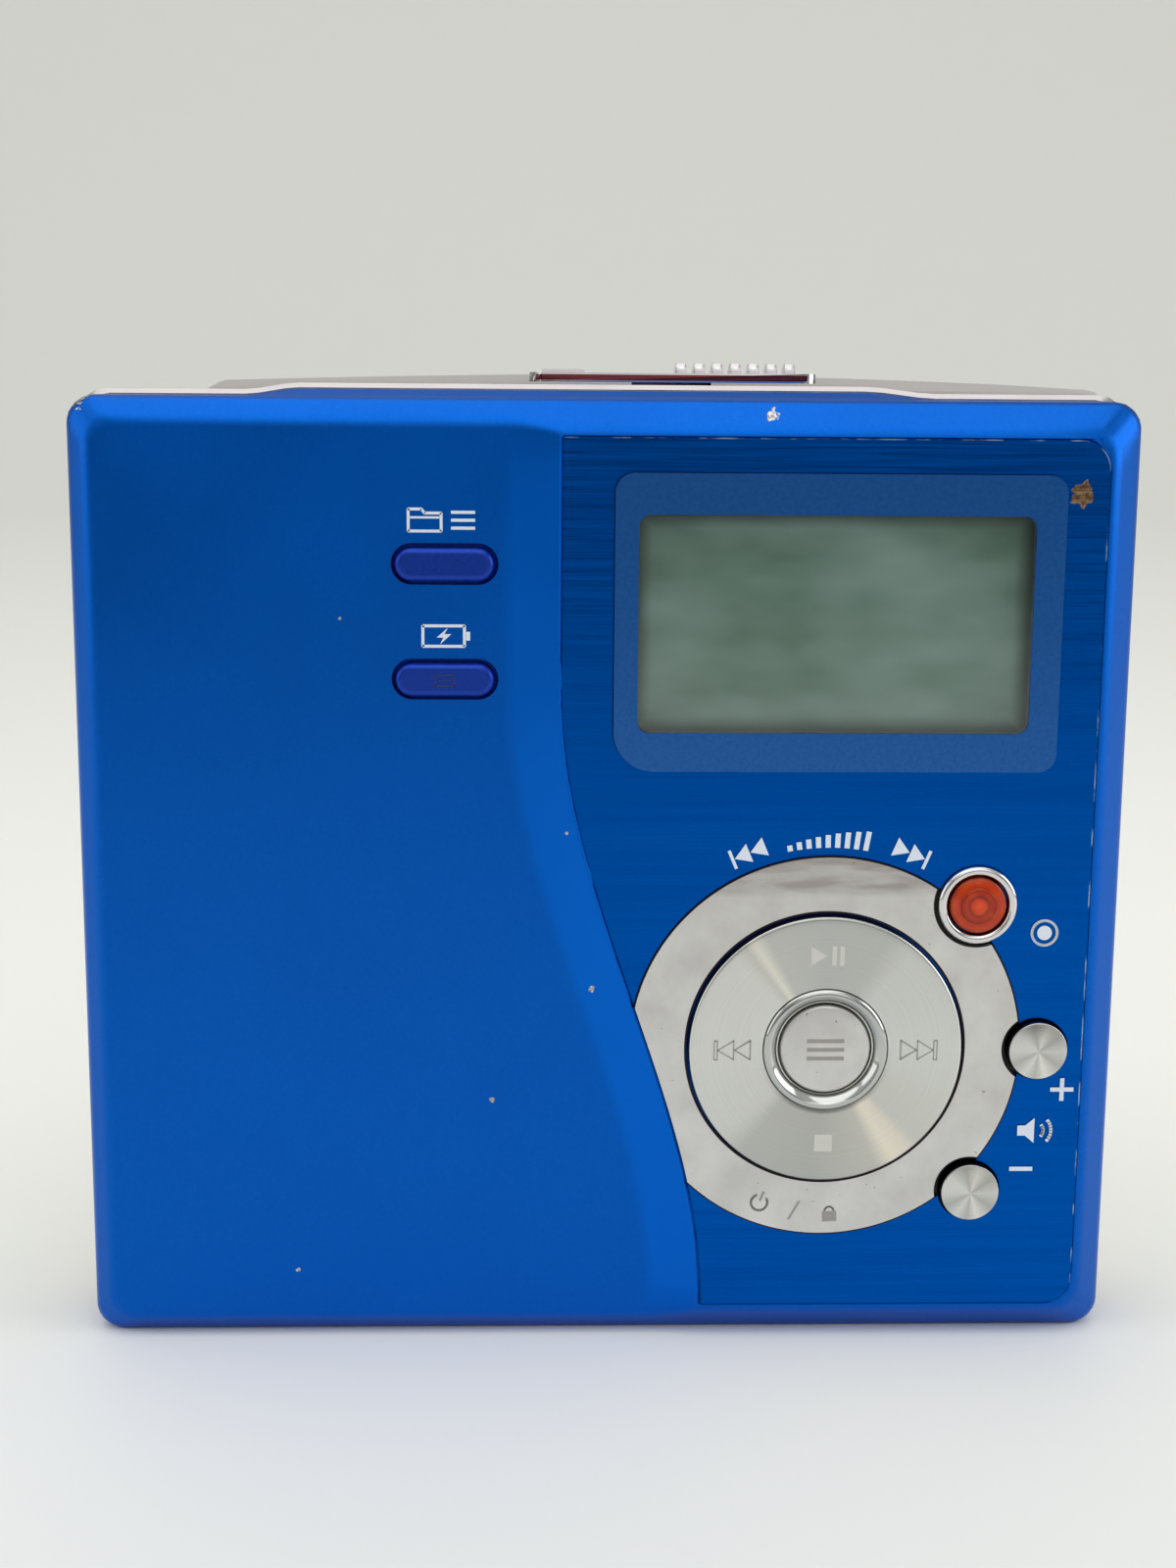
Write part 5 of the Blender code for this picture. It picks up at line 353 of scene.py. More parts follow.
def sheet(name, outline, front, back, finish, holes=()):
    """A flat piece between two depths, with holes cut right through it."""
    piece = as_object(name, prism(outline, front, back), finish)
    if holes:
        carve(piece, *(prism(hole, front - MM, back + MM) for hole in holes))
    return piece


def hand_over(piece, body, replaced=()):
    """Lets a finished piece ride on its body, for the nodes it replaces."""
    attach(piece, body)
    if replaced:
        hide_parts(*replaced)
    return piece


def stand_in(name, made, finish, body, node, edge=SMALL_EDGE):
    """A small piece that takes the place of one CAD node, with slightly rounded edges."""
    hand_over(soften(as_object(name, made, finish), edge), body, [node])


def dress(node, finish, width):
    """Gives a CAD node its finish and, unless the width is 0, rounded edges."""
    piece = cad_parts[node]
    piece.data.materials.clear()
    piece.data.materials.append(finish)
    if not width:
        return piece
    weld = piece.modifiers.new("Joined faces", "WELD")
    weld.merge_threshold = 0.000001
    return soften(piece, width)


# Geometry Nodes helpers

def new_tree(name, **inputs):
    """An empty node tree for a modifier, with named inputs of the given socket kinds."""
    tree = bpy.data.node_groups.new(name, "GeometryNodeTree")
    for label, kind in inputs.items():
        tree.interface.new_socket(label.replace("_", " "), in_out="INPUT",
                                  socket_type=f"NodeSocket{kind}")
    tree.interface.new_socket("Geometry", in_out="OUTPUT", socket_type="NodeSocketGeometry")
    return tree, add(tree, "NodeGroupInput").outputs


def end_tree(tree, instances, finish):
    """Realizes a tree's instances and gives them their finish."""
    real = add(tree, "GeometryNodeRealizeInstances", {"Geometry": instances})
    finished = add(tree, "GeometryNodeSetMaterial", {
        "Geometry": real.outputs["Geometry"], "Material": finish})
    add(tree, "NodeGroupOutput", {"Geometry": finished.outputs["Geometry"]})
    return tree


def grown(name, tree, points=(), **values):
    """An object whose mesh a node tree makes from its points and its named inputs."""
    mesh = bpy.data.meshes.new(name)
    mesh.from_pydata(points, [], [])
    piece = bpy.data.objects.new(name, mesh)
    bpy.context.scene.collection.objects.link(piece)
    step = piece.modifiers.new("Repeated shape", "NODES")
    step.node_group = tree
    for socket in tree.interface.items_tree:
        label = socket.name.replace(" ", "_")
        if label in values:
            step[socket.identifier] = values[label]
    bpy.context.view_layer.update()
    return settle(piece)


def row_of_blocks():
    """A row of blocks that taper towards their crest, such as thumb teeth or ribs."""
    tree, given = new_tree("Row of tapered blocks", Count="Int", Start="Vector", Pitch="Vector",
                           Foot="Vector", Crest_share="Float", Turn="Vector", Finish="Material")
    line = add(tree, "GeometryNodeMeshLine", {
        "Count": given["Count"], "Start Location": given["Start"], "Offset": given["Pitch"]})
    corner = math.sqrt(0.5)
    crest = math_node(tree, "MULTIPLY", given["Crest share"], corner)
    block = add(tree, "GeometryNodeMeshCone", {
        "Vertices": 4, "Radius Top": crest, "Radius Bottom": corner, "Depth": 1.0})
    square = add(tree, "GeometryNodeTransform", {
        "Geometry": block.outputs["Mesh"], "Rotation": (0.0, 0.0, QUARTER / 2)})
    row = add(tree, "GeometryNodeInstanceOnPoints", {
        "Points": line.outputs["Mesh"], "Instance": square.outputs["Geometry"],
        "Rotation": given["Turn"], "Scale": given["Foot"]})
    return end_tree(tree, row.outputs["Instances"], given["Finish"])


def screws_at_points():
    """Screws along Y with a cross recess, one at each point, each turned at random."""
    tree, given = new_tree("Screws at points", Points="Geometry", Head_radius="Float",
                           Head_thickness="Float", Shank_radius="Float", Shank_length="Float",
                           Recess="Float", Seed="Int", Finish="Material")
    thickness, recess = given["Head thickness"], given["Recess"]
    head = add(tree, "GeometryNodeMeshCylinder", {
        "Vertices": 48, "Radius": given["Head radius"], "Depth": thickness})
    arm = math_node(tree, "MULTIPLY", recess, 0.36)
    cross = add(tree, "GeometryNodeMeshBoolean", {"Mesh 1": head.outputs["Mesh"]},
                operation="DIFFERENCE")
    raised = combined(tree, z=math_node(tree, "MULTIPLY", thickness, 0.5))
    for long, short in ((recess, arm), (arm, recess)):
        cube = add(tree, "GeometryNodeMeshCube", {"Size": combined(tree, long, short, thickness)})
        moved = add(tree, "GeometryNodeTransform", {
            "Geometry": cube.outputs["Mesh"], "Translation": raised})
        tree.links.new(moved.outputs["Geometry"], cross.inputs["Mesh 2"])
    shank = add(tree, "GeometryNodeMeshCylinder", {
        "Vertices": 24, "Radius": given["Shank radius"], "Depth": given["Shank length"]})
    drop = math_node(
        tree, "MULTIPLY", math_node(tree, "ADD", given["Shank length"], thickness), -0.5)
    lowered = add(tree, "GeometryNodeTransform", {
        "Geometry": shank.outputs["Mesh"], "Translation": combined(tree, z=drop)})
    whole = add(tree, "GeometryNodeJoinGeometry", {"Geometry": cross.outputs["Mesh"]})
    tree.links.new(lowered.outputs["Geometry"], whole.inputs["Geometry"])
    spin = add(tree, "FunctionNodeRandomValue", {"Seed": given["Seed"]}, data_type="FLOAT")
    turn = combined(tree, -QUARTER, math_node(tree, "MULTIPLY", spin.outputs["Value"], QUARTER))
    placed = add(tree, "GeometryNodeInstanceOnPoints", {
        "Points": given["Points"], "Instance": whole.outputs["Geometry"], "Rotation": turn})
    return end_tree(tree, placed.outputs["Instances"], given["Finish"])


# Material helpers

def linear(hex_colour):
    """Linear RGBA of an sRGB hex value."""
    channels = []
    for i in (1, 3, 5):
        value = int(hex_colour[i:i + 2], 16) / 255
        channels.append(value / 12.92 if value <= 0.04045 else ((value + 0.055) / 1.055) ** 2.4)
    return (*channels, 1.0)


def add(tree, kind, inputs=None, **settings):
    """Adds a node with its settings, and sets or links its inputs."""
    made = tree.nodes.new(kind)
    for name, value in settings.items():
        setattr(made, name, value)
    for name, value in (inputs or {}).items():
        if isinstance(value, bpy.types.NodeSocket):
            tree.links.new(value, made.inputs[name])
        else:
            made.inputs[name].default_value = value
    return made


def surface(name, colour, roughness, metallic=0.0, **constants):
    """A Principled material whose plain values stand on the shader's own sockets."""
    made = bpy.data.materials.new(name)
    made.use_nodes = True
    shader = made.node_tree.nodes["Principled BSDF"]
    shader.inputs["Base Color"].default_value = linear(colour)
    shader.inputs["Roughness"].default_value = roughness
    shader.inputs["Metallic"].default_value = metallic
    for socket, value in constants.items():
        shader.inputs[socket.replace("_", " ")].default_value = value
    return made, made.node_tree, shader


def feed(tree, shader, **sources):
    """Links sources to the shader's sockets."""
    for socket, source in sources.items():
        tree.links.new(source, shader.inputs[socket.replace("_", " ")])


def place(tree):
    """The Object coordinates of the surface, in metres."""
    return add(tree, "ShaderNodeTexCoord").outputs["Object"]


def along(tree, axis):
    """The surface's place along one axis, in metres."""
    return add(tree, "ShaderNodeSeparateXYZ", {"Vector": place(tree)}).outputs[axis]


def combined(tree, x=0.0, y=0.0, z=0.0):
    """A vector from its three parts."""
    return add(tree, "ShaderNodeCombineXYZ", {"X": x, "Y": y, "Z": z}).outputs["Vector"]


def grain(tree, size, detail=2.0, stretch=(1.0, 1.0, 1.0), roughness=0.5):
    """Noise whose features measure about size metres, longer where stretch is above one."""
    scale = tuple(1.0 / (size * s) for s in stretch)
    spot = add(tree, "ShaderNodeMapping", {"Vector": place(tree), "Scale": scale})
    noise = add(tree, "ShaderNodeTexNoise", {
        "Vector": spot.outputs["Vector"], "Scale": 1.0, "Detail": detail,
        "Roughness": roughness})
    return noise.outputs["Fac"]


def spread(tree, value, low, high, start=0.3, end=0.7):
    """A value from low to high as the input goes from start to end."""
    return add(tree, "ShaderNodeMapRange", {
        "Value": value, "From Min": start, "From Max": end, "To Min": low,
        "To Max": high}).outputs["Result"]


def blend(tree, factor, first, second):
    """Mixes two colours by a factor."""
    mix = add(tree, "ShaderNodeMix", {"Factor": factor}, data_type="RGBA")
    for socket, value in ((mix.inputs[6], first), (mix.inputs[7], second)):
        if isinstance(value, bpy.types.NodeSocket):
            tree.links.new(value, socket)
        else:
            socket.default_value = linear(value)
    return mix.outputs[2]


def math_node(tree, operation, first, second=0.0):
    """One step of arithmetic."""
    return add(tree, "ShaderNodeMath", {0: first, 1: second}, operation=operation).outputs[0]


def mottled(tree, size, first, second, most=1.0, detail=2.0):
    """A colour clouded by at most a share of a second one, in spots of about a size."""
    return blend(tree, spread(tree, grain(tree, size, detail), 0.0, most), first, second)


def relief(tree, shader, height, depth, strength=1.0):
    """Bump of a real depth in metres from a height between 0 and 1."""
    bump = add(tree, "ShaderNodeBump", {"Height": height, "Distance": depth,
                                        "Strength": strength})
    tree.links.new(bump.outputs["Normal"], shader.inputs["Normal"])


def folded(tree, operation, values):
    """One value from several, by the same step of arithmetic."""
    result = values[0]
    for value in values[1:]:
        result = math_node(tree, operation, result, value)
    return result


def hypotenuse(tree, across, up):
    """Length of a step across and up."""
    squares = [math_node(tree, "MULTIPLY", side, side) for side in (across, up)]
    return math_node(tree, "SQRT", math_node(tree, "ADD", *squares))


def distance_to(tree, x, z):
    """Distance in the front view from a point, with its two parts, in metres."""
    across = math_node(tree, "SUBTRACT", along(tree, "X"), x)
    up = math_node(tree, "SUBTRACT", along(tree, "Z"), z)
    return hypotenuse(tree, across, up), across, up


def nearest_edge(tree, edges):
    """Depth inside the nearest of some edges, each an axis, a place and its inner side."""
    return folded(tree, "MINIMUM", [
        math_node(tree, "MULTIPLY", math_node(tree, "SUBTRACT", along(tree, axis), edge), side)
        for axis, edge, side in edges])


def ragged_spot(tree, x, z, radius, fray, size):
    """1 within a radius of a point, where noise of a size frays the edge."""
    away, _across, _up = distance_to(tree, x, z)
    frayed = math_node(tree, "ADD", away, spread(tree, grain(tree, size, 3.0), -fray, fray))
    return math_node(tree, "LESS_THAN", frayed, radius)


def ramped(tree, factor, stops):
    """A colour ramp through (position, hex value) stops."""
    ramp = add(tree, "ShaderNodeValToRGB", {"Fac": factor})
    made = ramp.color_ramp.elements
    made[0].color, made[1].color = linear(stops[0][1]), linear(stops[-1][1])
    for position, colour in stops[1:-1]:
        made.new(position).color = linear(colour)
    return ramp.outputs["Color"]


# Finishes

PLATE_CORNER = 2.2 * MM
# Dark line at the gaps round the dial and keys: dirt and painted shade of the gaps.
GAP_SHADE_AND_DIRT = "#2A2026"
CHIPS = (
    (0.0120, 0.0712, 0.0006),
    (-0.0388, 0.0722, 0.0010),
    (-0.0197, 0.0562, 0.00018),
    (-0.0030, 0.0505, 0.00014),
    (-0.0029, 0.0402, 0.00020),
    (-0.0009, 0.0280, 0.00030),
    (-0.0085, 0.0192, 0.00028),
    (-0.0235, 0.0055, 0.00022),
)


def panel_side(tree, lid):
    """Distance to the right of the panel edge, in metres, negative on the ramp."""
    climb = add(tree, "ShaderNodeMapRange", {
        "Value": along(tree, "Z"), "From Min": lid.edge_top,
        "From Max": lid.edge_top - lid.edge_height}, interpolation_type="SMOOTHSTEP")
    shift = math_node(tree, "MULTIPLY", climb.outputs["Result"], lid.edge_shift)
    edge = math_node(tree, "ADD", shift, lid.edge_left)
    return math_node(tree, "SUBTRACT", along(tree, "X"), edge)


def satin_lacquer(lid):
    """Metallic lacquer sprayed on die-cast magnesium: a satin sheen with fine flakes, a painted
    highlight that makes it paler over the ramp, and bare alloy where it has chipped."""
    made, tree, shader = surface("satin_lacquer_on_magnesium", lid.lacquer, 0.36, 1.0,
                                 Coat_Weight=0.08, Coat_Roughness=0.22)
    flecked = mottled(tree, 0.25 * MM, lid.lacquer, "#1470DC", 0.16, 1.0)
    height, right_of_edge = along(tree, "Z"), panel_side(tree, lid)
    # Painted highlight: the ramp is painted paler where it catches more light, fading out towards
    # its ends.
    ramp = folded(tree, "MULTIPLY", [
        spread(tree, height, 1.0, 0.0, 67.5 * MM, 70.4 * MM),
        spread(tree, height, 0.0, 1.0, 2.2 * MM, 4.5 * MM),
        spread(tree, right_of_edge, 0.0, 1.0, -4.3 * MM, -3.3 * MM),
        math_node(tree, "LESS_THAN", right_of_edge, 0.3 * MM)])
    flecked = blend(tree, ramp, flecked, lid.ramp_painted_highlight)
    worn = folded(tree, "MAXIMUM", [
        ragged_spot(tree, x, z, radius * 0.7, radius / 2, 0.5 * MM) for x, z, radius in CHIPS])
    bare = mottled(tree, 0.3 * MM, "#E4E2DC", "#6E6660")
    feed(tree, shader, Base_Color=blend(tree, worn, flecked, bare),
         Roughness=spread(tree, grain(tree, 11 * MM, 3.0), 0.33, 0.42))
    relief(tree, shader, grain(tree, 0.35 * MM), 0.004 * MM, 0.6)
    return made


def brushed_anodised(lid, high):
    """Blue anodised aluminium brushed along X: long fine lines that catch the light unevenly, the
    anodising rubbed off along the top and right edges, painted pale there also as a painted
    highlight of the edge catching the light, and burnt brown in one spot."""
    made, tree, shader = surface("brushed_anodised_aluminium", lid.plate_light, 0.3, 1.0)
    fine = grain(tree, lid.hairline, 2.0, (60.0, 1.0, 1.0))
    broad = grain(tree, 5 * lid.hairline, 2.0, (40.0, 1.0, 1.0))
    lines = math_node(tree, "MULTIPLY", math_node(tree, "ADD", fine, broad), 0.5)
    tone = blend(tree, spread(tree, lines, 0.25, 0.75, 0.34, 0.66), lid.plate_dark,
                 lid.plate_light)
    # Wear and painted highlight: a broken pale line along the top and right edges, partly bare
    # metal and partly the edge catching the light.
    _away, across, up = distance_to(tree, high.x - PLATE_CORNER, high.z - PLATE_CORNER)
    reach = hypotenuse(tree, *(math_node(tree, "MAXIMUM", side, 0.0) for side in (across, up)))
    edge = math_node(tree, "GREATER_THAN", reach, PLATE_CORNER - 0.10 * MM)
    patches = spread(tree, grain(tree, 2.4 * MM, 4.0), 0.0, 0.7, 0.48, 0.6)
    tone = blend(tree, math_node(tree, "MULTIPLY", edge, patches), tone, "#A9C2E4")
    burn = mottled(tree, 0.4 * MM, "#B89A78", "#6A4630")
    spot = ragged_spot(tree, 34.7 * MM, 65.6 * MM, 0.85 * MM, 0.6 * MM, 0.7 * MM)
    feed(tree, shader, Base_Color=blend(tree, spot, tone, burn),
         Roughness=spread(tree, fine, 0.24, 0.36))
    relief(tree, shader, fine, 0.004 * MM, 0.4)
    return made


def plated(name, colour, roughness=0.09, waves=0.0):
    """Chromium plating on a smooth moulding: a mirror with faint wiping marks, and with waves in
    metres the sink marks that break its glints."""
    made, tree, shader = surface(name, colour, roughness, 1.0)
    wiped = grain(tree, 3 * MM, 3.0, (2.0, 1.0, 1.0))
    feed(tree, shader, Roughness=spread(tree, wiped, roughness * 0.7, roughness * 1.7))
    if waves:
        relief(tree, shader, grain(tree, 1.4 * MM, 3.0, (3.0, 1.0, 1.0)), waves)
    return made


def striped_chromium(low, top):
    """Chromium plating on the opening knob, with a maroon painted reflection along its front."""
    chromium = "#C6C2C4"
    made, tree, shader = surface("striped_chromium", chromium, 0.16, 1.0)
    # Painted reflection: a maroon band along the knob's front stands in for what the chrome
    # mirrors there.
    depth = nearest_edge(tree, (
        ("Z", top - 0.56 * MM, 1.0), ("Z", top - 0.14 * MM, -1.0), ("Y", low.y + 0.9 * MM, -1.0),
        ("X", low.x + 0.5 * MM, 1.0), ("X", low.x + 21.0 * MM, -1.0)))
    painted_reflection = math_node(tree, "GREATER_THAN", depth, 0.0)
    feed(tree, shader, Base_Color=blend(tree, painted_reflection, chromium, "#6A3438"),
         Roughness=spread(tree, grain(tree, 2 * MM, 3.0), 0.12, 0.26))
    return made


def satin_silver(name, x, z, bore=0.0, rim=1.0):
    """Vapour-coated resin with a satin top coat: cloudy from handling, pitted, dark at its bore
    and rim with dirt and painted shade of the gaps there, and rubbed warm towards its top."""
    made, tree, shader = surface(name, "#D2D0CC", 0.34, 0.9)
    away, _across, up = distance_to(tree, x, z)
    cloud = grain(tree, 3.5 * MM, 4.0, roughness=0.6)
    toned = blend(tree, spread(tree, cloud, 0.0, 1.0), "#CCCAC7", "#DAD9D6")
    streak = spread(tree, grain(tree, 0.8 * MM, 3.0, (6.0, 1.0, 1.0)), 0.35, 0.85, 0.4, 0.6)
    near_top = spread(tree, up, 0.0, 1.0, 11.8 * MM, 12.6 * MM)
    toned = blend(tree, math_node(tree, "MULTIPLY", near_top, streak), toned, "#A29A96")
    pits = math_node(tree, "GREATER_THAN", grain(tree, 0.45 * MM), 0.76)
    shown = blend(tree, pits, toned, "#8F8A84")
    # Dirt and painted shade: a dark line at the bore and rim stands in for the shade in the gaps
    # beside them.
    line = 0.11 * MM
    gap_shade_and_dirt = math_node(tree, "MAXIMUM", math_node(tree, "LESS_THAN", away, bore + 1.5 * line),
                     math_node(tree, "GREATER_THAN", away, rim - line))
    feed(tree, shader, Base_Color=blend(tree, gap_shade_and_dirt, shown, GAP_SHADE_AND_DIRT),
         Roughness=spread(tree, cloud, 0.42, 0.28))
    relief(tree, shader, grain(tree, 0.3 * MM), 0.0015 * MM, 0.4)
    return made


# Painted highlights and shade: colours by angle in degrees round the dial's centre, standing in
# for the spun metal's glints.
DIAL_GLINTS = (
    (-180, "#DCDDD8"), (-139, "#D6D7D2"), (-128, "#BEBFBA"), (-95, "#B7B8B3"), (-66, "#C6C5BE"),
    (-58, "#EFE6D6"), (-50, "#E4DDD0"), (-45, "#CFCFC9"), (0, "#DADCD7"), (50, "#D1D2CE"),
    (62, "#BFC0BC"), (90, "#BBBCB9"), (118, "#C3C3BF"), (124, "#E6E2D7"), (128, "#CBC9C3"),
    (134, "#D7D8D3"), (180, "#DCDDD8"),
)
# Painted highlights and shade: colours by angle in degrees round each volume key's centre, for its
# glints.
KEY_GLINTS = (
    (-180, "#D8D8D4"), (-150, "#B8B8B4"), (-120, "#DCDCD8"), (-96, "#BCBCB8"), (-74, "#E6E4DE"),
    (-36, "#B4B4B0"), (0, "#D2D2CE"), (36, "#B2B2AE"), (72, "#DCDAD4"), (102, "#B4B4B0"),
    (142, "#DCDCD8"), (180, "#D8D8D4"),
)


def spun_metal(name, glints, x, z, rim):
    """Aluminium faced on a lathe: circular tool lines with painted glints and painted shade that
    fan out from the centre, and a dark line round its wall of dirt and painted shade of the gap."""
    made, tree, shader = surface(name, glints[0][1], 0.27, 1.0, Anisotropic=0.5)
    away, across, up = distance_to(tree, x, z)
    angle = math_node(tree, "ARCTAN2", up, across)
    turn = math_node(tree, "ADD", math_node(tree, "MULTIPLY", angle, 0.5 / math.pi), 0.5)
    # Painted highlights and shade: the fan of colours by angle stands in for the glints of the
    # spun metal.
    fan = ramped(tree, turn, [(degrees / 360 + 0.5, colour) for degrees, colour in glints])
    circles = add(tree, "ShaderNodeTexNoise", {
        "W": math_node(tree, "MULTIPLY", away, 1 / (0.12 * MM)), "Scale": 1.0, "Detail": 2.0},
        noise_dimensions="1D").outputs["Fac"]
    lined = blend(tree, spread(tree, circles, 0.0, 0.12), fan, "#8C8A86")
    # Dirt and painted shade: a dark line at the rim stands in for the shade in the gap round it.
    gap_shade_and_dirt = math_node(tree, "GREATER_THAN", away, rim - 0.07 * MM)
    tangent = combined(tree, math_node(tree, "MULTIPLY", up, -1.0), 0.0, across)
    unit = add(tree, "ShaderNodeVectorMath", {0: tangent}, operation="NORMALIZE")
    feed(tree, shader, Base_Color=blend(tree, gap_shade_and_dirt, lined, GAP_SHADE_AND_DIRT), Tangent=unit.outputs[0])
    relief(tree, shader, circles, 0.002 * MM, 0.4)
    return made


def moulded(name, colour, roughness, size=0.25, metallic=0.0, **constants):
    """Injection-moulded resin with the fine spark texture of its mould, size in millimetres."""
    made, tree, shader = surface(name, colour, roughness, metallic, **constants)
    texture = grain(tree, size * MM)
    feed(tree, shader, Roughness=spread(tree, texture, roughness * 0.85, roughness * 1.15))
    relief(tree, shader, texture, 0.006 * MM, 0.5)
    return made


def red_jewel(x, z, radius):
    """Clear red acrylic over a lamp well, its rings painted by radius: painted shade deep at its
    rim, and a painted glow where the well throws the light back."""
    made, tree, shader = surface(
        "red_clear_acrylic", "#C22A16", 0.12, 0.0, Specular_IOR_Level=0.35)
    away, _across, _up = distance_to(tree, x, z)
    # Painted light: rings by radius, bright in the middle and dark at the rim, stand in for the
    # light that the clear acrylic lets through.
    rings = ramped(tree, math_node(tree, "MULTIPLY", away, 1 / radius), (
        (0.0, "#D8481A"), (0.26, "#C22E10"), (0.34, "#6A0C06"), (0.46, "#A01C0C"),
        (0.60, "#7E1208"), (0.68, "#AC2A10"), (0.86, "#B83414"), (1.0, "#5E0A06")))
    feed(tree, shader, Base_Color=mottled(tree, 0.7 * MM, rings, "#E0601E", 0.3, 3.0))
    return made


def clear_acrylic():
    """Clear cast acrylic, polished: almost colourless, with a soft surface gloss."""
    made, _tree, _shader = surface(
        "clear_acrylic", "#F4F8F6", 0.04, 0.0, Transmission_Weight=1.0, IOR=1.49)
    return made


def screened_border(colour):
    """Blue-grey ink printed under the clear cover: glossy, with a faint pearl fleck."""
    made, tree, shader = surface(
        "screen_printed_border", colour, 0.30, 0.85, Coat_Weight=0.12, Coat_Roughness=0.05)
    feed(tree, shader, Base_Color=mottled(tree, 0.3 * MM, colour, "#3272BC", 0.35, 3.0))
    return made


def idle_crystal(colour, left, right, bottom, top):
    """Reflective liquid crystal with nothing shown: grey-green with painted clouds of reflection,
    and painted shade along its window's edges."""
    made, tree, shader = surface("idle_liquid_crystal", colour, 0.35)
    # Painted reflection: paler clouds over the screen colour.
    cloud = spread(tree, grain(tree, 5 * MM, 2.0, (1.8, 1.0, 0.8)), 0.0, 1.0, 0.2, 0.8)
    depth = nearest_edge(tree, (
        ("X", left, 1.0), ("X", right, -1.0), ("Z", bottom, 1.0), ("Z", top, -1.0)))
    shade = spread(tree, depth, 0.75, 0.0, 0.0, 1.1 * MM)
    feed(tree, shader, Base_Color=blend(
        tree, shade, blend(tree, cloud, colour, "#B0CCC4"), "#404C3A"))
    return made


def folded_steel(name="zinc_plated_sheet", colour="#A9ABAE", roughness=0.32):
    """Cold-rolled steel sheet, zinc plated: dull bright with rolling lines along X."""
    made, tree, shader = surface(name, colour, roughness, 1.0)
    lines = grain(tree, 0.3 * MM, 3.0, (25.0, 1.0, 1.0))
    feed(tree, shader, Base_Color=blend(tree, spread(tree, lines, 0.0, 0.5), colour, "#DADCDD"),
         Roughness=spread(tree, lines, roughness * 0.8, roughness * 1.2))
    return made


def solder_mask():
    """Green solder mask over copper tracks: glossy, with the tracks showing as paler lines."""
    made, tree, shader = surface("green_solder_mask", "#155A36", 0.28)
    upright = add(tree, "ShaderNodeMapping", {
        "Vector": place(tree), "Rotation": (QUARTER, 0.0, 0.0)})
    tracks = add(tree, "ShaderNodeTexBrick", {
        "Vector": upright.outputs["Vector"], "Color1": linear("#1C6A40"),
        "Color2": linear("#124E2E"), "Mortar": linear("#2F8A58"), "Scale": 1 / (4 * MM),
        "Mortar Size": 0.04, "Brick Width": 0.9, "Row Height": 0.35})
    feed(tree, shader, Base_Color=tracks.outputs["Color"])
    relief(tree, shader, tracks.outputs["Fac"], 0.03 * MM, 0.6)
    return made


def cast_zinc():
    """Die-cast zinc as it left the mould: dull grey with a grainy skin."""
    made, tree, shader = surface("die_cast_zinc", "#8B8C8F", 0.48, 1.0)
    skin_grain = grain(tree, 0.4 * MM, 3.0)
    feed(tree, shader, Roughness=spread(tree, skin_grain, 0.4, 0.58))
    relief(tree, shader, skin_grain, 0.012 * MM, 0.6)
    return made


def turned_brass():
    """Brass turned on an automatic lathe: warm and bright with fine tool marks."""
    made, tree, shader = surface("turned_brass", "#C9A24E", 0.24, 1.0)
    marks = grain(tree, 0.15 * MM, 2.0, (1.0, 6.0, 1.0))
    feed(tree, shader, Roughness=spread(tree, marks, 0.18, 0.34))
    return made


def coated_lens():
    """Moulded aspheric lens with a blue-violet coating, with a painted violet reflection towards
    its rim.
    """
    made, tree, shader = surface("coated_lens", "#3A4C86", 0.05, 0.2, Coat_Weight=1.0)
    away, _across, _up = distance_to(tree, *centre_of("objective_lens"))
    # Painted reflection: more violet towards the rim.
    outwards = spread(tree, away, 0.0, 1.0, 0.0, 2.2 * MM)
    feed(tree, shader, Base_Color=blend(tree, outwards, "#2C3C7A", "#7A4C9A"))
    return made


# Operators

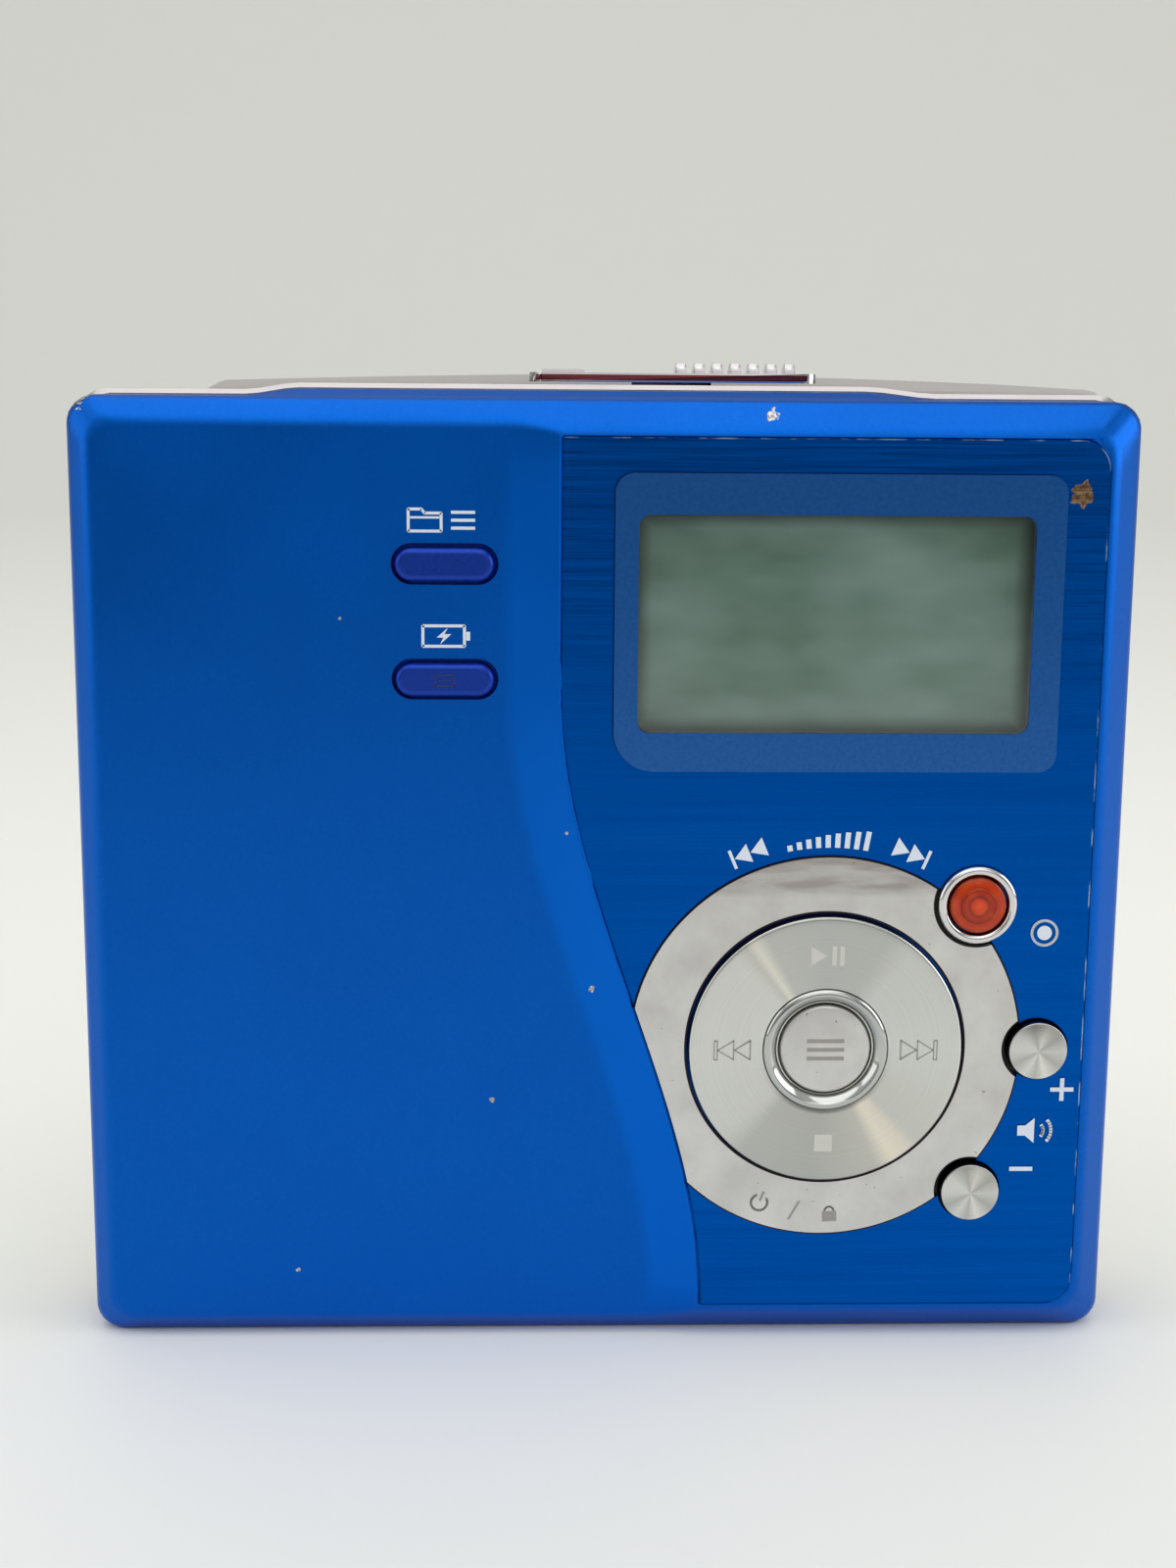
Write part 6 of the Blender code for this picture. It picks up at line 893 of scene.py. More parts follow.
class RECORDER_OT_stage(bpy.types.Operator):
    """Set the camera, the seamless backdrop and the soft studio lamps"""

    bl_idname = "recorder.stage"
    bl_label = "Stage"

    def execute(self, context):
        studio = context.scene.recorder_studio
        self.make_camera(context, studio)
        self.make_backdrop(studio)
        for name, power, size, spot, aim in (
            ("Softbox overhead", studio.top_light, 0.68, (-0.05, -0.10, 0.55), (0.0, 0.0, 0.03)),
            ("Softbox in front", studio.front_light, 0.60, (0.10, -0.75, 0.42),
             (0.0, 0.0, 0.04)),
            ("Card left", studio.left_light, 0.30, (-0.45, -0.12, 0.18), (0.0, 0.0, 0.04)),
            ("Card right", studio.right_light, 0.30, (0.45, -0.12, 0.18), (0.0, 0.0, 0.04)),
        ):
            self.make_lamp(context, name, power, size, Vector(spot), Vector(aim))
        self.make_world(context)
        context.scene.view_settings.view_transform = "Standard"
        return {"FINISHED"}

    def make_camera(self, context, studio):
        lens = bpy.data.cameras.new("Camera")
        lens.sensor_fit = "VERTICAL"
        lens.sensor_height = 36.0
        lens.lens = studio.camera_lens
        lens.clip_start = 0.01
        camera = bpy.data.objects.new("Camera", lens)
        context.scene.collection.objects.link(camera)
        upright = Matrix(((1, 0, 0), (0, 0, -1), (0, 1, 0))).to_4x4()
        into_view = (
            Matrix.Rotation(studio.camera_roll, 4, "Z")
            @ Matrix.Rotation(-studio.camera_heading, 4, "Y")
            @ Matrix.Rotation(studio.camera_pitch, 4, "X")
            @ upright)
        flip = Matrix.Diagonal((1, -1, -1, 1))
        place_of = Matrix.Translation(studio.camera_place)
        camera.matrix_world = place_of @ into_view.inverted() @ flip
        context.scene.camera = camera

    def make_backdrop(self, studio):
        """A floor that sweeps up into a wall, from a profile drawn sideways."""
        near, far, wall, radius, reach = -1.6, 0.34, 1.4, 0.26, 1.6
        profile = [(near, 0.0), (-0.4, 0.0), (0.0, 0.0)]
        for i in range(17):
            angle = QUARTER * i / 16
            profile.append((far - radius + radius * math.sin(angle),
                            radius - radius * math.cos(angle)))
        profile.append((far, wall))
        made = bmesh.new()
        rows = []
        for x in (-reach, reach):
            rows.append([made.verts.new((x, y, z)) for y, z in profile])
        for i in range(len(profile) - 1):
            made.faces.new((rows[0][i], rows[1][i], rows[1][i + 1], rows[0][i + 1]))
        finish, tree, shader = surface("matte_backdrop_paper", studio.floor_colour, 0.62)
        depth, height = along(tree, "Y"), along(tree, "Z")
        # Painted shade: the floor is darker before the recorder and far darker behind the camera.
        away = spread(tree, depth, 0.0, 1.0, -0.10, 0.06)
        floor = blend(tree, away, studio.near_floor_colour, studio.floor_colour)
        behind = spread(tree, depth, 1.0, 0.0, -0.60, -0.26)
        floor = blend(tree, behind, floor, studio.far_floor_painted_shadow)
        upwards = spread(tree, height, 0.0, 1.0, 0.0, 0.05)
        feed(tree, shader, Base_Color=blend(tree, upwards, floor, studio.wall_colour))
        backdrop = as_object("Backdrop", made, finish)
        backdrop.data.shade_smooth()

    def make_lamp(self, context, name, power, size, spot, aim):
        shape = bpy.data.lights.new(name, "AREA")
        shape.shape = "SQUARE"
        shape.size = size
        shape.energy = power
        lamp = bpy.data.objects.new(name, shape)
        lamp.location = spot
        lamp.rotation_euler = (aim - spot).to_track_quat("-Z", "Y").to_euler()
        context.scene.collection.objects.link(lamp)

    def make_world(self, context):
        """A pale room, dimmer behind the camera, for the metal to mirror."""
        world = bpy.data.worlds.new("Room")
        world.use_nodes = True
        tree = world.node_tree
        direction = add(tree, "ShaderNodeTexCoord").outputs["Generated"]
        axes = add(tree, "ShaderNodeSeparateXYZ", {"Vector": direction})
        room = ramped(tree, spread(tree, axes.outputs["Z"], 0.0, 1.0, -1.0, 1.0), (
            (0.0, "#D8D8D6"), (0.46, "#C4C4C2"), (0.60, "#BEBEBE"), (1.0, "#E6E6E4")))
        behind = add(tree, "ShaderNodeVectorMath", {
            0: direction, 1: Vector((0.05, -0.97, 0.12)).normalized()},
            operation="DOT_PRODUCT").outputs["Value"]
        dim = spread(tree, behind, 0.0, 0.85, math.cos(math.radians(38.0)),
                     math.cos(math.radians(10.0)))
        shade = tree.nodes["Background"]
        feed(tree, shade, Color=blend(tree, dim, room, "#2E2E30"))
        shade.inputs["Strength"].default_value = 0.82
        context.scene.world = world


def panel_edge(lid, z):
    """Where the left plateau's ramp ends and the brushed plate begins."""
    share = min(max((lid.edge_top - z) / lid.edge_height, 0.0), 1.0)
    return lid.edge_left + lid.edge_shift * share * share * (3 - 2 * share)


def edge_rise(lid, bottom, top, offset):
    """Points up the panel edge, moved right by an offset."""
    steps = 60
    heights = [bottom + (top - bottom) * i / steps for i in range(steps + 1)]
    return [(panel_edge(lid, z) + offset, z) for z in heights]


def plate_outline(lid, low, high, grow):
    """Outline of the brushed plate between its lowest and highest corner, grown outwards."""
    radius = PLATE_CORNER
    right, bottom, top = high.x + grow, low.z - grow, high.z + grow
    outline = arc(right - radius, bottom + radius, radius, 3 * QUARTER, 4 * QUARTER, 12)
    outline += arc(right - radius, top - radius, radius, 0, QUARTER, 12)
    return outline + edge_rise(lid, bottom, top, 0.2 * MM - grow)[::-1]


def bevel_share(x, z, half, top, inset):
    """How far inwards a point lies across the bevel: 0 on the outer edge, 1 on the ridge."""
    low, high = -0.4, 1.6
    for _step in range(12):
        share = (low + high) / 2
        radius = 2.1 * MM + 0.3 * MM * share
        reach_x = half - inset * share - radius
        reach_z = top / 2 - inset * share - radius
        past_x, past_z = abs(x) - reach_x, abs(z - top / 2) - reach_z
        away = math.hypot(max(past_x, 0.0), max(past_z, 0.0)) + min(max(past_x, past_z), 0.0)
        if away < radius:
            low = share
        else:
            high = share
    return (low + high) / 2


def face_depth(lid, x, z, half, top):
    """Depth of the lid's front face behind the right plateau."""
    inset, bevel, drop, ramp = 2.3 * MM, 2.1 * MM, 0.6 * MM, 4.1 * MM
    edge = panel_edge(lid, z)
    climb = min(max((x - edge + ramp) / ramp, 0.0), 1.0)
    plateau = drop * (1.0 - climb ** 1.6)
    share = bevel_share(x, z, half, top, inset)
    slope = bevel * (1.0 - share)
    roll = lid.rolled_edge
    inside = share * inset
    if inside < roll:
        slope += roll - math.sqrt(max(roll * roll - (roll - max(inside, 0.0)) ** 2, 0.0))
    if inside < 0.0:
        slope -= inside
    soft = lid.ridge_softness
    near = max(soft - abs(plateau - slope), 0.0) / soft
    return max(plateau, slope) + near * near * soft / 4


def ladder(stops):
    """Numbers from one stop to the next, each stretch in its own count of steps."""
    values = [stops[0][0]]
    for (start, _count), (end, count) in zip(stops, stops[1:]):
        values += [start + (end - start) * (i + 1) / count for i in range(count)]
    return values


def sculpted_block(lid):
    """A block whose front is the lid's face and whose back lies behind the whole lid."""
    low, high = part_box("lid_shell")
    half, top = high.x, high.z - 0.5 * MM
    bevel, past = 3.3 * MM, 1.5 * MM
    skin_depth = 0.015 * MM
    rows = []
    for z in ladder([(low.z - past, 0), (low.z + bevel, 32), (top - bevel, 60),
                     (high.z + past, 38)]):
        edge = panel_edge(lid, z)
        columns = ladder([
            (low.x - past, 0), (low.x + bevel, 30), (edge - 4.6 * MM, 14),
            (edge + 0.6 * MM, 14), (high.x - bevel, 14), (high.x + past, 30)])
        rows.append([(x, z) for x in columns])
    made = bmesh.new()
    back = high.y + past
    fronts, backs = [], []
    for row in rows:
        fronts.append([made.verts.new(
            (x, low.y + skin_depth + face_depth(lid, x, z, half, top), z)) for x, z in row])
        backs.append([made.verts.new((x, back, z)) for x, z in row])
    last = len(rows[0]) - 1
    for i in range(len(rows) - 1):
        for j in range(last):
            made.faces.new((fronts[i][j], fronts[i][j + 1], fronts[i + 1][j + 1],
                            fronts[i + 1][j]))
            made.faces.new((backs[i][j], backs[i + 1][j], backs[i + 1][j + 1],
                            backs[i][j + 1]))
        for j in (0, last):
            made.faces.new((fronts[i][j], fronts[i + 1][j], backs[i + 1][j], backs[i][j]))
    for i in (0, len(rows) - 1):
        for j in range(last):
            made.faces.new((fronts[i][j], fronts[i][j + 1], backs[i][j + 1], backs[i][j]))
    bmesh.ops.recalc_face_normals(made, faces=made.faces)
    return made


class RECORDER_OT_lid(bpy.types.Operator):
    """Lacquer the lid and lay in its brushed plate"""

    bl_idname = "recorder.lid"
    bl_label = "Lid and plate"

    def execute(self, context):
        lid = context.scene.recorder_lid
        self.make_shell(lid)
        self.make_plate(context, lid)
        self.make_film(context, lid)
        return {"FINISHED"}

    def make_shell(self, lid):
        """The lid with its front face sculpted by a rule: plateaus, ramp, bevel and soft edges."""
        shell = joined_copy("lid_shell", "lacquered_lid", satin_lacquer(lid))
        carve(shell, sculpted_block(lid), operation="INTERSECT")
        low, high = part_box("brushed_plate")
        recess = plate_outline(lid, low, high, 0.008 * MM)
        cutters = [prism(recess, low.y - MM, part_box("display_lens")[1].y + 0.05 * MM)]
        gap = 0.3 * MM
        for node, _body in PILL_KEYS:
            width, height = pill_size(node)
            opening = slot_outline(*centre_of(node), width + 2 * gap, height + 2 * gap, 32)
            cutters.append(prism(opening, low.y - MM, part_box(node)[1].y - FLANGE))
        carve(shell, *cutters)
        hand_over(crisp(shell), "lid", ["lid_shell"])

    def make_plate(self, context, lid):
        """The inlaid plate, open for the display, the dial's ring plate and three keys."""
        low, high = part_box("brushed_plate")
        gap = 0.05 * MM
        holes = [ring_points(*centre_of("nav_disc"), ring_radius() + gap), cover_outline(gap)]
        for node, radius in key_radii(context.scene.recorder_dial):
            holes.append(ring_points(*centre_of(node), radius))
        plate = sheet("hairline_plate", plate_outline(lid, low, high, 0.0), low.y + 0.11 * MM,
                      high.y, brushed_anodised(lid, high), holes)
        hand_over(soften(plate, 0.012 * MM), "lid", ["brushed_plate"])

    def make_film(self, context, lid):
        """The black adhesive film that holds the plate, a dark sheet that is also painted shade in
        the gaps in it.
        """
        low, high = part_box("brushed_plate")
        dial, gap = context.scene.recorder_dial, 0.06 * MM
        holes = [window_outline(context.scene.recorder_display, 0.3 * MM)]
        for node, radius in (("nav_disc", dial.bore_radius), ("rec_bezel", 2.8 * MM),
                             ("volume_up_button", dial.volume_radius),
                             ("volume_down_button", dial.volume_radius)):
            holes.append(ring_points(*centre_of(node), radius + gap))
        # Adhesive and painted shade: the black film shows through the gaps as their shade.
        film = sheet("plate_adhesive", plate_outline(lid, low, high, -0.3 * MM), high.y,
                     high.y + 0.04 * MM, moulded("black_adhesive_film", "#101116", 0.6, 0.5),
                     holes)
        hand_over(film, "lid")


def pill_size(node):
    """Width and height of an oblong key's cap, inside its flange."""
    low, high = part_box(node)
    flange = 1.3 * MM
    return high.x - low.x - flange, high.z - low.z - flange


def ring_radius():
    """Outer radius of the dial's ring plate."""
    low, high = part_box("dial_ring")
    return (high.z - low.z) / 2


def key_radii(dial):
    """The round openings beside the dial, as node and radius."""
    gap = 0.15 * MM
    return (
        ("rec_bezel", half_width("rec_bezel") + gap / 3),
        ("volume_up_button", dial.volume_radius + gap),
        ("volume_down_button", dial.volume_radius + gap),
    )


def cover_outline(grow):
    """Outline of the display's cover, with its rounder lower left corner."""
    low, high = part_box("display_lens")
    small, round_corner = 1.4 * MM + grow, 3.0 * MM + grow
    return rounded(low.x - grow, high.x + grow, low.z - grow, high.z + grow,
                   (round_corner, small, small, small))


def window_outline(display, grow):
    """Outline of the display's window."""
    low, _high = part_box("display_lens")
    left = low.x + display.window_left
    bottom = low.z + display.window_bottom
    radius = 0.9 * MM + grow
    return rounded(left - grow, left + display.window_width + grow, bottom - grow,
                   bottom + display.window_height + grow, (radius,) * 4)


class RECORDER_OT_display(bpy.types.Operator):
    """Build the display: printed border, clear pane and liquid crystal"""

    bl_idname = "recorder.display"
    bl_label = "Display"

    def execute(self, context):
        display = context.scene.recorder_display
        low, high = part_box("display_lens")
        border = sheet("display_border", cover_outline(0.0), low.y, high.y,
                       screened_border(display.border_colour), [window_outline(display, 0.0)])
        hand_over(soften(border, 0.28 * MM, 4), "lid", ["display_lens"])
        front = low.y + 0.12 * MM
        pane = sheet("display_pane", window_outline(display, -0.02 * MM), front,
                     front + 0.3 * MM, clear_acrylic())
        hand_over(pane, "lid")
        self.make_crystal(display)
        return {"FINISHED"}

    def make_crystal(self, display):
        """The liquid crystal module behind the window."""
        low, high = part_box("display_panel")
        sides, heights = zip(*window_outline(display, 0.0))
        finish = idle_crystal(display.screen_colour, min(sides), max(sides), min(heights),
                              max(heights))
        outline = rounded(low.x, high.x, low.z, high.z, (0.6 * MM,) * 4)
        module = sheet("crystal_module", outline, low.y, high.y, finish)
        hand_over(soften(module, 0.1 * MM), "lid", ["display_panel"])


class RECORDER_OT_dial(bpy.types.Operator):
    """Build the dial: ring plate, spun disc, chrome collar and centre key"""

    bl_idname = "recorder.dial"
    bl_label = "Dial"

    def execute(self, context):
        dial = context.scene.recorder_dial
        x, z = centre_of("nav_disc")
        self.make_ring(context, dial, x, z)
        self.make_disc(dial, x, z)
        self.make_collar(dial, x, z)
        self.make_centre_key(dial, x, z)
        return {"FINISHED"}

    def make_ring(self, context, dial, x, z):
        low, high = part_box("dial_ring")
        left = [(low.x - 10 * MM, high.z + MM), (low.x - 10 * MM, low.z - MM)]
        left += edge_rise(context.scene.recorder_lid, low.z - MM, high.z + MM, 0.2 * MM)
        holes = [ring_points(x, z, dial.bore_radius, 160), left]
        for node, radius in key_radii(dial):
            holes.append(ring_points(*centre_of(node), radius + 0.28 * MM))
        finish = satin_silver("satin_silver_coating", x, z, dial.bore_radius, ring_radius())
        ring = sheet("ring_plate", ring_points(x, z, ring_radius(), 160), low.y, high.y, finish,
                     holes)
        hand_over(soften(ring, 0.08 * MM, 3), "lid", ["dial_ring"])

    def make_disc(self, dial, x, z):
        low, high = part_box("nav_disc")
        radius = half_width("nav_disc")
        bore = dial.menu_radius + 0.15 * MM
        seat, boss, dish, roll = 4.8 * MM, 5.0 * MM, 0.12 * MM, 0.3 * MM
        skirt = low.y + 0.58 * MM
        floor = skirt - 0.02 * MM
        profile = [(bore, skirt), (bore, floor), (seat, floor), (seat, low.y + dish)]
        for i in range(1, 13):
            share = i / 12
            profile.append((seat + (radius - roll - seat) * share,
                            low.y + dish * (1 - share) ** 2))
        profile += rolled(radius, low.y, roll, 0.25 * MM)
        profile += [(radius, skirt), (boss, skirt), (boss, high.y), (bore, high.y)]
        finish = spun_metal("spun_dial_metal", DIAL_GLINTS, x, z, radius)
        stand_in("dial_disc", turned_ring(profile, x, z, 160), finish, "nav_dial",
                 "nav_disc", 0.03 * MM)

    def make_collar(self, dial, x, z):
        low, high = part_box("menu_collar")
        outer, bore, width = half_width("menu_collar"), dial.collar_radius, 0.42 * MM
        crest, back = outer - width, high.y + 0.25 * MM
        profile = [(bore, back), (bore, back - 0.06 * MM)]
        for i in range(1, 9):
            share = i / 8
            profile.append((bore + (crest - bore) * share ** 1.3,
                            low.y + (back - 0.1 * MM - low.y) * (1 - share) ** 1.2))
        profile += rolled(outer, low.y, width, 0.3 * MM, 8) + [(outer, back)]
        finish = plated("chromium_collar", "#BFC1BD")
        stand_in("chrome_collar", turned_ring(profile, x, z, 128), finish, "nav_dial",
                 "menu_collar")

    def make_centre_key(self, dial, x, z):
        low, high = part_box("menu_button")
        radius, roll, fall = dial.menu_radius, 0.25 * MM, 0.10 * MM
        flange, shank = half_width("menu_button"), 1.6 * MM
        flange_front, flange_back = low.y + 1.65 * MM, low.y + 2.1 * MM
        profile = domed(radius - roll, low.y, fall, 10)
        profile += rolled(radius, low.y + fall, roll, roll)
        profile += [(radius, flange_front), (flange, flange_front), (flange, flange_back),
                    (shank, flange_back), (shank, high.y)]
        finish = satin_silver("satin_centre_key", x, z)
        stand_in("centre_key", turned(profile, x, z), finish, "menu_key",
                 "menu_button")


class RECORDER_OT_round_keys(bpy.types.Operator):
    """Build the red record key in its bezel and the two volume keys"""

    bl_idname = "recorder.round_keys"
    bl_label = "Round keys"

    def execute(self, context):
        dial = context.scene.recorder_dial
        self.make_bezel(dial)
        self.make_jewel(dial)
        for node, body in VOLUME_KEYS:
            self.make_volume_key(dial, node, body)
        return {"FINISHED"}

    def make_bezel(self, dial):
        low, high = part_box("rec_bezel")
        outer, bore, roll = half_width("rec_bezel"), dial.bezel_bore, 0.3 * MM
        middle, half = (outer + bore) / 2, (outer - bore) / 2
        profile = [(bore, high.y), (bore, low.y + roll)]
        for i in range(1, 16):
            turn = math.pi * i / 16
            profile.append((middle - half * math.cos(turn), low.y + roll * (1 - math.sin(turn))))
        profile += [(outer, low.y + roll), (outer, high.y)]
        finish = plated("chromium_bezel", "#DCDADA", 0.12)
        stand_in("record_bezel", turned_ring(profile, *centre_of("rec_bezel")), finish, "lid",
                 "rec_bezel")

    def make_jewel(self, dial):
        """The record key's cap, with a step round its raised middle."""
        front = front_of("rec_button")
        x, z = centre_of("rec_button")
        radius = dial.jewel_radius
        step = 0.62 * radius
        profile = domed(step * 0.92, front, 0.05 * MM, 8)
        profile += [(step, front + 0.08 * MM), (step + 0.05 * MM, front + 0.22 * MM)]
        profile += rolled(radius, front + 0.20 * MM, 0.3 * MM, 0.3 * MM)
        profile += key_tail(radius, "rec_button")
        stand_in("record_jewel", turned(profile, x, z), red_jewel(x, z, radius), "rec_key",
                 "rec_button")

    def make_volume_key(self, dial, node, body):
        front, fall = front_of(node), 0.16 * MM
        x, z = centre_of(node)
        radius = dial.volume_radius
        profile = domed(radius - 0.2 * MM, front, fall, 8)
        profile += rolled(radius, front + fall, 0.18 * MM, 0.2 * MM)
        profile += key_tail(radius, node)
        finish = spun_metal(f"spun_{node}", KEY_GLINTS, x, z, radius)
        stand_in(f"{body}_cap", turned(profile, x, z), finish, body, node)


def key_tail(radius, node):
    """The hidden end of a key: its shank and the flange behind the lid's wall."""
    flange, back = half_width(node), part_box(node)[1].y
    return [(radius, back - FLANGE), (flange, back - FLANGE), (flange, back)]


class RECORDER_OT_pill_keys(bpy.types.Operator):
    """Build the two oblong keys on the left plateau"""

    bl_idname = "recorder.pill_keys"
    bl_label = "Pill keys"

    def execute(self, context):
        finish = moulded("metallic_violet_resin", "#0C38A2", 0.3, 0.2, 0.7,
                         Coat_Weight=0.08, Coat_Roughness=0.12)
        dome = 0.45 * MM
        for node, body in PILL_KEYS:
            low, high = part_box(node)
            x, z = centre_of(node)
            width, height = pill_size(node)
            rings = []
            for i in range(9):
                turn = QUARTER * i / 8
                draw = dome * (1 - math.sin(turn))
                outline = slot_outline(x, z, width - 2 * draw, height - 2 * draw)
                rings.append((outline, low.y + dome * (1 - math.cos(turn))))
            shank_end = high.y - FLANGE
            wide = slot_outline(x, z, high.x - low.x, high.z - low.z)
            rings += [(slot_outline(x, z, width, height), shank_end), (wide, shank_end),
                      (wide, high.y)]
            cap = skin([[(px, y, pz) for px, pz in outline] for outline, y in rings])
            stand_in(f"{body}_cap", cap, finish, body, node)
        return {"FINISHED"}


class RECORDER_OT_case(bpy.types.Operator):
    """Finish the chromed middle frame, the back cover, the door and the hold switch"""

    bl_idname = "recorder.case"
    bl_label = "Frame and back"

    def execute(self, _context):
        dress("middle_frame", plated("chromium_frame", "#B8B3B4", 0.2, 0.012 * MM), 0.08 * MM)
        grey = moulded("silver_grey_lacquer", "#D6D3CF", 0.42)
        for node in ("back_shell", "battery_door"):
            dress(node, grey, 0.1 * MM)
        dress("hold_switch", moulded("grey_switch_resin", "#8E8C8A", 0.42), 0.06 * MM)
        return {"FINISHED"}


class RECORDER_OT_opener(bpy.types.Operator):
    """Build the chromed opening knob with its row of thumb teeth"""

    bl_idname = "recorder.opener"
    bl_label = "Opening knob"

    tooth_height: bpy.props.FloatProperty(
        name="Tooth height", description="How far the thumb teeth stand up", unit="LENGTH",
        default=0.00075)

    def execute(self, _context):
        low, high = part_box("open_knob")
        tooth = self.tooth_height
        top = high.z - tooth
        finish = striped_chromium(low, top)
        knob = joined_copy("open_knob", "opening_knob", finish)
        start = low.x + 10.95 * MM
        kept = [(low.x - MM, low.z - MM), (high.x + MM, low.z - MM), (high.x + MM, top),
                (start - MM / 4, top), (start - MM / 4, high.z), (low.x - MM, high.z)]
        carve(knob, prism(kept, low.y - MM, high.y + MM), operation="INTERSECT")
        hand_over(crisp(knob), "latch", ["open_knob"])
        foot, sunk = MM, 0.05 * MM
        teeth = grown("thumb_teeth", row_of_blocks(), Count=7,
                      Start=(start + foot / 2, (low.y + high.y) / 2, top - sunk),
                      Pitch=(1.37 * MM, 0.0, 0.0),
                      Foot=(foot, high.y - low.y - 0.1 * MM, tooth + sunk), Crest_share=0.7,
                      Turn=(0.0, 0.0, 0.0), Finish=finish)
        hand_over(soften(teeth, 0.05 * MM), "latch")
        return {"FINISHED"}


class RECORDER_OT_inside(bpy.types.Operator):
    """Give the hinges, drive, board, battery and sockets their finishes"""

    bl_idname = "recorder.inside"
    bl_label = "Inner pieces"

    def execute(self, _context):
        steel = folded_steel()
        spring = folded_steel("stainless_spring_sheet", "#B9BBBE", 0.24)
        ground = folded_steel("ground_steel", "#C4C5C7", 0.16)
        dark = moulded("black_filled_resin", "#2E3034", 0.5)
        yellow = moulded("yellow_resin", "#D8B23A", 0.42)
        zinc, brass, board = cast_zinc(), turned_brass(), solder_mask()
        acetal = moulded("natural_acetal", "#E8E6DC", 0.4)
        rubber = moulded("black_soft_rubber", "#2A2C2E", 0.7, 0.4)
        sleeve = moulded("printed_battery_sleeve", "#4E5866", 0.3, 0.6, 0.2)
        black_steel = folded_steel("blackened_screw_steel", "#3A3A3D", 0.34)
        for nodes, finish, width in (
            (("lid_inner_plate", "disc_holder", "chassis_plate", "head_bracket"), steel, 0.04),
            (("head_arm", "latch_bar", "dome_film"), spring, 0.03),
            (("latch_spring",), spring, 0.0),
            (("hinge_pin_left", "hinge_pin_right", "guide_rail_lower", "guide_rail_upper",
              "turntable", "spindle_motor", "sled_motor"), ground, 0.04),
            (("remote_jack", "line_jack", "magnetic_head", "nav_carrier"), dark, 0.05),
            (("dc_jack",), yellow, 0.05),
            (("pickup_sled",), zinc, 0.08),
            (("motor_pinion", "battery_contact_lower", "battery_contact_upper"), brass, 0.03),
            (("key_board", "main_board"), board, 0.03),
            (("drive_gear",), acetal, 0.02),
            (("chassis_damper_1", "chassis_damper_2", "chassis_damper_3",
              "chassis_damper_4"), rubber, 0.08),
            (("battery",), sleeve, 0.3),
            (("objective_lens",), coated_lens(), 0.0),
        ):
            for node in nodes:
                dress(node, finish, width * MM)
        self.make_screws(black_steel)
        return {"FINISHED"}

    def make_screws(self, finish):
        """The four case screws, grown at the places of their CAD nodes."""
        nodes = ["case_screw_lower_left", "case_screw_upper_left", "case_screw_lower_right",
                 "case_screw_upper_right"]
        low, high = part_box(nodes[0])
        thickness = 0.6 * MM
        points = []
        for x, z in map(centre_of, nodes):
            points.append((x, high.y - thickness / 2, z))
        screws = grown("case_screws", screws_at_points(), points,
                       Head_radius=half_width(nodes[0]), Head_thickness=thickness,
                       Shank_radius=0.5 * MM, Shank_length=high.y - low.y - thickness,
                       Recess=0.95 * MM, Seed=4, Finish=finish)
        hand_over(crisp(screws), "base", nodes)


# Symbols, drawn about their own centre with a height of about 1

def triangle(direction, x):
    """A play triangle about x that points right (1) or left (-1)."""
    reach = 0.4 * direction
    return [(x - reach, 0.5), (x - reach, -0.5), (x + reach, 0.0)]


def bar(x, width=0.22, height=1.0, z=0.0):
    """An upright bar."""
    return [(x - width / 2, z - height / 2), (x + width / 2, z - height / 2),
            (x + width / 2, z + height / 2), (x - width / 2, z + height / 2)]


def band(points, width, closed=False):
    """A line of points given a width, as a list of four-sided pieces."""
    pieces = []
    count = len(points) if closed else len(points) - 1
    for i in range(count):
        a, b = Vector(points[i]), Vector(points[(i + 1) % len(points)])
        along = (b - a).normalized() * width / 2
        side = Vector((-along.y, along.x))
        a, b = a - along * 0.3, b + along * 0.3
        pieces.append([tuple(a + side), tuple(a - side), tuple(b - side), tuple(b + side)])
    return pieces


def skip(direction):
    """Two triangles against a bar."""
    return [triangle(direction, -0.7 * direction), triangle(direction, 0.15 * direction),
            bar(0.66 * direction, 0.16)]


def outlined(shapes):
    """The outlines of shapes, as an engraver cuts them."""
    return [piece for shape in shapes for piece in band(shape, 0.07, True)]


def level_step(i):
    """One of nine steps that grow to the right, for a level."""
    height = 0.3 + 0.085 * i
    return [bar(0.0, 0.26, height, height / 2 - 0.5)]


PLAY_PAUSE = [triangle(1, -0.45), bar(0.32), bar(0.72)]
STOP = [bar(0.0, 0.9, 0.9)]
PLUS = [bar(0.0, 0.18)] + [bar(side * 0.295, 0.41, 0.18) for side in (-1, 1)]
MINUS = [bar(0.0, 1.0, 0.18)]
RECORD = [ring_points(0.0, 0.0, 0.28, 32)] + band(ring_points(0.0, 0.0, 0.48, 32), 0.1, True)
SPEAKER = [[(-0.75, -0.2), (-0.45, -0.2), (-0.1, -0.5), (-0.1, 0.5), (-0.45, 0.2), (-0.75, 0.2)]]
SPEAKER += band(arc(-0.1, 0.0, 0.35, -0.7, 0.7, 8), 0.12)
SPEAKER += band(arc(-0.1, 0.0, 0.65, -0.7, 0.7, 8), 0.12)
FOLDER = band([(-0.75, -0.5), (0.75, -0.5), (0.75, 0.32), (0.0, 0.32), (-0.15, 0.5),
               (-0.75, 0.5)], 0.13, True) + [bar(0.0, 1.4, 0.1, 0.12)]
FOLDER_LIST = [[(x - 0.9, z) for x, z in shape] for shape in FOLDER + [
    bar(1.75, 1.1, 0.14, z) for z in (-0.36, 0.0, 0.36)]]
CHARGING = band([(-0.9, -0.42), (0.8, -0.42), (0.8, 0.42), (-0.9, 0.42)], 0.12, True) + [
    bar(0.95, 0.16, 0.36),
    [(0.12, 0.34), (-0.34, -0.06), (-0.06, -0.06), (-0.2, -0.34), (0.26, 0.08), (-0.02, 0.08)]]
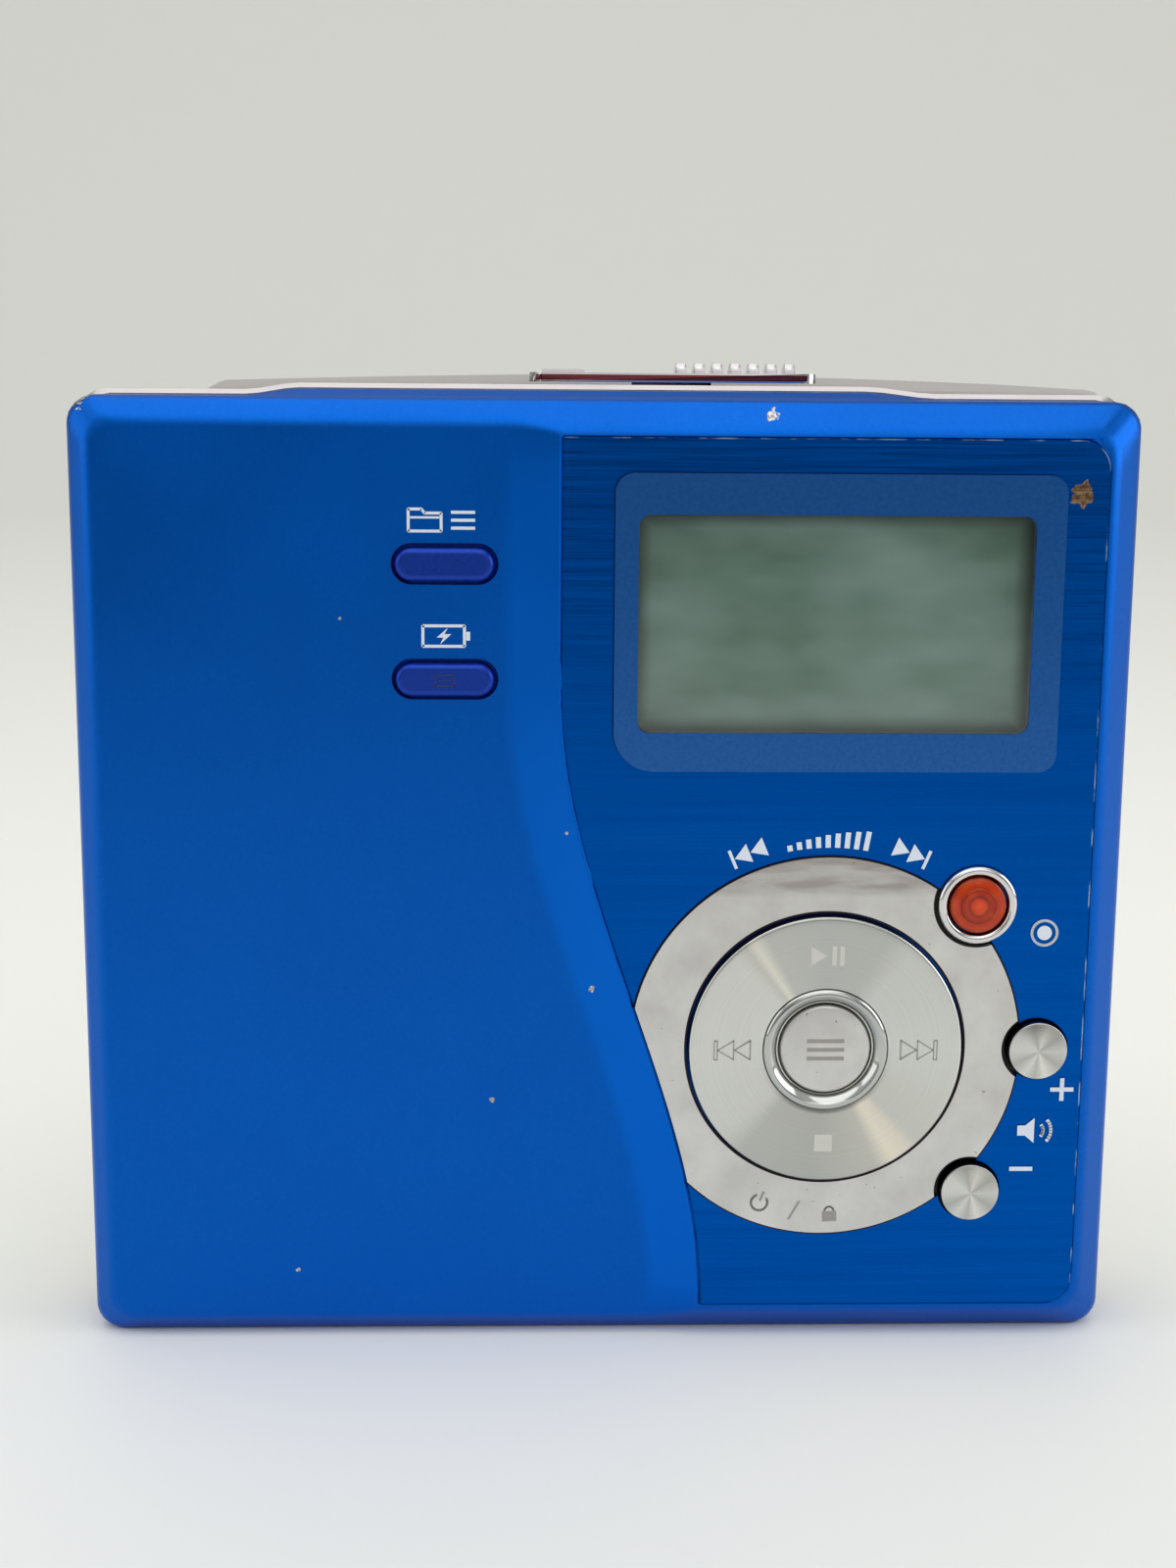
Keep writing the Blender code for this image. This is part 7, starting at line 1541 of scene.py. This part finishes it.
MENU = [bar(0.0, 1.5, 0.16, z) for z in (-0.36, 0.0, 0.36)]
POWER = band(arc(0.0, -0.05, 0.4, math.radians(125), math.radians(415), 24), 0.12) + [
    bar(0.0, 0.12, 0.5, 0.3)]
PADLOCK = band(arc(0.0, 0.05, 0.22, 0.0, math.pi, 12), 0.1) + [bar(0.0, 0.7, 0.52, -0.22)]
SLASH = [[(-0.24, -0.5), (-0.12, -0.5), (0.24, 0.5), (0.12, 0.5)]]
SCREEN = band([(-0.7, -0.4), (0.7, -0.4), (0.7, 0.4), (-0.7, 0.4)], 0.12, True) + [
    bar(0.0, 0.8, 0.1, 0.0)]


def around_dial(symbols, radius, size, lean):
    """Symbols on a circle about the dial, each given with its angle in degrees."""
    x, z = centre_of("nav_disc")
    placed = []
    for degrees, shapes in symbols:
        turn = math.radians(degrees)
        placed.append((shapes, x + radius * math.cos(turn), z + radius * math.sin(turn), size,
                       turn + lean))
    return placed


class RECORDER_OT_marks(bpy.types.Operator):
    """Print the white symbols on the lid and etch the ones on the metal"""

    bl_idname = "recorder.marks"
    bl_label = "Symbols"

    def execute(self, context):
        marks = context.scene.recorder_marks
        ink = moulded("white_pad_print", marks.ink, 0.5, 0.15)
        etched = moulded("etched_metal", marks.engraving, 0.55, 0.12, 0.7)
        dark = moulded("dark_pad_print", "#16245C", 0.5, 0.15)
        bright = moulded("worn_etching", "#D8D7D0", 0.5, 0.12, 0.7)
        x, z = centre_of("nav_disc")
        pill_x, upper_z = centre_of("group_button")
        _x, lower_z = centre_of("display_button")
        plate_y, disc_y = front_of("brushed_plate"), front_of("nav_disc") + 0.03 * MM
        above, orbit, size = 3.2 * MM, 7.4 * MM, 1.5 * MM
        beside_keys = [
            (SPEAKER, 33.5 * MM, 16.9 * MM, 2.0 * MM, 0.0),
            (PLUS, 35.3 * MM, 20.2 * MM, 1.8 * MM, 0.0),
            (MINUS, 32.4 * MM, 13.8 * MM, 1.8 * MM, 0.0),
            (RECORD, 33.4 * MM, 32.6 * MM, 2.0 * MM, 0.0),
        ]
        level = [(113.0, skip(-1)), (67.0, skip(1))]
        level += [(101.0 - 2.6 * i, level_step(i)) for i in range(9)]
        on_ring = ((249.0, POWER), (261.0, SLASH), (273.0, PADLOCK))
        for name, symbols, y, finish, body in (
            ("plate_symbols", beside_keys + around_dial(level, 16.4 * MM, size, -QUARTER),
             plate_y, ink, "lid"),
            ("lid_symbols", [(FOLDER_LIST, pill_x, upper_z + above, 1.6 * MM, 0.0),
                             (CHARGING, pill_x, lower_z + above, 1.8 * MM, 0.0)],
             plate_y + 0.72 * MM, ink, "lid"),
            ("ring_symbols", around_dial(on_ring, 13.2 * MM, 1.6 * MM, QUARTER),
             front_of("dial_ring"), etched, "lid"),
            ("worn_disc_symbols", [(PLAY_PAUSE, x, z + orbit, size, 0.0),
                                   (STOP, x, z - orbit, size, 0.0)], disc_y, bright, "nav_dial"),
            ("disc_symbols", [(outlined(skip(side)), x + side * orbit, z, size, 0.0)
                              for side in (-1, 1)], disc_y, etched, "nav_dial"),
            ("centre_key_symbol", [(MENU, x, z, 1.9 * MM, 0.0)],
             front_of("menu_button") + 0.01 * MM, etched, "menu_key"),
            ("display_key_symbol", [(SCREEN, pill_x, lower_z, MM, 0.0)],
             front_of("display_button"), dark, "display_key"),
        ):
            self.print_group(name, symbols, y, finish, body, marks.thickness)
        return {"FINISHED"}

    def print_group(self, name, symbols, y, finish, body, thickness):
        """Lays symbols on a face at y, sunk into it by their own thickness."""
        made = bmesh.new()
        for shapes, x, z, size, turn in symbols:
            cosine, sine = math.cos(turn) * size, math.sin(turn) * size
            for shape in shapes:
                spots = [(x + px * cosine - pz * sine, z + px * sine + pz * cosine)
                         for px, pz in shape]
                rows = []
                for depth in (y - thickness, y + 2 * thickness):
                    rows.append([made.verts.new((px, depth, pz)) for px, pz in spots])
                for i in range(len(spots)):
                    j = (i + 1) % len(spots)
                    made.faces.new((rows[0][i], rows[0][j], rows[1][j], rows[1][i]))
                made.faces.new(rows[0])
                made.faces.new(rows[1])
        bmesh.ops.recalc_face_normals(made, faces=made.faces)
        hand_over(as_object(name, made, finish), body)


# Panel and registration

OPERATORS = (
    RECORDER_OT_stage,
    RECORDER_OT_lid,
    RECORDER_OT_display,
    RECORDER_OT_dial,
    RECORDER_OT_round_keys,
    RECORDER_OT_pill_keys,
    RECORDER_OT_case,
    RECORDER_OT_opener,
    RECORDER_OT_inside,
    RECORDER_OT_marks,
)


class RECORDER_PT_panel(bpy.types.Panel):
    """Lists the recorder's operators"""

    bl_idname = "RECORDER_PT_panel"
    bl_label = "Minidisc Recorder"
    bl_space_type = "VIEW_3D"
    bl_region_type = "UI"
    bl_category = "Recorder"

    def draw(self, _context):
        for operator in OPERATORS:
            self.layout.operator(operator.bl_idname)


def register():
    for name, group in SETTINGS:
        bpy.utils.register_class(group)
        setattr(bpy.types.Scene, name, bpy.props.PointerProperty(type=group))
    for operator in OPERATORS:
        bpy.utils.register_class(operator)
    bpy.utils.register_class(RECORDER_PT_panel)


def unregister():
    bpy.utils.unregister_class(RECORDER_PT_panel)
    for operator in reversed(OPERATORS):
        bpy.utils.unregister_class(operator)
    for name, group in reversed(SETTINGS):
        delattr(bpy.types.Scene, name)
        bpy.utils.unregister_class(group)


def main():
    register()
    for operator in OPERATORS:
        group, name = operator.bl_idname.split(".")
        getattr(getattr(bpy.ops, group), name)()


if __name__ == "__main__":
    main()
